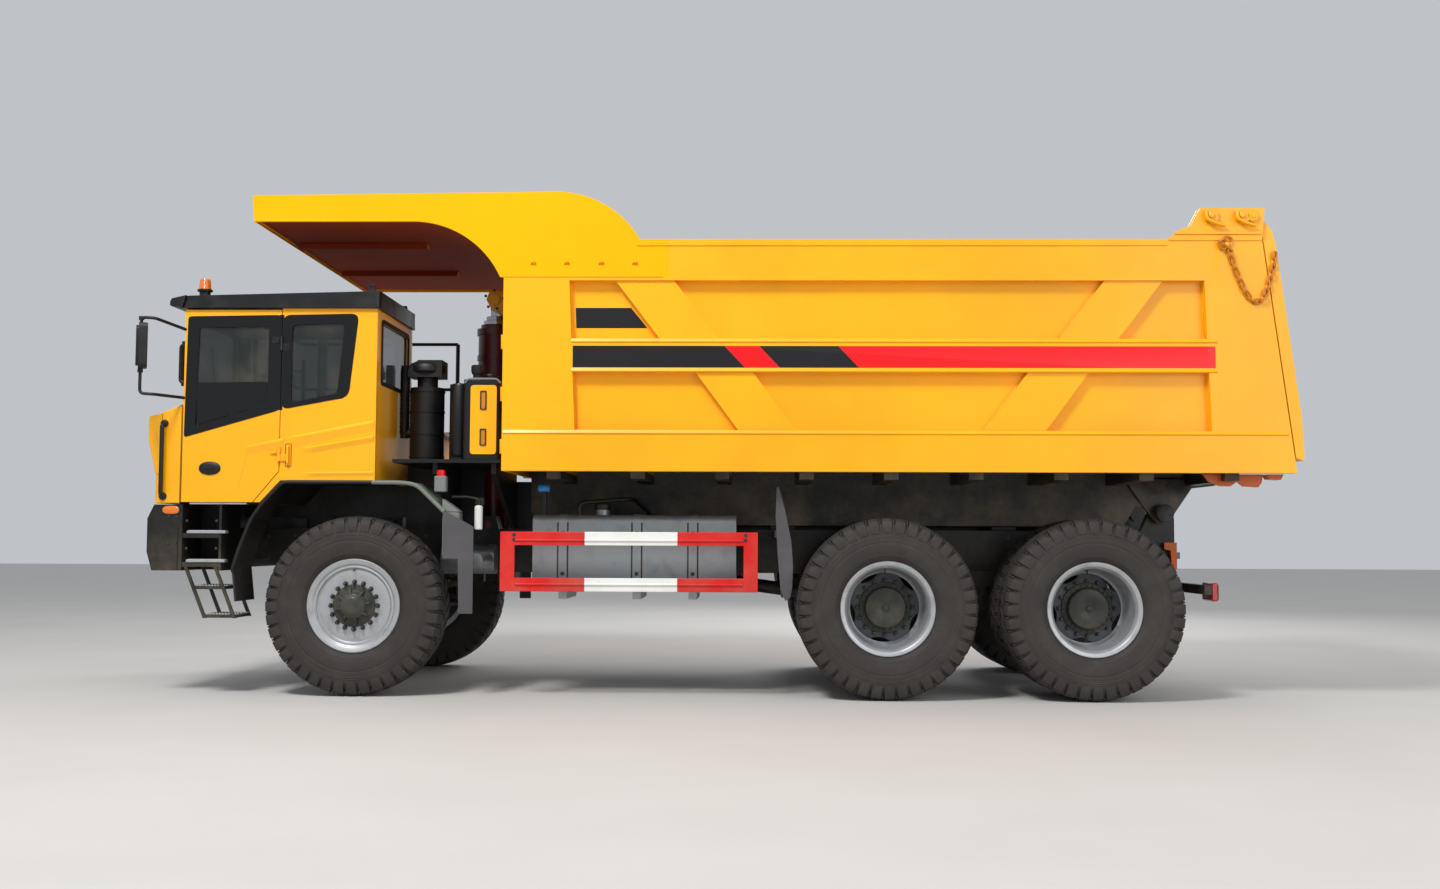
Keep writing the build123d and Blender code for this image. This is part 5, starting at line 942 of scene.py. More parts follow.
@dataclass(frozen=True)
class Plastic:
    """Moulded plastic or rubber trim with a leathery grain.

    Attributes:
        name: of the finish.
        hue: its colour.
        roughness: of its surface.
        grain: scale of the moulded grain.
    """

    name: str
    hue: Hue
    roughness: float = 0.5
    grain: float = 220.0

    def made(self) -> Material:
        """The finished material."""
        painter = Painter(self.name)
        base = light(self.hue.value)
        worn = tuple(min(1.0, v * 1.5 + 0.01) for v in base[:3]) + (1.0,)
        cloud = painter.ramp(painter.noise(4.0, 5.0), 0.45, 0.8)
        cells = painter.node(
            "ShaderNodeTexVoronoi", {"Vector": painter.place, "Scale": self.grain}, feature="SMOOTH_F1")
        painter.relief([(cells.outputs["Distance"], 0.35, 0.0007)])
        painter.set(Base_Color=painter.mix(painter.times(cloud, 0.6), base, worn),
                    Roughness=painter.math("ADD", self.roughness, painter.times(cloud, 0.2)))
        return painter.material


class Wardrobe:
    """Makes each finish once and hands out its material."""

    def __init__(self) -> None:
        """Starts with no materials."""
        self.made: dict[object, Material] = {}

    def of(self, finish: object) -> Material:
        """The material of a finish, made on first use."""
        if finish not in self.made:
            self.made[finish] = finish.made()
        return self.made[finish]


WARDROBE = Wardrobe()
YELLOW = Paint("body_yellow", Hue.YELLOW)
BLACK_PAINT = Paint("frame_black", Hue.FRAME, roughness=0.42, coat=0.15, dust=0.45, dust_top=1.9)
ROOF_BLACK = Plastic("roof_black", Hue.BLACK, 0.38, 160.0)
TRIM = Plastic("trim_black", Hue.BLACK)
SEAL = Rubber("window_seal", Hue.BLACK, 0.12, 90.0)
TYRE = Rubber("tyre_rubber")
FLAP = Rubber("flap_rubber", Hue.RUBBER, 0.5, 40.0)
SILVER = Metal("rim_silver", Hue.SILVER, 0.55, 0.34)
HUB_PAINT = Paint("hub_green_grey", Hue.HUB, 0.45, 0.1, 0.4, 1.6)
# Dark grey steel, darkened further as painted shade inside the deep dish.
DISH_GREY_AND_SHADE = Metal("dish_grey_and_painted_shade", Hue.DISH, 0.35, 0.5)
CHROME = Metal("hoist_chrome", Hue.SILVER, 1.0, 0.10, Grain.BRUSHED_Z, 0.0002)
MAROON = Paint("hoist_maroon", Hue.MAROON, 0.30, 0.3, 0.15)
TANK = Metal("tank_metal", Hue.TANK, 0.75, 0.36, Grain.BRUSHED_X)
FENDER = Plastic("fender_grey_green", Hue.FENDER, 0.55, 120.0)
FENDER_DARK = Plastic("fender_dark", Hue.DARK_GREY, 0.6, 120.0)
IRON = Metal("bare_iron", Hue.IRON, 0.6, 0.5)
NUT = Metal("wheel_nut", Hue.IRON, 0.8, 0.35)
DECK_PAINT = Paint("deck_grey", Hue.PLATE, 0.5, 0.1, 0.3)
GLASS = Glazing("cab_window")
AMBER = Lens("amber_lens", Hue.AMBER)
RED_LENS = Lens("red_lens", Hue.LENS_RED)
CLEAR_LENS = Lens("clear_lens", Hue.WHITE, 180.0)
MIRROR = Metal("mirror_face", Hue.WHITE, 1.0, 0.04)
SEAT_CLOTH = Plastic("seat_cloth", Hue.SEAT, 0.85, 420.0)
WHITE_PAINT = Paint("white_paint", Hue.CANISTER, 0.35, 0.2, 0.3)
BLUE_PLASTIC = Plastic("blue_cap", Hue.BLUE, 0.4)
RED_PAINT = Paint("guard_red", Hue.GUARD_RED, 0.34, 0.3, 0.3)
GLOSS = Paint("window_black", Hue.BLACK, 0.12, 0.3, 0.02, 2.0, 0.0001)
PALE_PLASTIC = Plastic("pale_plastic", Hue.CANISTER, 0.45)
TREAD_METAL = Metal("tread_metal", Hue.SILVER, 0.6, 0.40, Grain.BRUSHED_X)
CHAIN_YELLOW = Paint("chain_yellow", Hue.CHAIN, 0.45, 0.1, 0.2, 4.0)
# Painted shade: yellow brackets in shade, as orange.
BRACKET_SHADE_PAINT = Paint("bracket_yellow_painted_shade", Hue.YELLOW_SHADED_ORANGE, 0.45, 0.1, 0.4)
# Painted shade: yellow paint in shade, as a red-brown.
SHADE_BROWN_PAINT = Paint("canopy_painted_shade_brown", Hue.YELLOW_SHADED_BROWN, 0.7, 0.0, 0.1)

FAR = 9.0
WHOLE_LENGTH = (-FAR, FAR)
ANY_HEIGHT = (0.0, FAR)
CAB_COAT = (Hue.YELLOW, 0.28, 0.5, 0.25, 2.0)
CAB_YELLOW = Paint("cab_yellow", *CAB_COAT)
STRIPE_Z = (2.727, 2.908)
OUTER_FACE = (1.790, 1.900)
STRIPE_LEAN = 0.95
BODY_BANDS = (
    Band((-0.177, 1.165), STRIPE_Z, Hue.STRIPE_DARK, OUTER_FACE, (STRIPE_LEAN, 0.0)),
    Band((-0.464, -0.177), STRIPE_Z, Hue.STRIPE_RED, OUTER_FACE, (STRIPE_LEAN, STRIPE_LEAN)),
    Band((-1.117, -0.464), STRIPE_Z, Hue.STRIPE_DARK, OUTER_FACE, (STRIPE_LEAN, STRIPE_LEAN)),
    Band((-4.122, -1.117), STRIPE_Z, Hue.STRIPE_RED, OUTER_FACE, (0.0, STRIPE_LEAN)),
    Band((0.620, 1.157), (3.064, 3.236), Hue.STRIPE_DARK, (1.710, 1.730), (0.81, 0.0)),
)
BODY_YELLOW = BandedPaint("body_side_yellow", Hue.YELLOW, bands=BODY_BANDS)
# Painted shade: the body floor is black below 1.88 m and on its faces that don't look up, where the body's
# underside lies in shade.
FLOOR_YELLOW_SHADED = UndersideShadePaint("body_floor_yellow_painted_shade", Hue.YELLOW, dust=0.9, dust_top=3.0,
                             bands=(Band(WHOLE_LENGTH, (0.0, 1.880), Hue.FRAME),), below=Hue.FRAME, inner=FAR)
GUARD_WHITE = Band((0.294, 1.062), (0.0, 2.0), Hue.WHITE)
GUARD_PAINT = BandedPaint("guard_red_white", Hue.GUARD_RED, bands=(GUARD_WHITE,))
SIDE_YELLOW = BandedPaint("cab_side_yellow", *CAB_COAT,
                          bands=(Band(WHOLE_LENGTH, ANY_HEIGHT, Hue.BLACK, (0.0, 1.604)),
                                 Band((3.618, 3.658), (2.380, 3.186), Hue.BLACK),
                                 Band((3.500, 3.740), (2.840, 3.040), Hue.BLACK)))
HOOD_PAINT = BandedPaint("hood_yellow_black", Hue.YELLOW, bands=(Band(WHOLE_LENGTH, (0.0, 2.250), Hue.BLACK),))
RIGHT_YELLOW = BandedPaint("cab_right_yellow", *CAB_COAT,
                           bands=(Band(WHOLE_LENGTH, ANY_HEIGHT, Hue.BLACK, (0.396, FAR)),))
REAR_YELLOW = BandedPaint("cab_rear_yellow", Hue.YELLOW, 0.4, 0.1, 0.5, 2.4,
                          bands=(Band((2.876, FAR), ANY_HEIGHT, Hue.BLACK),))
FRONT_YELLOW = BandedPaint("cab_front_yellow", *CAB_COAT,
                           bands=(Band((-FAR, 4.419), ANY_HEIGHT, Hue.BLACK),))
DECK_FINISH = BandedPaint("deck_yellow_grey", Hue.YELLOW, 0.45, 0.2, 0.4, 2.6,
                          bands=(Band(WHOLE_LENGTH, (2.329, FAR), Hue.PLATE),))
FENDER_FINISH = BandedPaint("fender_black_grey", Hue.FENDER, 0.5, 0.1, 0.3, 2.0,
                            bands=(Band((2.85, FAR), ANY_HEIGHT, Hue.BLACK),))
# Painted shade: the canopy's underside and inner faces that don't look up take the shaded-yellow brown.
CANOPY_SHADED = UndersideShadePaint("canopy_yellow_painted_shade", Hue.YELLOW, 0.7, 0.0, inner=1.745, end=3.835,
                              top=4.010, shine=0.12)


# Pieces

SAME_POINT = 1e-6
SAME_CORNER = 2e-5
FLAT_ANGLE = math.radians(0.6)
FOLD_ANGLE = math.radians(24)


def enter(name: str, mesh: bpy.types.Mesh, finish: object, body: str,
          angle: float) -> bpy.types.Object:
    """Puts a mesh into the scene: shading, finish, slot and the body that it rides on.

    Args:
        name: the new object's name.
        mesh: its mesh.
        finish: its finish.
        body: the body it rides on.
        angle: in radians; flatter edges are shaded smooth.

    Returns:
        The new object.
    """
    mesh.shade_smooth()
    mesh.set_sharp_from_angle(angle=angle)
    mesh.materials.append(WARDROBE.of(finish))
    made = bpy.data.objects.new(name, mesh)
    bpy.context.scene.collection.objects.link(made)
    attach(made, body)
    return made


def piece(name: str, shape: Shape, finish: object, body: str = "chassis",
          smooth: float = 32.0) -> bpy.types.Object:
    """Makes a shape a finished piece of the truck.

    The points and faces go into the mesh as whole arrays, points that meet at a pole become one, and
    every face is turned outwards. Edges flatter than an angle are shaded smooth, the others stay sharp.

    Args:
        name: the piece's name.
        shape: its points and faces.
        finish: its finish.
        body: the body that it rides on.
        smooth: the angle in degrees.

    Returns:
        The new object.
    """
    mesh = bpy.data.meshes.new(name)
    sizes = np.concatenate([np.full(len(block), block.shape[1]) for block in shape.faces])
    corners = np.concatenate([block.reshape(-1) for block in shape.faces])
    mesh.vertices.add(len(shape.points))
    mesh.vertices.foreach_set("co", shape.points.astype(np.float32).reshape(-1))
    mesh.loops.add(len(corners))
    mesh.loops.foreach_set("vertex_index", corners.astype(np.int32))
    mesh.polygons.add(len(sizes))
    starts = np.concatenate([[0], np.cumsum(sizes)[:-1]])
    mesh.polygons.foreach_set("loop_start", starts.astype(np.int32))
    mesh.update(calc_edges=True)
    mesh.validate()
    form = bmesh.new()
    form.from_mesh(mesh)
    bmesh.ops.remove_doubles(form, verts=form.verts, dist=SAME_POINT)
    bmesh.ops.recalc_face_normals(form, faces=form.faces)
    form.to_mesh(mesh)
    form.free()
    LOG.info("%s: %d faces on %s", name, len(sizes), body)
    return enter(name, mesh, finish, body, math.radians(smooth))


def soften(node: str, finish: object, body: str, width: float) -> None:
    """Replaces a carried-over solid by a copy of it with folded edges.

    The solid is loose triangles, so its copy is merged, its flat faces are joined and a bevel then
    rounds each edge sharper than the fold angle.

    Args:
        node: the solid's name.
        finish: the finish.
        body: the body it rides on.
        width: of the bevel.
    """
    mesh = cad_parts[node].data.copy()
    mesh.name = node + "_folded"
    form = bmesh.new()
    form.from_mesh(mesh)
    bmesh.ops.remove_doubles(form, verts=form.verts, dist=SAME_CORNER)
    bmesh.ops.dissolve_limit(form, angle_limit=FLAT_ANGLE, verts=form.verts, edges=form.edges)
    form.to_mesh(mesh)
    form.free()
    mesh.materials.clear()
    made = enter(mesh.name, mesh, finish, body, FOLD_ANGLE)
    bevel = made.modifiers.new("folded edges", "BEVEL")
    bevel.width, bevel.segments, bevel.limit_method = width, 2, "ANGLE"
    bevel.angle_limit = FOLD_ANGLE
    bevel.use_clamp_overlap = True
    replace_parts(made, node)
    LOG.info("%s: %d folded faces", node, len(mesh.polygons))


def dress(node: str, finish: object) -> None:
    """Gives a carried-over solid its finish."""
    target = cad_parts[node]
    if not target.material_slots:
        target.data.materials.append(None)
    for holder in target.material_slots:
        holder.material = WARDROBE.of(finish)
    LOG.info("%s: dressed in %s", node, finish.name)


# Wheels and tyres

class Station(Enum):
    """Where a wheel set stands: its place along the truck."""

    FRONT = 3.0
    FORWARD = -1.44
    AFT = -3.13


@dataclass
class Tyre:
    """A block-tread tyre built about its own middle, with its axle along +Y.

    Attributes:
        radius: over the tread blocks.
        pitches: tread blocks round each row.
        groove: depth between the blocks.
        chamfer: of the blocks' upper edges.
    """

    radius: float = 0.7472
    pitches: int = 40
    groove: float = 0.028
    chamfer: float = 0.006

    def carcass(self) -> Shape:
        """The casing: a smooth section from bead over shoulder to bead, turned round the axle.

        Half of the section is a curve through given places. The sidewall gets a ring near the bead,
        0.0035 sin(pi (r - 0.418) / 0.03), fine rings near the shoulder, 0.0030 (1 + cos(2 pi (r - 0.612)
        / 0.015)) / 2, and a shallow groove between them. The other half is the mirror image.

        Returns:
            The casing.
        """
        knots_r = np.array([0.372, 0.392, 0.415, 0.455, 0.51, 0.57, 0.62, 0.66, 0.692, 0.708, 0.716, 0.7192])
        knots_y = np.array(
            [0.146, 0.158, 0.183, 0.203, 0.2125, 0.2140, 0.2105, 0.2035, 0.190, 0.168, 0.110, 0.0])
        way = np.concatenate([[0], np.cumsum(np.hypot(np.diff(knots_r), np.diff(knots_y)))])
        t = np.linspace(0, way[-1], 74)
        r, y = np.interp(t, way, knots_r), np.interp(t, way, knots_y)
        kernel = np.ones(5) / 5
        r[2:-2], y[2:-2] = np.convolve(r, kernel, "valid"), np.convolve(y, kernel, "valid")
        rings = np.clip(np.sin((r - 0.418) * np.pi / 0.03), 0, 1) * (np.abs(r - 0.433) < 0.015)
        outer = (np.abs(r - 0.612) < 0.030) * (0.5 + 0.5 * np.cos((r - 0.612) * 2 * np.pi / 0.0150))
        band = (np.abs(r - 0.545) < 0.004) * 1.0
        y = y + 0.0035 * rings * (y > 0.1) + 0.0030 * outer * (y > 0.1) - 0.0030 * band * (y > 0.1)
        section = np.vstack([np.stack([-y, r], -1), np.stack([y[-2::-1], r[-2::-1]], -1), [(-y[0], r[0])]])
        return turned(section, (0, 0, 0), 96)

    def block(self, places: Array, outer: Array, angle: float, width: float, slant: float,
              twist: float) -> Shape:
        """One tread block: a six-sided section carried across the tread along the crown's profile.

        At each place across the tread the section's corners stand at the outer radius and at the
        groove's floor, at angles low and high about the block's middle, with the two upper edges
        chamfered. The middle moves by slant times the place and by twist times its square.

        Args:
            places: distances across the tread, in order.
            outer: the outer radius at each place.
            angle: of the block's middle, in radians.
            width: of the block round the tyre, in radians.
            slant: angle for each metre across.
            twist: angle for each square metre across.

        Returns:
            A closed shape.
        """
        middle = angle + slant * (places - places[0]) + twist * (places - places[0]) ** 2
        half, inset, shoulder = width / 2, self.chamfer / self.radius, outer - self.chamfer
        floor = outer - self.groove - self.chamfer
        angles = middle[:, None] + np.array([-half, -half, -half + inset, half - inset, half, half])[None]
        radii = np.stack([floor, shoulder, outer, outer, shoulder, floor], -1)
        points = np.stack([radii * np.sin(angles), np.repeat(places[:, None], 6, 1),
                           radii * np.cos(angles)], -1)
        count = len(places)
        ends = np.stack([np.arange(6)[::-1], np.arange(6) + (count - 1) * 6])
        return Shape(points.reshape(-1, 3), [grid_faces(count, 6, close_columns=True), ends])

    def tread(self) -> Shape:
        """Four rows of blocks, the outer rows wrapped over the shoulders.

        Returns:
            All the blocks, copied round the tyre at the pitch angle.
        """
        pitch = 2 * np.pi / self.pitches
        top = self.radius
        shoulder_y = np.array([0.098, 0.140, 0.180, 0.202, 0.2125, 0.2165])
        shoulder_r = np.array([top - 0.0015, top - 0.004, top - 0.012, top - 0.030, top - 0.058, top - 0.088])
        middle_y = np.array([0.006, 0.045, 0.088])
        middle_r = np.array([top, top - 0.0004, top - 0.001])
        slant, twist = 0.35, -2.2
        one = joined(
            self.block(shoulder_y, shoulder_r, 0.0, pitch * 0.74, slant, twist),
            self.block(shoulder_y[:3], shoulder_r[:3] - 0.004, pitch * 0.5, pitch * 0.16, slant, twist),
            self.block(middle_y, middle_r, pitch * 0.45, pitch * 0.76, 0.9, 0.0))
        one.add(one.mirrored().placed(along_y(np.array([pitch * 0.5]))[0], np.zeros(3)))
        return one.repeated(along_y(np.arange(self.pitches) * pitch), np.zeros((self.pitches, 3)))

    def shape(self) -> Shape:
        """The whole tyre about its own middle."""
        return self.carcass().add(self.tread())


RIM_BACK = ((-0.172, 0.345), (-0.172, 0.390), (-0.160, 0.392), (-0.152, 0.386), (-0.150, 0.371),
            (0.150, 0.371), (0.152, 0.386))


@dataclass
class Wheel:
    """A wheel set at one end of an axle: one tyre in front, twin tyres behind.

    Attributes:
        name: words that its pieces' names end in.
        body: the body it rides on.
        station: which axle.
        side: 1 on the left and -1 on the right.
        tyre_y: distance of the outer tyre's middle from the truck's middle.
        spacing: from the outer to the inner tyre's middle, or 0 for one tyre.
        axle_z: height of the axle.
        studs: wheel nuts round the rim.
        stud_circle: radius of a front wheel's nuts.
    """

    name: str
    body: str
    station: Station
    side: int
    tyre_y: float
    spacing: float = 0.0
    axle_z: float = 0.7475
    studs: int = 16
    stud_circle: float = 0.1965

    def place(self, shape: Shape) -> Shape:
        """A left-hand shape about the tyre's middle, set at this wheel's place."""
        shape = shape.moved((0.0, self.tyre_y, 0.0))
        if self.side < 0:
            shape = shape.mirrored()
        return shape.moved((self.station.value, 0.0, self.axle_z))

    def on_circle(self, count: int, circle: float, y: float, turn: float = 0.0) -> tuple[Array, Array]:
        """Angles and places that stand evenly on a circle about the axle."""
        angles = np.arange(count) * 2 * np.pi / count + turn
        return angles, places_at(circle * np.cos(angles), y, circle * np.sin(angles))

    def round_bolts(self, count: int, circle: float, y: float, radius: float, height: float,
                    turn: float = 0.0) -> Shape:
        """Bolt heads on a circle about the axle, standing outwards."""
        angles, places = self.on_circle(count, circle, y, turn)
        return bolt_head(radius, height).repeated(along_y(-angles), places)

    def rubber(self) -> None:
        """Makes the tyres in place of the plain solids."""
        tyre = Tyre().shape()
        both = self.place(tyre)
        node = "tyre_front" if not self.spacing else "tyres_" + self.station.name.lower()
        if self.spacing:
            both.add(self.place(tyre.moved((0.0, -self.spacing, 0.0))))
        made = piece("tyre_" + self.name, both, TYRE, self.body, smooth=28.0)
        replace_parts(made, f"{node}_{'left' if self.side > 0 else 'right'}")

    def front_rim(self) -> Shape:
        """The front wheel: flange, gutter, lock ring and a shallow disc.

        Returns:
            A turned form with its section given from the back edge round the front to the hub hole.
        """
        section = np.array([
            *RIM_BACK, (0.158, 0.3915), (0.167, 0.3915), (0.172, 0.386), (0.171, 0.374), (0.164, 0.362),
            (0.163, 0.352), (0.158, 0.345), (0.151, 0.341), (0.147, 0.332), (0.150, 0.326), (0.149, 0.318),
            (0.136, 0.310), (0.130, 0.302), (0.133, 0.292), (0.134, 0.270), (0.132, 0.225), (0.131, 0.162),
            (0.126, 0.159), (0.100, 0.159), (0.100, 0.290), (0.080, 0.345), (-0.172, 0.345),
        ])
        return turned(section, (0, 0, 0), 96)

    def rear_rim(self) -> Shape:
        """The twin wheels' two rims.

        Returns:
            Turned forms for the outer and the inner rim.
        """
        outer = np.array([*RIM_BACK, (0.158, 0.3915), (0.166, 0.3920), (0.172, 0.387), (0.172, 0.376),
                          (0.166, 0.366), (0.165, 0.358), (0.158, 0.351), (0.146, 0.347), (0.138, 0.338),
                          (0.120, 0.334), (-0.080, 0.331), (-0.135, 0.322), (-0.160, 0.306), (-0.167, 0.290),
                          (-0.178, 0.290), (-0.178, 0.330), (-0.172, 0.345)])
        inner = [*RIM_BACK, (0.160, 0.392), (0.172, 0.388), (0.172, 0.345), (-0.172, 0.345)]
        return turned(outer, (0, 0, 0), 96).add(turned(inner, (0, -self.spacing, 0), 64))

    def dish(self) -> Shape:
        """The rear disc, whose outer edge is scalloped into hand holes.

        Point (i, k) lies at angle t_k and at radius 0.16 + u_i (R(t_k) - 0.16), with u from 0 to 1 and
        R = 0.300 - 0.048 s^0.6, where s = max(0, cos(5t + 0.9)) makes five scallops. The same points a
        plate's thickness behind close the form.

        Returns:
            A closed ring.
        """
        t = np.linspace(0, 2 * np.pi, 160, endpoint=False)
        edge = 0.300 - 0.048 * np.clip(np.cos(5 * t + 0.9), 0, 1) ** 0.6
        u = np.array([0.0, 0.25, 0.5, 0.75, 0.95, 1.0])
        depth = np.array([-0.150, -0.150, -0.151, -0.156, -0.166, -0.170])
        radius = 0.16 + u[:, None] * (edge[None] - 0.16)
        front = np.stack([radius * np.cos(t), np.repeat(depth[:, None], len(t), 1), radius * np.sin(t)], -1)
        back = front[::-1] - (0.0, 0.020, 0.0)
        points = np.concatenate([front, back])
        return Shape(points.reshape(-1, 3), [grid_faces(len(points), len(t), True, True)])

    def front_hub(self) -> Shape:
        """The front hub: a dark ring with ribs round a domed cap."""
        body = turned([(-0.145, 0.262), (-0.062, 0.262), (-0.060, 0.159), (0.130, 0.159), (0.131, 0.178),
                       (0.140, 0.178), (0.146, 0.162), (0.146, 0.130), (0.152, 0.118), (0.190, 0.104),
                       (0.196, 0.098), (0.206, 0.098), (0.210, 0.092), (0.214, 0.086), (0.224, 0.080),
                       (0.231, 0.060), (0.234, 0.030), (0.235, 0.0)], (0, 0, 0), 64)
        rib = plate(
            [(0.146, 0.098), (0.1465, 0.158), (0.165, 0.150), (0.196, 0.108), (0.196, 0.098)], 0, -0.008, 0.008)
        angles = np.arange(8) * np.pi / 4 + 0.2
        body.add(rib.repeated(along_y(angles), np.zeros((8, 3))))
        return body.add(self.round_bolts(8, 0.134, 0.146, 0.009, 0.012, 0.59))

    def rear_hub(self) -> Shape:
        """The rear hub: a broad drum cap in the dish with a flange of small bolts."""
        body = turned([(-0.560, 0.270), (-0.330, 0.270), (-0.330, 0.204), (-0.150, 0.204), (-0.149, 0.214),
                       (-0.120, 0.214), (-0.116, 0.206), (-0.116, 0.176), (-0.100, 0.172), (-0.066, 0.169),
                       (-0.056, 0.164), (-0.052, 0.154), (-0.052, 0.060), (-0.056, 0.052), (-0.056, 0.026),
                       (-0.046, 0.022), (-0.044, 0.012)], (0, 0, 0), 64)
        body.add(self.round_bolts(24, 0.190, -0.117, 0.0085, 0.014))
        return body.add(self.round_bolts(18, 0.160, -0.054, 0.0055, 0.006, 0.1))

    def metal(self) -> None:
        """Makes rim, dish, hub, nuts and valve in place of the plain solid."""
        twin = bool(self.spacing)
        end = "left" if self.side > 0 else "right"
        node = f"wheel_{self.station.name.lower()}_{end}"
        rim = self.rear_rim() if twin else self.front_rim()
        if twin:
            piece("dish_" + self.name, self.place(self.dish()), DISH_GREY_AND_SHADE, self.body, smooth=40.0)
        made = piece("rim_" + self.name, self.place(rim), SILVER, self.body, smooth=40.0)
        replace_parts(made, node)
        hub = self.rear_hub() if twin else self.front_hub()
        piece("hub_" + self.name, self.place(hub), HUB_PAINT, self.body, smooth=40.0)
        face = -0.150 if twin else 0.132
        circle = 0.232 if twin else self.stud_circle
        nuts = self.round_bolts(self.studs, circle, face, 0.0165, 0.030)
        studs = turned([(0.0, 0.010), (0.046, 0.010), (0.048, 0.007)], (0, 0, 0), 12)
        _, places = self.on_circle(self.studs, circle, face)
        nuts.add(studs.copied(places))
        nuts.add(pipe([(0.0, face, 0.318 if twin else 0.300), (0.0, face + 0.03, 0.318 if twin else 0.300),
                       (0.0, face + 0.045, 0.290)], 0.012, 0.006, 8))
        piece("nuts_" + self.name, self.place(nuts), NUT, self.body, 40.0)

    def build(self) -> None:
        """Makes the whole wheel set."""
        self.rubber()
        self.metal()


def wheel_sets() -> list[Wheel]:
    """The six wheel sets of the truck."""
    sets = []
    for side, end in ((1, "left"), (-1, "right")):
        sets.append(Wheel(f"front_{end}", f"front_wheel_{end}", Station.FRONT, side, 1.445))
        sets.append(Wheel(f"forward_{end}", f"forward_wheels_{end}", Station.FORWARD, side, 1.56, 0.48))
        sets.append(Wheel(f"aft_{end}", f"aft_wheels_{end}", Station.AFT, side, 1.56, 0.48))
    return sets


# Cab

@dataclass
class Cab:
    """The cab's trim: window borders, seals, pressed ridges, handles, roof parts and what shows inside.

    Attributes:
        side_y: the cab's left face.
        far_y: its right face.
        front_x: its front face.
        rear_x: its rear face.
    """

    side_y: float = 1.650
    far_y: float = 0.350
    front_x: float = 4.465
    rear_x: float = 2.830

    def window_border(self, clear: list[Pair], edge: list[Pair], radius: float) -> Shape:
        """A black border on the outside of a side window.

        Args:
            clear: corners of the clear opening, as (x, z).
            edge: corners of the border's outer edge.
            radius: of the outer corners.

        Returns:
            A thin frame on the cab's side.
        """
        return collar(rounded_outline(edge, radius), rounded_outline(clear, radius * 0.6), 1,
                      self.side_y - 0.001, self.side_y + 0.0035)

    def door_windows(self) -> None:
        """Borders of the door's and the quarter window, the door's dark panel and a slim cover."""
        door = self.window_border([(4.335, 3.075), (3.745, 3.085), (3.745, 2.425), (4.352, 2.245)],
                                  [(4.432, 3.172), (3.648, 3.184), (3.648, 2.378), (4.446, 2.148)], 0.03)
        door.add(plate([(4.340, 2.255), (4.352, 2.610), (3.755, 2.620), (3.755, 2.432)], 1, self.side_y - 0.003,
                       self.side_y + 0.001))
        piece("door_window_border", door, GLOSS, "door")
        quarter = self.window_border([(3.548, 3.100), (3.105, 3.112), (3.160, 2.520), (3.548, 2.446)],
                                     [(3.628, 3.184), (2.985, 3.196), (3.062, 2.492), (3.628, 2.384)], 0.07)
        cover = self.window_border(rectangle(3.600, 3.575, 2.990, 2.810),
                                   rectangle(3.608, 3.567, 3.000, 2.800), 0.008)
        quarter.add(cover.moved((0, 0.004, 0)))
        piece("quarter_window_border", quarter, GLOSS)

    def other_windows(self) -> None:
        """Rubber seals of the windscreen, rear and right-hand windows."""
        screen = [(0.425, 2.210), (1.535, 2.210), (1.510, 3.150), (0.450, 3.150)]
        wide_screen = [(0.385, 2.170), (1.575, 2.170), (1.550, 3.190), (0.410, 3.190)]
        right = [(4.340, 3.150), (2.980, 3.150), (2.980, 2.470), (4.340, 2.320)]
        wide_right = [(4.385, 3.190), (2.940, 3.190), (2.940, 2.430), (4.385, 2.275)]
        windows = (
            (wide_screen, screen, 0.09, 0, self.front_x - 0.002, self.front_x + 0.008),
            (rectangle(0.498, 1.512, 2.608, 3.172), rectangle(0.530, 1.480, 2.640, 3.140), 0.06, 0,
             self.rear_x - 0.010, self.rear_x + 0.002),
            (wide_right, right, 0.08, 1, self.far_y - 0.008, self.far_y + 0.002),
        )
        seals = Shape()
        for wide, clear, radius, axis, low, high in windows:
            seals.add(
                collar(rounded_outline(wide, radius), rounded_outline(clear, radius - 0.01), axis, low, high))
        seals.add(box((3.62, 3.70), (self.far_y - 0.004, self.far_y + 0.040), (2.40, 3.15)))
        piece("window_seals", seals, SEAL)

    def swage(self, body: str, name: str, line: list[Pair], height: float, depth: float) -> None:
        """A pressed ridge on the cab's side: a raised strip with sloping flanks that fades at its front.

        Along the strip the ridge's depth follows min(1, 6u) of its share u of the length, and
        across it a long slope (w + 1) / 1.55 from below and a steep one (1 - w) / 0.45 from above.

        Args:
            body: that carries it.
            name: the piece's name.
            line: (x, z) of the middle at its two ends.
            height: width of the strip.
            depth: how far it stands out.
        """
        u = np.linspace(0, 1, 40)[:, None]
        w = np.linspace(-1, 1, 15)[None]
        start, end = np.array(line[0]), np.array(line[1])
        middle = start + (end - start) * u
        hill = np.minimum((w + 1) / 1.55, (1 - w) / 0.45)
        rise = np.clip(6 * u, 0, 1) * hill * depth
        x = np.repeat(middle[:, :1], w.shape[1], 1)
        z = middle[:, 1:] + w * height / 2
        front = np.stack([x, self.side_y + 0.0002 + rise, z], -1)
        back = np.stack([x, np.full_like(x, self.side_y - 0.004), z], -1)
        sheet = np.concatenate([front, back[:, ::-1]], axis=1)
        rows, count = sheet.shape[:2]
        faces = grid_faces(rows, count, close_columns=True)
        caps = np.stack([np.arange(count)[::-1], np.arange(count) + (rows - 1) * count])
        shape = Shape(sheet.reshape(-1, 3), [faces[:, ::-1], caps[:, ::-1]])
        piece(name, shape, CAB_YELLOW, body, smooth=60.0)

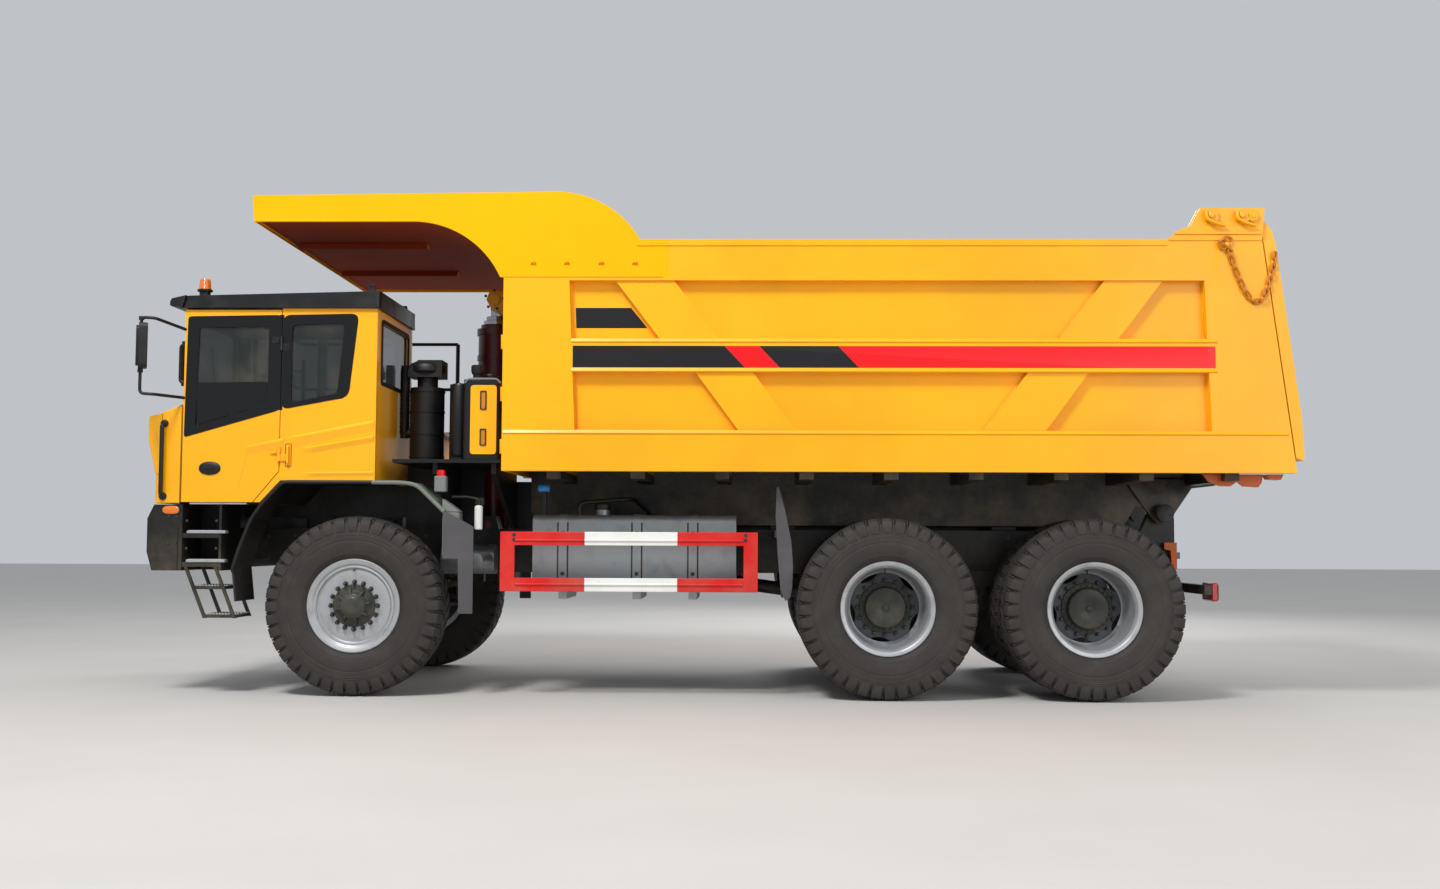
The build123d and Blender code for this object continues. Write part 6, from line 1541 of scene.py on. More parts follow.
    def swages(self) -> None:
        """The pressed ridges over the door and the side panel."""
        for row in (
            ("door", "door_upper_ridge", [(3.930, 2.040), (3.608, 2.104)], 0.080, 0.012),
            ("door", "door_front_ridge", [(3.990, 1.680), (3.900, 2.030)], 0.030, 0.004),
            ("chassis", "side_upper_ridge", [(3.586, 2.109), (2.843, 2.254)], 0.095, 0.016),
            ("chassis", "side_lower_ridge", [(3.440, 2.038), (2.843, 2.139)], 0.060, 0.018),
            ("chassis", "side_foot_ridge", [(3.440, 1.840), (2.843, 1.849)], 0.040, 0.011),
        ):
            self.swage(*row)

    def latch_and_bars(self) -> None:
        """The oval latch on the door, the grab bars, the hinge leaves and the door's pull."""
        latch = dome((4.220, self.side_y + 0.002, 1.890), (0.092, 0.018, 0.056), 2.2, 16, 40)
        latch.add(box((4.175, 4.262), (self.side_y + 0.012, self.side_y + 0.026), (1.880, 1.902), 0.003))
        latch.add(turned([(0.0, 0.010), (0.008, 0.010)], (4.150, self.side_y + 0.014, 1.890), 16))
        piece("door_latch", latch, TRIM, "door")
        pads = Shape()
        for z in (1.655, 2.265):
            pads.add(turned([(0.0, 0.034), (0.014, 0.030), (0.020, 0.018)], (4.611, self.side_y, z), 20))
        pads.add(pipe(
            [(4.611, self.side_y + 0.005, 2.265), (4.611, self.side_y + 0.056, 2.25),
             (4.611, self.side_y + 0.056, 1.67), (4.611, self.side_y + 0.005, 1.655)], 0.05, 0.0165, 16))
        pads.add(pipe([(self.front_x - 0.002, 1.570, 2.610), (4.520, 1.570, 2.625), (4.520, 1.570, 2.935),
                       (self.front_x - 0.002, 1.570, 2.950)], 0.06, 0.015, 16))
        for z in (2.610, 2.950):
            pads.add(turned([(0.0, 0.032), (0.018, 0.030), (0.022, 0.0)], (self.front_x, 1.570, z), 20, 0))
        piece("grab_bars", pads, TRIM)
        for word, z, finish in (("lower", 2.010, CAB_YELLOW), ("upper", 2.940, TRIM)):
            leaf = box(
                (3.655, 3.712), (self.side_y + 0.009, self.side_y + 0.013), (z + 0.003, z + 0.057), 0.0012)
            leaf.add(bolts([(3.672, self.side_y + 0.013, z + 0.018), (3.696, self.side_y + 0.013, z + 0.042)],
                           (0, 1, 0), 0.007, 0.006))
            piece(f"hinge_leaf_{word}", leaf, finish, "door")
        pull = pipe(
            [(3.560, self.side_y + 0.002, 2.078), (3.560, self.side_y + 0.030, 2.072),
             (3.560, self.side_y + 0.030, 1.932), (3.560, self.side_y + 0.002, 1.926)], 0.012, 0.010, 14)
        piece("door_pull", pull, CAB_YELLOW)
        hollow = collar(rounded_rectangle(3.586, 3.534, 1.906, 2.098, 0.010),
                        rounded_rectangle(3.582, 3.538, 1.910, 2.094, 0.008), 1, self.side_y - 0.002,
                        self.side_y + 0.003)
        piece("door_pull_seam", hollow, TRIM)

    def roof(self) -> None:
        """The visor lip, the roof's ribs and gutters, and the beacon."""
        black = Shape()
        visor = [(4.440, 3.345), (4.560, 3.318), (4.574, 3.290), (4.574, 3.258), (4.548, 3.246), (4.470, 3.246)]
        black.add(plate(visor, 1, 0.300, 1.700))
        for y in (0.55, 0.83, 1.17, 1.45):
            black.add(box((2.95, 4.25), (y - 0.035, y + 0.035), (3.340, 3.3605), 0.008))
        for y in (self.side_y + 0.018, 0.320):
            black.add(box((2.812, 4.46), (y, y + 0.012), (3.240, 3.262), 0.003))
        piece("roof_lip", black, ROOF_BLACK)
        beacon_x, beacon_y, base_z = 4.390, 1.400, 3.352
        foot = turned([(0.0, 0.070), (0.012, 0.074), (0.024, 0.070), (0.034, 0.046), (0.066, 0.046),
                       (0.072, 0.064), (0.086, 0.064), (0.090, 0.056)], (beacon_x, beacon_y, base_z), 40, 2)
        thirds = [turn * 2 * math.pi / 3 + 0.4 for turn in range(3)]
        foot.add(posts((beacon_x, beacon_y), 0.078, thirds, 0.012, (base_z - 0.004, base_z + 0.016), 0.003))
        piece("beacon_foot", foot, TRIM)
        height = np.linspace(0.0, 1.0, 15)
        wave = 0.0016 * np.sin(height * 2 * np.pi * 7)
        lens = [(0.088, 0.0)] + [(0.088 + 0.082 * h, 0.052 - 0.007 * h + w) for h, w in zip(height, wave)]
        lens += [(0.178, 0.040), (0.183, 0.024), (0.184, 0.0)]
        piece("beacon_lens", turned(lens, (beacon_x, beacon_y, base_z), 48, 2), AMBER)

    def inside(self) -> None:
        """What shows through the glass: the dash's trim, a lever with its knob and the fan."""
        dark = Shape()
        dark.add(dome((4.205, 1.020, 2.235), (0.09, 0.30, 0.05), 3.0))
        dark.add(box((4.200, 4.290), (0.760, 1.280), (2.180, 2.245), 0.02))
        dark.add(box((4.292, 4.400), (0.420, 1.540), (2.150, 2.198), 0.02))
        dark.add(pipe([(3.78, 0.640, 1.865), (3.74, 0.640, 2.20), (3.70, 0.655, 2.36)], 0.1, 0.011, 12))
        dark.add(dome((3.70, 0.656, 2.385), (0.028, 0.028, 0.036)))
        piece("dash_trim", dark, TRIM)
        fan = dome((3.965, 1.440, 3.060), (0.155, 0.075, 0.050), 2.4)
        fan.add(dome((4.020, 1.470, 3.085), (0.055, 0.05, 0.040), 2.4))
        fan.add(box((3.940, 3.990), (1.42, 1.46), (3.09, 3.236), 0.006))
        piece("cab_fan", fan, PALE_PLASTIC)

    def build(self) -> None:
        """Makes every part of the cab's trim."""
        self.door_windows()
        self.other_windows()
        self.swages()
        self.latch_and_bars()
        self.roof()
        self.inside()


# Driver's seat

@dataclass
class Seat:
    """The driver's seat: a crowned cushion and back with sewn channels on a plain shell.

    Attributes:
        middle: (x, y) of the seat.
        cushion_z: height of the cushion's underside.
        half_width: of the seat.
    """

    middle: Pair = (3.280, 1.020)
    cushion_z: float = 2.170
    half_width: float = 0.250

    def pad(self, half: Point, channels: int, depth: float) -> Shape:
        """A pad about its own middle: a squarish rounded form with channels sewn along it.

        The form is a superellipsoid of power 4.5 with a low crown. Its upper face sinks by
        depth * exp(-(sin(channels pi (y / width + 1/2)))^2 / 0.03) on each seam, fading out at the edges.

        Args:
            half: half sizes along X, Y and Z.
            channels: seams across the pad's width.
            depth: of a seam.

        Returns:
            A closed shape.
        """
        form = dome((0, 0, 0), half, 4.5, 40, 96)
        x, y, z = form.points.T
        seam = np.exp(-(np.sin(channels * np.pi * (y / (2 * half[1]) + 0.5)) ** 2) / 0.03)
        fade = np.clip(1.3 - np.abs(x) / half[0], 0, 1) * (z > 0)
        crown = 0.010 * (1 - (y / half[1]) ** 2) * (1 - (x / half[0]) ** 2) * (z > 0)
        return Shape(np.stack([x, y, z - depth * seam * fade * (z / half[2]) - 0.010 + crown], -1), form.faces)

    def build(self) -> None:
        """Makes the pads, the shell and the belt's buckle."""
        x, y = self.middle
        cushion = self.pad(
            (0.262, self.half_width, 0.058), 5, 0.010).moved((x + 0.010, y, self.cushion_z + 0.062))
        made = piece("seat_cushion", cushion, SEAT_CLOTH, smooth=50.0)
        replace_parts(made, "driver_seat")
        lean = math.radians(-82)
        turn = np.array([[math.cos(lean), 0, -math.sin(lean)], [0, 1, 0], [math.sin(lean), 0, math.cos(lean)]])
        back = self.pad((0.318, self.half_width - 0.008, 0.046), 5, 0.009)
        back = back.mirrored((-1.0, 1.0, 1.0)).placed(turn.T, (x - 0.205, y, self.cushion_z + 0.425))
        made = piece("seat_back", back, SEAT_CLOTH, smooth=50.0)
        shell = box((x - 0.235, x + 0.250), (y - 0.235, y + 0.235),
                    (self.cushion_z, self.cushion_z + 0.030), 0.012)
        shell.add(box((x - 0.020, x + 0.020), (y + 0.215, y + 0.245),
                      (self.cushion_z + 0.02, self.cushion_z + 0.10), 0.006))
        piece("seat_shell", shell, TRIM)


# Front end

@dataclass
class FrontEnd:
    """Bumper trim, lamps, steps, mirrors' glasses, mask seams, grille bars and wipers.

    Attributes:
        side_y: the left face of bumper and mask.
        bumper_x: the bumper's front face.
        lamp_z: height of the headlamps.
    """

    side_y: float = 1.650
    bumper_x: float = 4.735
    lamp_z: float = 1.330

    def bumper_trim(self) -> None:
        """Side marker lamps, bolts and the fold lines of the bumper."""
        marker = dome((4.538, self.side_y, 1.540), (0.073, 0.014, 0.036), 2.6, 14, 36)
        piece("marker_lamps", both_sides(marker), AMBER)
        bezel = collar(rounded_rectangle(4.620, 4.456, 1.580, 1.500, 0.05, 8),
                       rounded_rectangle(4.606, 4.470, 1.572, 1.508, 0.05, 8), 1, self.side_y - 0.002,
                       self.side_y + 0.006)
        trim = both_sides(bezel)
        trim.add(
            both_sides(box((4.470, 4.4785), (self.side_y - 0.002, self.side_y + 0.003), (1.040, 1.500), 0.001)))
        trim.add(box((self.bumper_x - 0.002, self.bumper_x + 0.004), (-0.9, 0.9), (1.395, 1.402), 0.001))
        piece("bumper_trim", trim, TRIM)
        heads = [(x, self.side_y, z) for x in (4.553, 4.491) for z in (1.485, 1.264)]
        heads += [(x, self.side_y, z) for x in (4.400, 4.150) for z in (1.45, 1.22)]
        bright = both_sides(bolts(heads, (0, 1, 0), 0.0095, 0.007))
        for y in (-1.05, -0.72, 0.72, 1.05):
            bright.add(bolts([(self.bumper_x, y, 1.24), (self.bumper_x, y, 1.42)], (1, 0, 0), 0.013, 0.010))
        piece("bumper_bolts", bright, NUT)

    def headlamps(self) -> None:
        """Domed headlamp glasses with bright rings, and the rear lamps with their frames."""
        glasses, rings = Shape(), Shape()
        for y in (-1.472, -1.288, 1.288, 1.472):
            glasses.add(turned([(-0.060, 0.066), (-0.004, 0.066), (0.004, 0.052), (0.010, 0.030), (0.012, 0.0)],
                               (self.bumper_x - 0.012, y, self.lamp_z), 40, 0))
            rings.add(turned([(-0.058, 0.078), (-0.002, 0.078), (0.004, 0.074), (0.004, 0.067), (-0.010, 0.066),
                              (-0.050, 0.0)], (self.bumper_x - 0.010, y, self.lamp_z), 40, 0))
        made = piece("headlamp_glasses", glasses, CLEAR_LENS)
        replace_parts(made, "lamps")
        piece("headlamp_rings", rings, CHROME)
        rear = box((-4.2845, -4.2270), (0.962, 1.238), (0.802, 0.958), 0.010)
        piece("rear_lamps", both_sides(rear), RED_LENS)
        frames = Shape()
        for low, high in ((0.968, 1.058), (1.064, 1.144), (1.150, 1.232)):
            frames.add(collar(rounded_rectangle(low, high, 0.810, 0.950, 0.02),
                              rounded_rectangle(low + 0.008, high - 0.008, 0.818, 0.942, 0.016), 0,
                              -4.2880, -4.2840))
        piece("rear_lamp_frames", both_sides(frames), TRIM)

    def treads(self) -> None:
        """Bright ribbed tread plates on the steps and toothed rungs on the ladders."""
        grip = Shape()
        for z in (1.348, 1.107):
            grip.add(box((4.078, 4.404), (1.560, 1.6495), (z - 0.003, z + 0.020), 0.004))
            ribs = box((-0.148, 0.148), (-0.003, 0.003), (0.0, 0.006), 0.002)
            rows = np.arange(9)
            grip.add(ribs.copied(places_at(4.241, 1.568 + rows * 0.0092, z + 0.018)))
        grip.add(box((3.905, 4.385), (1.592, 1.6485), (1.588, 1.602), 0.003))
        tooth = box((-0.010, 0.010), (-0.006, 0.006), (0.0, 0.012), 0.003)
        for z in (0.892, 0.655):
            shift = 0.40 * (1.067 - z)
            step = np.arange(11) * 0.0255
            for y in (1.300, 1.380, 1.460, 1.540, 1.606):
                grip.add(tooth.copied(places_at(4.156 - shift + step, y, z + 0.011)))
        piece("step_treads", grip, TREAD_METAL)
        right = Shape()
        for z in (1.348, 1.107):
            right.add(box((4.078, 4.404), (-1.6495, -1.560), (z - 0.003, z + 0.020), 0.004))
        piece("right_step_treads", right, TREAD_METAL)

    def towards_driver(self, shape: Shape, angle: float = 22.0, middle: Pair = (4.716, 1.930),
                       narrow: float = 0.86) -> Shape:
        """A mirror part made narrower and turned about its upright tube, so that its glass faces the cab.

        Args:
            shape: the part, square to the truck.
            angle: of the turn, in degrees.
            middle: (x, y) of the tube.
            narrow: what its width is multiplied by.

        Returns:
            The turned part.
        """
        cos, sin = math.cos(math.radians(angle)), math.sin(math.radians(angle))
        x, y = shape.points[:, 0] - middle[0], (shape.points[:, 1] - middle[1]) * narrow
        turned_points = np.stack(
            [middle[0] + x * cos - y * sin, middle[1] + x * sin + y * cos, shape.points[:, 2]], -1)
        return Shape(turned_points, shape.faces)

    def mirrors(self) -> None:
        """Mirror glasses, their rims, the rounded backs, the arms and their feet."""
        shell = rounded_rectangle(1.828, 2.032, 2.700, 3.075, 0.045)
        back = rounded_rectangle(1.850, 2.010, 2.722, 3.053, 0.045)
        heads = self.towards_driver(joined(plate(shell, 0, 4.6725, 4.735), plate(back, 0, 4.734, 4.755)))
        for foot, knee, top, end in ((3.052, 3.118, 3.122, 3.060), (2.482, 2.486, 2.492, 2.720)):
            arm = [(4.430, 1.600, foot), (4.610, 1.930, knee), (4.716, 1.930, top), (4.716, 1.930, end)]
            heads.add(pipe(arm, 0.04, 0.013, 14))
            heads.add(box((4.415, 4.450), (1.560, 1.628), (foot - 0.045, foot + 0.045), 0.006))
        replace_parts(piece("mirror_heads", both_sides(heads), TRIM), "mirrors")
        pane = rounded_rectangle(1.846, 2.014, 2.722, 3.053, 0.03)
        glass = plate(pane, 0, 4.6675, 4.6715)
        wide = rounded_rectangle(1.832, 2.0285, 2.704, 3.071, 0.04)
        rims = collar(wide, pane, 0, 4.6645, 4.6750)
        for z in (2.665, 3.100):
            rims.add(turned([(0.0, 0.022), (0.030, 0.022)], (4.716, 1.930, z), 20, 2))
        piece("mirror_glasses", both_sides(self.towards_driver(glass)), MIRROR)
        piece("mirror_rims", both_sides(self.towards_driver(rims)), TRIM)

    def mask_trim(self) -> None:
        """Seams of the mask's cover, grille bars and wipers."""
        seams = Shape()
        for x, z in (((4.6295, 4.6335), (1.840, 2.350)), ((4.6340, 4.668), (1.838, 1.842)),
                     ((4.4665, 4.4700), (1.600, 2.425))):
            seams.add(box(x, (self.side_y - 0.002, self.side_y + 0.0012), z, 0.0005))
        piece("mask_seams", both_sides(seams), SEAL)
        bars = box((-0.006, 0.006), (-0.005, 0.005), (-0.283, 0.283), 0.002)
        count = 23
        rows = places_at(4.622, -1.105 + 1.21 * np.arange(count) / (count - 1), 1.985)
        piece("grille_bars", bars.copied(rows), TRIM)
        wipers = Shape()
        for y in (0.62, 1.12):
            wipers.add(pipe([(4.470, y, 2.180), (4.502, y, 2.190), (4.500, y + 0.16, 2.55),
                             (4.484, y + 0.22, 2.66)], 0.05, 0.008, 10))
            wipers.add(tube([(4.480, y + 0.10, 2.32), (4.482, y + 0.34, 3.00)], 0.007, 8))
            wipers.add(turned([(0.0, 0.026), (0.024, 0.022), (0.030, 0.0)], (4.463, y, 2.180), 20, 0))
        piece("wipers", wipers, TRIM)

    def build(self) -> None:
        """Makes every part of the front end."""
        self.bumper_trim()
        self.headlamps()
        self.treads()
        self.mirrors()
        self.mask_trim()


# Dump body, tailgate and hoist

@dataclass
class DumpBody:
    """What is fixed to the dump body: chains, hooks, ledges, welds, pads, lugs and pins.

    Attributes:
        wall_y: the outer face of the side walls.
        skin_y: the outer face of the skin between the ribs.
        gate_pin: (x, z) of the tailgate's hinge.
        pivot: (x, z) of the dump pin.
    """

    wall_y: float = 1.800
    skin_y: float = 1.720
    gate_pin: Pair = (-4.440, 3.990)
    pivot: Pair = (-4.000, 1.560)

    def gate_chains(self) -> None:
        """The chain that stops the tailgate on each side, with its bunched end and eyes.

        The links follow the strip that stands for the chain in the CAD.
        """
        y = self.wall_y + 0.016
        line = np.array([(-4.222, y, 3.752), (-4.262, y, 3.62), (-4.304, y, 3.50), (-4.356, y, 3.375),
                         (-4.402, y, 3.305), (-4.446, y, 3.276), (-4.482, y, 3.280), (-4.512, y, 3.305),
                         (-4.540, y, 3.372), (-4.572, y, 3.465), (-4.598, y, 3.57), (-4.616, y, 3.684)])
        links = chain(line, 0.052, 0.0085, 0.5)
        bunch = np.array([(-4.262, y + 0.004, 3.790), (-4.205, y + 0.010, 3.800), (-4.165, y + 0.006, 3.770),
                          (-4.180, y + 0.012, 3.735), (-4.232, y + 0.008, 3.725), (-4.262, y + 0.010, 3.695)])
        links.add(chain(bunch, 0.050, 0.0085, 0.2))
        piece("gate_chains", both_sides(links), CHAIN_YELLOW, "dump_body")
        eye = turned([(0.0, 0.020), (0.030, 0.020), (0.034, 0.014)], (-4.224, self.wall_y, 3.752), 24)
        piece("chain_eyes", both_sides(eye), YELLOW, "dump_body")

    def shackles(self) -> None:
        """Lifting hooks on the raised tail plate: a pad, a curled hook and a bolt head each."""
        hooks = Shape()
        for x in (-4.097, -4.350):
            pad = rounded_rectangle(x - 0.056, x + 0.050, 3.945, 4.040, 0.02)
            hooks.add(plate(pad, 1, self.wall_y - 0.001, self.wall_y + 0.028))
            hooks.add(pipe([(x + 0.040, self.wall_y + 0.030, 4.030), (x + 0.046, self.wall_y + 0.050, 3.960),
                            (x - 0.020, self.wall_y + 0.052, 3.925), (x - 0.110, self.wall_y + 0.028, 3.905)],
                           0.05, 0.014, 12))
            hooks.add(
                turned([(0.0, 0.026), (0.018, 0.026), (0.022, 0.020)], (x, self.wall_y + 0.026, 3.995), 20))
        piece("tail_hooks", both_sides(hooks), YELLOW, "dump_body")
        pins = turned([(0.0, 0.048), (0.014, 0.048), (0.018, 0.040), (0.018, 0.018), (0.026, 0.016)],
                      (self.gate_pin[0], self.wall_y + 0.010, self.gate_pin[1]), 32)
        piece("gate_pin_caps", both_sides(pins), YELLOW, "dump_body")

    def ledges(self) -> None:
        """Ledge strips under the tail plate and along the rails, and the canopy's seam and hooks."""
        strips = Shape()
        for x, out, z, bevel in (((-4.508, -3.800), 0.012, (3.838, 3.862), 0.004),
                                 ((-4.508, -3.750), 0.009, (3.786, 3.802), 0.003),
                                 ((-3.740, 0.640), 0.008, (3.744, 3.756), 0.003)):
            strips.add(box(x, (self.wall_y - 0.001, self.wall_y + out), z, bevel))
        for low_x, high_x, z in ((-4.135, 1.175, 2.940), (-4.135, 1.175, 2.695), (-4.700, 1.735, 2.180)):
            lip = [(self.wall_y - 0.001, z - 0.004), (self.wall_y + 0.006, z - 0.002),
                   (self.wall_y + 0.010, z + 0.004), (self.wall_y - 0.001, z + 0.030)]
            strips.add(plate(lip, 0, low_x, high_x))
        piece("top_ledges", both_sides(strips), YELLOW, "dump_body")
        # The seam is a thin line of painted shade in the shaded-yellow brown.
        seam = box((0.420, 1.738), (self.wall_y - 0.004, self.wall_y + 0.0012), (3.4785, 3.4830), 0.0005)
        piece("canopy_seam", both_sides(seam), SHADE_BROWN_PAINT, "dump_body")
        hooks = Shape()
        for x in (1.494, 1.215, 0.927, 0.648):
            hooks.add(pipe([(x - 0.014, self.wall_y - 0.002, 3.592), (x - 0.010, self.wall_y + 0.014, 3.602),
                            (x + 0.014, self.wall_y + 0.012, 3.600), (x + 0.026, self.wall_y - 0.002, 3.588)],
                           0.012, 0.0055, 8))
        piece("canopy_hooks", both_sides(hooks), CHAIN_YELLOW, "dump_body")

    def weld(self, corners: list[Pair], radius: float = 0.005) -> Shape:
        """A weld bead round a recess, where its edges meet the skin.

        The bead's radius is steady and its path waves outwards by 0.0015 sin(2 pi s / 0.21), where s is
        the way along it.

        Args:
            corners: (x, z) of the recess, in order.
            radius: of the bead.

        Returns:
            A closed bead on the left wall.
        """
        outline = np.asarray(corners, float)
        ring = np.vstack([outline, outline[:1]])
        way = np.concatenate([[0], np.cumsum(np.linalg.norm(np.diff(ring, axis=0), axis=1))])
        stops = np.linspace(0, way[-1], max(24, int(way[-1] / 0.035)), endpoint=False)
        x, z = np.interp(stops, way, ring[:, 0]), np.interp(stops, way, ring[:, 1])
        y = self.skin_y + 0.0015 * np.sin(stops * 2 * np.pi / 0.21)
        return tube(np.stack([x, y, z], -1), radius, 6, True)

    def welds(self) -> None:
        """Beads round the recesses between rails, posts and braces."""
        beads = Shape()
        recesses = (
            [(1.166, 3.455), (1.146, 2.970), (0.446, 2.970), (0.816, 3.455)],
            [(0.328, 3.455), (-0.042, 2.970), (-2.854, 2.970), (-3.223, 3.455)],
            [(-3.703, 3.455), (-3.334, 2.970), (-4.050, 2.970), (-4.040, 3.455)],
            [(1.140, 2.690), (1.132, 2.190), (-0.222, 2.190), (0.147, 2.690)],
            [(-0.329, 2.690), (-0.698, 2.190), (-2.218, 2.190), (-2.588, 2.690)],
            [(-3.088, 2.690), (-2.718, 2.190), (-4.085, 2.190), (-4.068, 2.690)],
        )
        for corners in recesses:
            beads.add(self.weld(corners))
        piece("wall_welds", both_sides(beads), YELLOW, "dump_body", smooth=60.0)

    def yellow_shaded_brown(self) -> None:
        """Rubber pads under the body, tail brackets and the dump pins' caps with their bolts."""
        pads = Shape()
        for x in (-2.6, -1.6, -0.6, 0.4, 1.2):
            pads.add(box((x - 0.11, x + 0.11), (0.385, 0.475), (1.4015, 1.4395), 0.006))
        piece("body_pads", both_sides(pads), FLAP)
        # The tail brackets are yellow parts, coloured orange as painted shade.
        tail = plate([(-4.060, 1.868), (-4.110, 1.810), (-4.200, 1.770), (-4.290, 1.768), (-4.345, 1.806),
                      (-4.395, 1.768), (-4.520, 1.760), (-4.548, 1.800), (-4.560, 1.868)], 1, 1.560, 1.590)
        tail.add(plate([(-4.580, 1.866), (-4.600, 1.828), (-4.690, 1.822), (-4.712, 1.866)], 1, 1.500, 1.640))
        piece("tail_brackets", both_sides(tail), BRACKET_SHADE_PAINT, "dump_body")
        caps = turned([(0.0, 0.072), (0.010, 0.078), (0.024, 0.078), (0.030, 0.068)],
                      (self.pivot[0], 0.655, self.pivot[1]), 36)
        caps.add(bolts([(self.pivot[0] + 0.05 * math.cos(a), 0.685, self.pivot[1] + 0.05 * math.sin(a))
                        for a in np.arange(4) * math.pi / 2 + 0.4], (0, 1, 0), 0.008, 0.007))
        piece("dump_pin_caps", both_sides(caps), IRON)

    def gate_details(self) -> None:
        """Lugs on the tailgate's ribs and the wear bar on its lip."""
        detail = Shape()
        for y in (-1.55, -0.975, -0.325, 0.325, 0.975, 1.55):
            lug = plate(rounded_outline([(-4.640, 3.560), (-4.700, 3.545), (-4.700, 3.455), (-4.655, 3.440)],
                                        0.012), 1, y - 0.012, y + 0.012)
            detail.add(lug)
        detail.add(box((-4.818, -4.802), (-1.795, 1.795), (2.005, 2.060), 0.005))
        piece("gate_lugs", detail, YELLOW, "tailgate")

    def front_details(self) -> None:
        """Bolts on the hoist's fork."""
        circle, angles = 0.088, (0.4, 1.6, 3.0, 4.4, 5.4)
        heads = [(2.110 + circle * math.cos(a), 0.1385, 3.560 + circle * math.sin(a)) for a in angles]
        detail = both_sides(bolts(heads, (0, 1, 0), 0.011, 0.009))
        piece("fork_bolts", detail, NUT, "dump_body")

    def build(self) -> None:
        """Makes every part fixed to the dump body."""
        self.gate_chains()
        self.shackles()
        self.ledges()
        self.welds()
        self.yellow_shaded_brown()
        self.gate_details()
        self.front_details()


@dataclass
class Hoist:
    """Rings round the hoist's barrel and stages.

    Attributes:
        x: the hoist's place along the truck.
        radii: of the barrel and the three stages.
        tops: heights of their upper ends.
    """

    x: float = 2.110
    radii: tuple[float, ...] = (0.165, 0.138, 0.114, 0.090)
    tops: tuple[float, ...] = (3.290, 3.330, 3.370, 3.410)

    def build(self) -> None:
        """Makes the rings of each stage, and three more on the barrel."""
        bodies = ("hoist_barrel", "hoist_stage_outer", "hoist_stage_middle", "hoist_stage_inner")
        for number, (radius, top, body) in enumerate(zip(self.radii, self.tops, bodies)):
            ring = [(-0.018, radius - 0.004), (-0.018, radius + 0.006), (-0.004, radius + 0.006),
                    (0.0, radius + 0.001), (0.0, radius - 0.004), (-0.018, radius - 0.004)]
            shape = turned(np.array(ring), (self.x, 0.0, top + 0.001), 64, 2)
            if number == 0:
                for place in (-1.70, -0.95, -0.30):
                    shape.add(turned(
                        hoop(place, place + 0.05, radius - 0.004, radius + 0.010), (self.x, 0.0, top), 64, 2))
            piece(f"{body}_rings", shape, MAROON if number < 2 else CHROME, body)


# Equipment behind the cab and along the frame

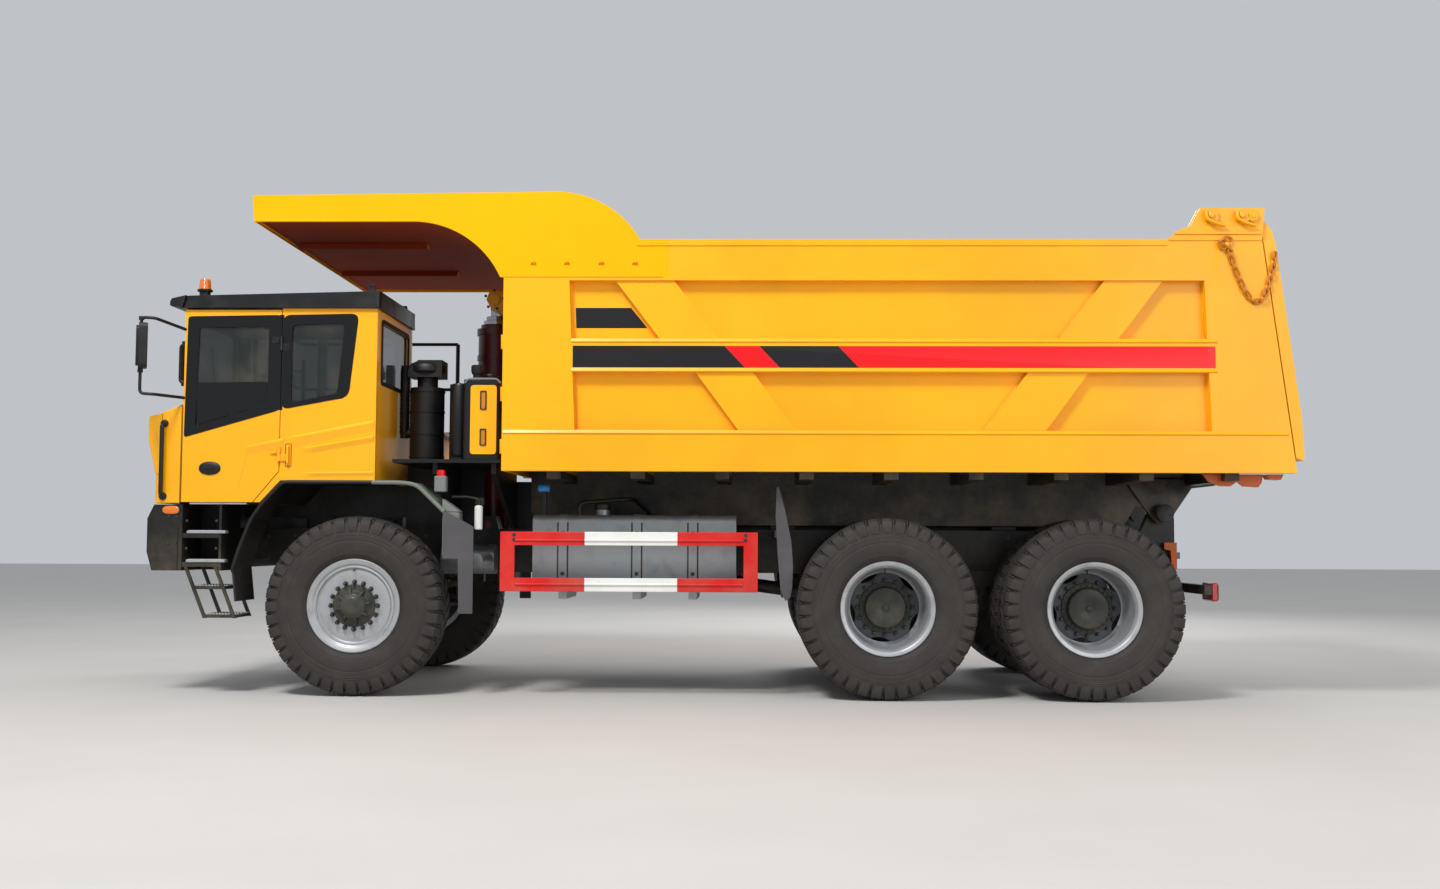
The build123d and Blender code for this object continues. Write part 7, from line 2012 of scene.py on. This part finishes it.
@dataclass
class Equipment:
    """Tanks, cleaner, guards, fenders and what is bolted along the frame.

    Attributes:
        tank_y: the outer face of the hydraulic tank.
    """

    tank_y: float = 1.590

    def hydraulic_tank(self) -> None:
        """The yellow plate with two sight gauges, the pale rim, filler neck and breather."""
        plate_outline = rounded_rectangle(1.826, 2.046, 2.018, 2.600, 0.03)
        piece("tank_plate", plate(plate_outline, 1, self.tank_y - 0.002, self.tank_y + 0.006), YELLOW)
        gauges = Shape()
        for low, high in ((2.392, 2.552), (2.090, 2.232)):
            wide = rounded_rectangle(1.910, 1.964, low, high, 0.010)
            slim = rounded_rectangle(1.919, 1.955, low + 0.010, high - 0.010, 0.008)
            gauges.add(collar(wide, slim, 1, self.tank_y + 0.005, self.tank_y + 0.014))
        piece("gauge_frames", gauges, TRIM)
        glasses = joined(*(box((1.922, 1.952), (self.tank_y + 0.004, self.tank_y + 0.0085), z, 0.002)
                           for z in ((2.410, 2.534), (2.108, 2.214))))
        piece("gauge_glasses", glasses, CHAIN_YELLOW, "chassis")
        rim = pipe([(2.096, self.tank_y - 0.004, 2.62), (2.070, self.tank_y - 0.004, 2.655),
                    (1.830, self.tank_y - 0.004, 2.655), (1.798, self.tank_y - 0.004, 2.62)], 0.03, 0.008, 10)
        piece("tank_rim", rim, DECK_PAINT)
        necks = turned(
            [(0.0, 0.052), (0.018, 0.056), (0.070, 0.056), (0.076, 0.050)], (2.010, 1.460, 2.706), 32, 2)
        necks.add(
            turned([(0.0, 0.068), (0.012, 0.070), (0.030, 0.064), (0.034, 0.0)], (1.930, 1.300, 2.690), 32, 2))
        tenths = [number * math.pi / 5 for number in range(10)]
        necks.add(posts((2.010, 1.460), 0.055, tenths, 0.004, (2.728, 2.776), 0.001))
        piece("tank_caps", necks, TRIM)

    def air_cleaner(self) -> None:
        """Rain cap, clamps and ribs of the air cleaner, and the ribbed pipes beside it."""
        parts = Shape()
        profile = [(0.0, 0.152), (0.014, 0.166), (0.060, 0.166), (0.085, 0.150), (0.110, 0.100), (0.120, 0.0)]
        parts.add(turned(profile, (2.560, 0.900, 2.770), 48, 2))
        for z in (2.02, 2.22, 2.42, 2.60):
            parts.add(turned(hoop(0.0, 0.016, 0.149, 0.156), (2.560, 0.900, z), 48, 2))
        folds = enumerate(np.linspace(2.24, 2.82, 30))
        bellows = [(0.0, 0.0), *((z - 2.24, 0.0405 + 0.004 * (n % 2)) for n, z in folds), (0.58, 0.0)]
        parts.add(turned(bellows, (2.775, 0.840, 2.24), 32, 2))
        piece("cleaner_parts", parts, TRIM, smooth=40.0)
        clamps = Shape()
        for z in (2.62, 2.745):
            clamps.add(turned(hoop(0.0, 0.014, 0.089, 0.0935), (2.560, 0.900, z), 48, 2))
            clamps.add(box((2.552, 2.568), (0.990, 1.012), (z + 0.001, z + 0.013), 0.002))
        piece("cleaner_clamps", clamps, NUT)

    def shelf_items(self) -> None:
        """The grey box with its red cap, the white canister, an upright accumulator, pipes, a plug."""
        grey = box((2.245, 2.345), (1.500, 1.585), (1.700, 1.835), 0.008)
        grey.add(box((2.120, 2.262), (1.470, 1.630), (1.160, 1.535), 0.012))
        grey.add(plate([(2.262, 1.535), (2.120, 1.535), (2.262, 1.640)], 1, 1.470, 1.630))
        piece("grey_boxes", grey, DECK_PAINT)
        cap = turned([(0.0, 0.036), (0.020, 0.038), (0.050, 0.034), (0.056, 0.0)], (2.295, 1.542, 1.834), 28, 2)
        piece("red_cap", cap, RED_PAINT)
        canister = turned([(0.0, 0.026), (0.008, 0.034), (0.190, 0.034), (0.200, 0.026), (0.206, 0.0)],
                          (1.963, 1.600, 1.385), 32, 2)
        piece("white_canister", canister, WHITE_PAINT)
        dark = turned([(0.0, 0.062), (0.020, 0.070), (0.600, 0.070), (0.620, 0.060), (0.630, 0.0)],
                      (2.170, 1.430, 2.005), 36, 2)
        dark.add(box((1.925, 2.000), (1.520, 1.575), (1.590, 1.650), 0.006))
        dark.add(pipe([(1.963, 1.595, 1.585), (1.963, 1.595, 1.640), (2.060, 1.560, 1.660),
                       (2.200, 1.520, 1.660)], 0.04, 0.012, 10))
        piece("accumulator", dark, BLACK_PAINT)
        blue = turned(
            [(0.0, 0.030), (0.040, 0.034), (0.090, 0.034), (0.100, 0.020)], (1.400, 1.370, 1.740), 24, 0)
        piece("blue_plug", blue, BLUE_PLASTIC)
        stand = box((1.425, 1.465), (1.350, 1.390), (1.500, 1.725), 0.004)
        stand.add(pipe([(1.15, 1.33, 1.50), (1.15, 1.33, 1.62), (0.70, 1.20, 1.66), (0.60, 0.60, 1.55),
                        (0.60, 0.48, 1.41)], 0.1, 0.018, 10))
        piece("tank_pipes", stand, BLACK_PAINT)

    def fuel_tank(self) -> None:
        """Seams beside the straps, the straps' bolts and the filler cap of the fuel tank."""
        seams, straps = Shape(), (1.274, 0.648, 0.175)
        for strap in straps:
            for edge in (-0.041, 0.041):
                seams.add(
                    box((strap + edge - 0.007, strap + edge + 0.007), (1.444, 1.4535), (0.935, 1.450), 0.002))
        piece("tank_seams", seams, FLAP)
        heads = [(strap, 1.458, z) for strap in straps for z in (1.02, 1.36)]
        piece("strap_bolts", bolts(heads, (0, 1, 0), 0.014, 0.012), NUT)
        cap = turned(
            [(0.0, 0.068), (0.016, 0.072), (0.046, 0.072), (0.054, 0.060)], (0.960, 1.250, 1.560), 40, 2)
        piece("fuel_cap", cap, TRIM)

    def guards(self) -> None:
        """Bead tubes along the guards' rails and bolts at their arms."""
        beads = Shape()
        for z in (1.300, 0.936):
            beads.add(tube([(-0.245, 1.6925, z), (1.638, 1.6925, z)], 0.010, 10))
        piece("guard_beads", both_sides(beads), GUARD_PAINT)
        clips = Shape()
        for px in (1.650, -0.270):
            for z in (1.305, 1.345):
                clips.add(bolts([(px, 1.690, z)], (0, 1, 0), 0.012, 0.010))
        piece("guard_clips", both_sides(clips), NUT)

    def fenders(self) -> None:
        """Rolled edges along the fenders, the flaps' skirts and wings, and their bolts."""
        line = [(4.022, 1.060), (3.975, 1.220), (3.880, 1.470), (3.790, 1.604), (3.618, 1.790), (2.860, 1.790)]
        y = 1.6505
        dark = pipe([(x - 0.012, y, z - 0.012) for x, z in line], 0.05, 0.016, 10, 5)
        piece("fender_edge_front", both_sides(dark), TRIM)
        rear = [(2.850, 1.790), (2.600, 1.790), (2.477, 1.772), (2.246, 1.549)]
        grey = pipe([(x, y, z - 0.014) for x, z in rear], 0.06, 0.018, 10, 5)
        piece("fender_edge_rear", both_sides(grey), FENDER)
        skirt = [(-0.520, 1.500), (-0.528, 1.746), (-0.548, 1.746), (-0.600, 1.550), (-0.650, 1.300),
                 (-0.664, 1.100), (-0.658, 0.920), (-0.640, 0.830), (-0.600, 0.805), (-0.560, 0.900),
                 (-0.536, 1.200)]
        piece("flap_skirts", both_sides(plate(skirt, 1, 1.604, 1.616)), FENDER_DARK)
        wing = [(2.248, 1.548), (1.994, 1.409), (1.994, 0.689), (2.110, 0.689), (2.121, 1.145), (2.248, 1.145)]
        piece("rear_wings", both_sides(plate(wing, 1, 1.652, 1.662)), FENDER_DARK)
        heads = [(2.262, 1.30, 1.470), (2.262, 1.50, 1.470), (-0.578, 1.10, 1.60), (-0.578, 1.50, 1.60)]
        piece("flap_bolts", both_sides(bolts(heads, (1, 0, 0), 0.012, 0.010)), NUT)

    def fillers(self) -> None:
        """Cable trays and hose panels in black that close the view through the frame: painted shade in the
        frame's gap.
        """
        # Painted shade: the black panels stand where the frame's gap lies in shade.
        panels = box((-3.250, 1.300), (-0.020, 0.020), (1.180, 1.4385), 0.004)
        panels.add(box((1.440, 1.900), (0.300, 0.330), (1.300, 1.835), 0.004))
        panels.add(box((2.120, 2.840), (0.420, 0.445), (1.300, 2.020), 0.004))
        for z in (1.24, 1.30, 1.36):
            panels.add(tube([(-3.2, 0.034, z), (-1.0, 0.038, z - 0.01), (1.25, 0.034, z)], 0.014, 10))
        piece("frame_trays_painted_shade", panels, BLACK_PAINT)

    def frame_parts(self) -> None:
        """Bolts on the rails, spring clamps, shock absorbers, brake chambers and the rear brackets."""
        rows = np.array([(x, 0.486, z) for x in np.arange(-3.6, 4.1, 0.24) for z in (1.33, 1.12)])
        piece("rail_bolts", both_sides(bolts(rows, (0, 1, 0), 0.013, 0.010)), NUT)
        clamps = Shape()
        for px in (2.905, 3.095):
            for y in (0.372, 0.488):
                clamps.add(tube([(px, y, 0.800), (px, y, 1.000)], 0.011, 10))
        clamps.add(box((2.880, 3.120), (0.360, 0.500), (0.970, 0.992), 0.006))
        shock = turned([(0.0, 0.030), (0.020, 0.040), (0.260, 0.040), (0.270, 0.028), (0.280, 0.020),
                        (0.420, 0.020), (0.430, 0.0)], (3.330, 0.580, 0.800), 28, 2)
        clamps.add(shock)
        for px in (-1.440, -3.130):
            clamps.add(turned([(0.0, 0.070), (0.020, 0.085), (0.090, 0.085), (0.100, 0.092), (0.112, 0.092),
                               (0.122, 0.085), (0.170, 0.080), (0.180, 0.0)], (px + 0.17, 0.560, 0.990), 32, 2))
            clamps.add(box((px + 0.10, px + 0.26), (0.520, 0.600), (0.850, 0.996), 0.008))
        piece("spring_clamps", both_sides(clamps), BLACK_PAINT)
        # The rear brackets are yellow parts, coloured orange as painted shade.
        bracket = plate([(-4.020, 1.300), (-4.130, 1.300), (-4.130, 1.060), (-4.085, 1.060), (-4.075, 1.230),
                         (-4.020, 1.240)], 1, 0.486, 0.560)
        piece("rear_brackets", both_sides(bracket), BRACKET_SHADE_PAINT)

    def right_side(self) -> None:
        """Handles and seams of the right-hand tanks, the hood's louvres and the deck's cap."""
        parts = Shape()
        for px in (0.05, 0.62, 1.19):
            parts.add(box((px - 0.06, px + 0.06), (-1.462, -1.449), (1.30, 1.335), 0.004))
            parts.add(box((px - 0.26, px + 0.26), (-1.4545, -1.4485), (0.935, 0.945), 0.002))
        for pz in (1.72, 1.78, 1.84, 1.90, 1.96, 2.02):
            parts.add(box((3.05, 3.75), (-1.656, -1.649), (pz + 0.20, pz + 0.222), 0.003))
        piece("box_trim", parts, TRIM)
        cap = turned([(0.0, 0.062), (0.014, 0.066), (0.030, 0.058), (0.034, 0.0)], (3.10, -0.62, 2.360), 32, 2)
        piece("deck_cap", cap, TRIM)

    def build(self) -> None:
        """Makes all the equipment."""
        self.hydraulic_tank()
        self.air_cleaner()
        self.shelf_items()
        self.fuel_tank()
        self.guards()
        self.fenders()
        self.fillers()
        self.frame_parts()
        self.right_side()


# Carried-over solids

SOLID_FINISHES: dict[object, tuple[str, ...]] = {
    BLACK_PAINT: ("frame_rails", "axles", "leaf_springs", "tie_rod", "propeller_shafts", "steps", "hand_rails",
                  "right_side_tanks", "rear_shelf", "coolers"),
    IRON: ("knuckle_left", "knuckle_right", "engine_block"),
    TRIM: ("cab_fittings", "front_grille", "mirrors", "air_cleaner"),
    GLASS: ("cab_glass", "door_glass"),
    HOOD_PAINT: ("engine_hood",),
    REAR_YELLOW: ("cab_floor",),
    FENDER_FINISH: ("fenders",),
    FLAP: ("mudflaps",),
    TANK: ("exhaust",),
    MAROON: ("hoist_barrel", "hoist_stage_outer"),
    CHROME: ("hoist_stage_middle", "hoist_stage_inner"),
}

FOLDED_SOLIDS: tuple[tuple[str, object, str, float], ...] = (
    ("body_sides", BODY_YELLOW, "dump_body", 0.010),
    ("body_front_wall", YELLOW, "dump_body", 0.006),
    ("body_floor", FLOOR_YELLOW_SHADED, "dump_body", 0.006),
    ("canopy", CANOPY_SHADED, "dump_body", 0.006),
    ("tailgate", YELLOW, "tailgate", 0.008),
    ("cab_left_panel", SIDE_YELLOW, "chassis", 0.004),
    ("cab_door", SIDE_YELLOW, "door", 0.004),
    ("cab_right_panel", RIGHT_YELLOW, "chassis", 0.004),
    ("cab_rear_panel", REAR_YELLOW, "chassis", 0.004),
    ("cab_front_panel", FRONT_YELLOW, "chassis", 0.004),
    ("cab_roof", ROOF_BLACK, "chassis", 0.014),
    ("front_mask", CAB_YELLOW, "chassis", 0.008),
    ("bumper", BLACK_PAINT, "chassis", 0.014),
    ("deck", DECK_FINISH, "chassis", 0.004),
    ("side_guards", GUARD_PAINT, "chassis", 0.008),
    ("fuel_tank", TANK, "chassis", 0.004),
    ("hydraulic_tank", BLACK_PAINT, "chassis", 0.006),
)


def dress_solids() -> None:
    """Gives every carried-over solid its finish or its folded copy."""
    for finish, nodes in SOLID_FINISHES.items():
        for node in nodes:
            dress(node, finish)
    for row in FOLDED_SOLIDS:
        soften(*row)


# Studio

@dataclass
class Studio:
    """Floor, lights and camera.

    Attributes:
        eye: the camera's place.
        lens: focal length in millimetres on a 36 mm frame.
        yaw: turn of the view from straight across the truck, in degrees.
        pitch: upward tilt in degrees.
        roll: in radians.
        sky: colour of the light from all round.
        sky_strength: its strength.
    """

    eye: Point = (-0.316, 14.113, 1.307)
    lens: float = 37.5
    yaw: float = 1.2
    pitch: float = 3.643
    roll: float = 0.004
    sky: tuple[float, ...] = (0.90, 0.94, 1.0, 1.0)
    sky_strength: float = 0.58

    def camera(self) -> None:
        """Sets the camera at the photograph's place and angle."""
        turn, rise = math.radians(self.yaw), math.radians(self.pitch)
        level = Vector((math.sin(turn), -math.cos(turn), 0.0))
        right = Vector((-math.cos(turn), -math.sin(turn), 0.0))
        ahead = level * math.cos(rise) + Vector((0.0, 0.0, math.sin(rise)))
        up = right.cross(ahead)
        across = right * math.cos(self.roll) + up * math.sin(self.roll)
        above = up * math.cos(self.roll) - right * math.sin(self.roll)
        data = bpy.data.cameras.new("view")
        data.lens, data.sensor_width, data.sensor_fit = self.lens, 36.0, "HORIZONTAL"
        data.clip_end = 200.0
        camera = bpy.data.objects.new("view", data)
        matrix = Matrix((across, above, -ahead)).transposed().to_4x4()
        matrix.translation = Vector(self.eye)
        camera.matrix_world = matrix
        bpy.context.scene.collection.objects.link(camera)
        bpy.context.scene.camera = camera

    def lamp(self, name: str, place: Point, target: Point, power: float, size: float) -> None:
        """A soft square light that shines from a place towards a target."""
        data = bpy.data.lights.new(name, "AREA")
        data.energy, data.size = power, size
        made = bpy.data.objects.new(name, data)
        made.location = place
        made.rotation_euler = (Vector(target) - Vector(place)).to_track_quat("-Z", "Y").to_euler()
        bpy.context.scene.collection.objects.link(made)

    def build(self) -> None:
        """Makes the floor, the sky light, the lamps and the camera."""
        piece_of_floor()
        world = bpy.data.worlds.new("studio")
        world.use_nodes = True
        inputs = world.node_tree.nodes["Background"].inputs
        inputs["Color"].default_value, inputs["Strength"].default_value = self.sky, self.sky_strength
        bpy.context.scene.world = world
        bpy.context.scene.view_settings.view_transform = "Standard"
        self.lamp("key", (4.5, 9.5, 13.0), (0.0, 0.0, 1.5), 1750.0, 3.0)
        self.lamp("fill", (-9.0, 11.0, 5.0), (0.0, 0.0, 1.6), 420.0, 7.0)
        self.lamp("rear", (-4.0, -12.0, 9.0), (0.0, 0.0, 2.0), 700.0, 7.0)
        self.camera()


def piece_of_floor() -> bpy.types.Object:
    """The pale floor: one wide flat sheet with its own plain finish."""
    mesh = bpy.data.meshes.new("floor")
    mesh.from_pydata(
        [(-60, -60, -0.002), (60, -60, -0.002), (60, 60, -0.002), (-60, 60, -0.002)], [], [(0, 1, 2, 3)])
    painter = Painter("pale_floor")
    painter.set(Base_Color=painter.mix(
        painter.noise(0.6, 5.0), (0.52, 0.50, 0.47, 1.0), (0.60, 0.58, 0.55, 1.0)), Roughness=0.75)
    mesh.materials.append(painter.material)
    floor = bpy.data.objects.new("floor", mesh)
    bpy.context.scene.collection.objects.link(floor)
    return floor


def main() -> None:
    """Builds the truck's looks in order."""
    logging.basicConfig(level=logging.INFO, format="%(message)s")
    for wheel in wheel_sets():
        wheel.build()
    for part in (Cab(), Seat(), FrontEnd(), DumpBody(), Hoist(), Equipment()):
        part.build()
    dress_solids()
    Studio().build()


if __name__ == "__main__":
    main()
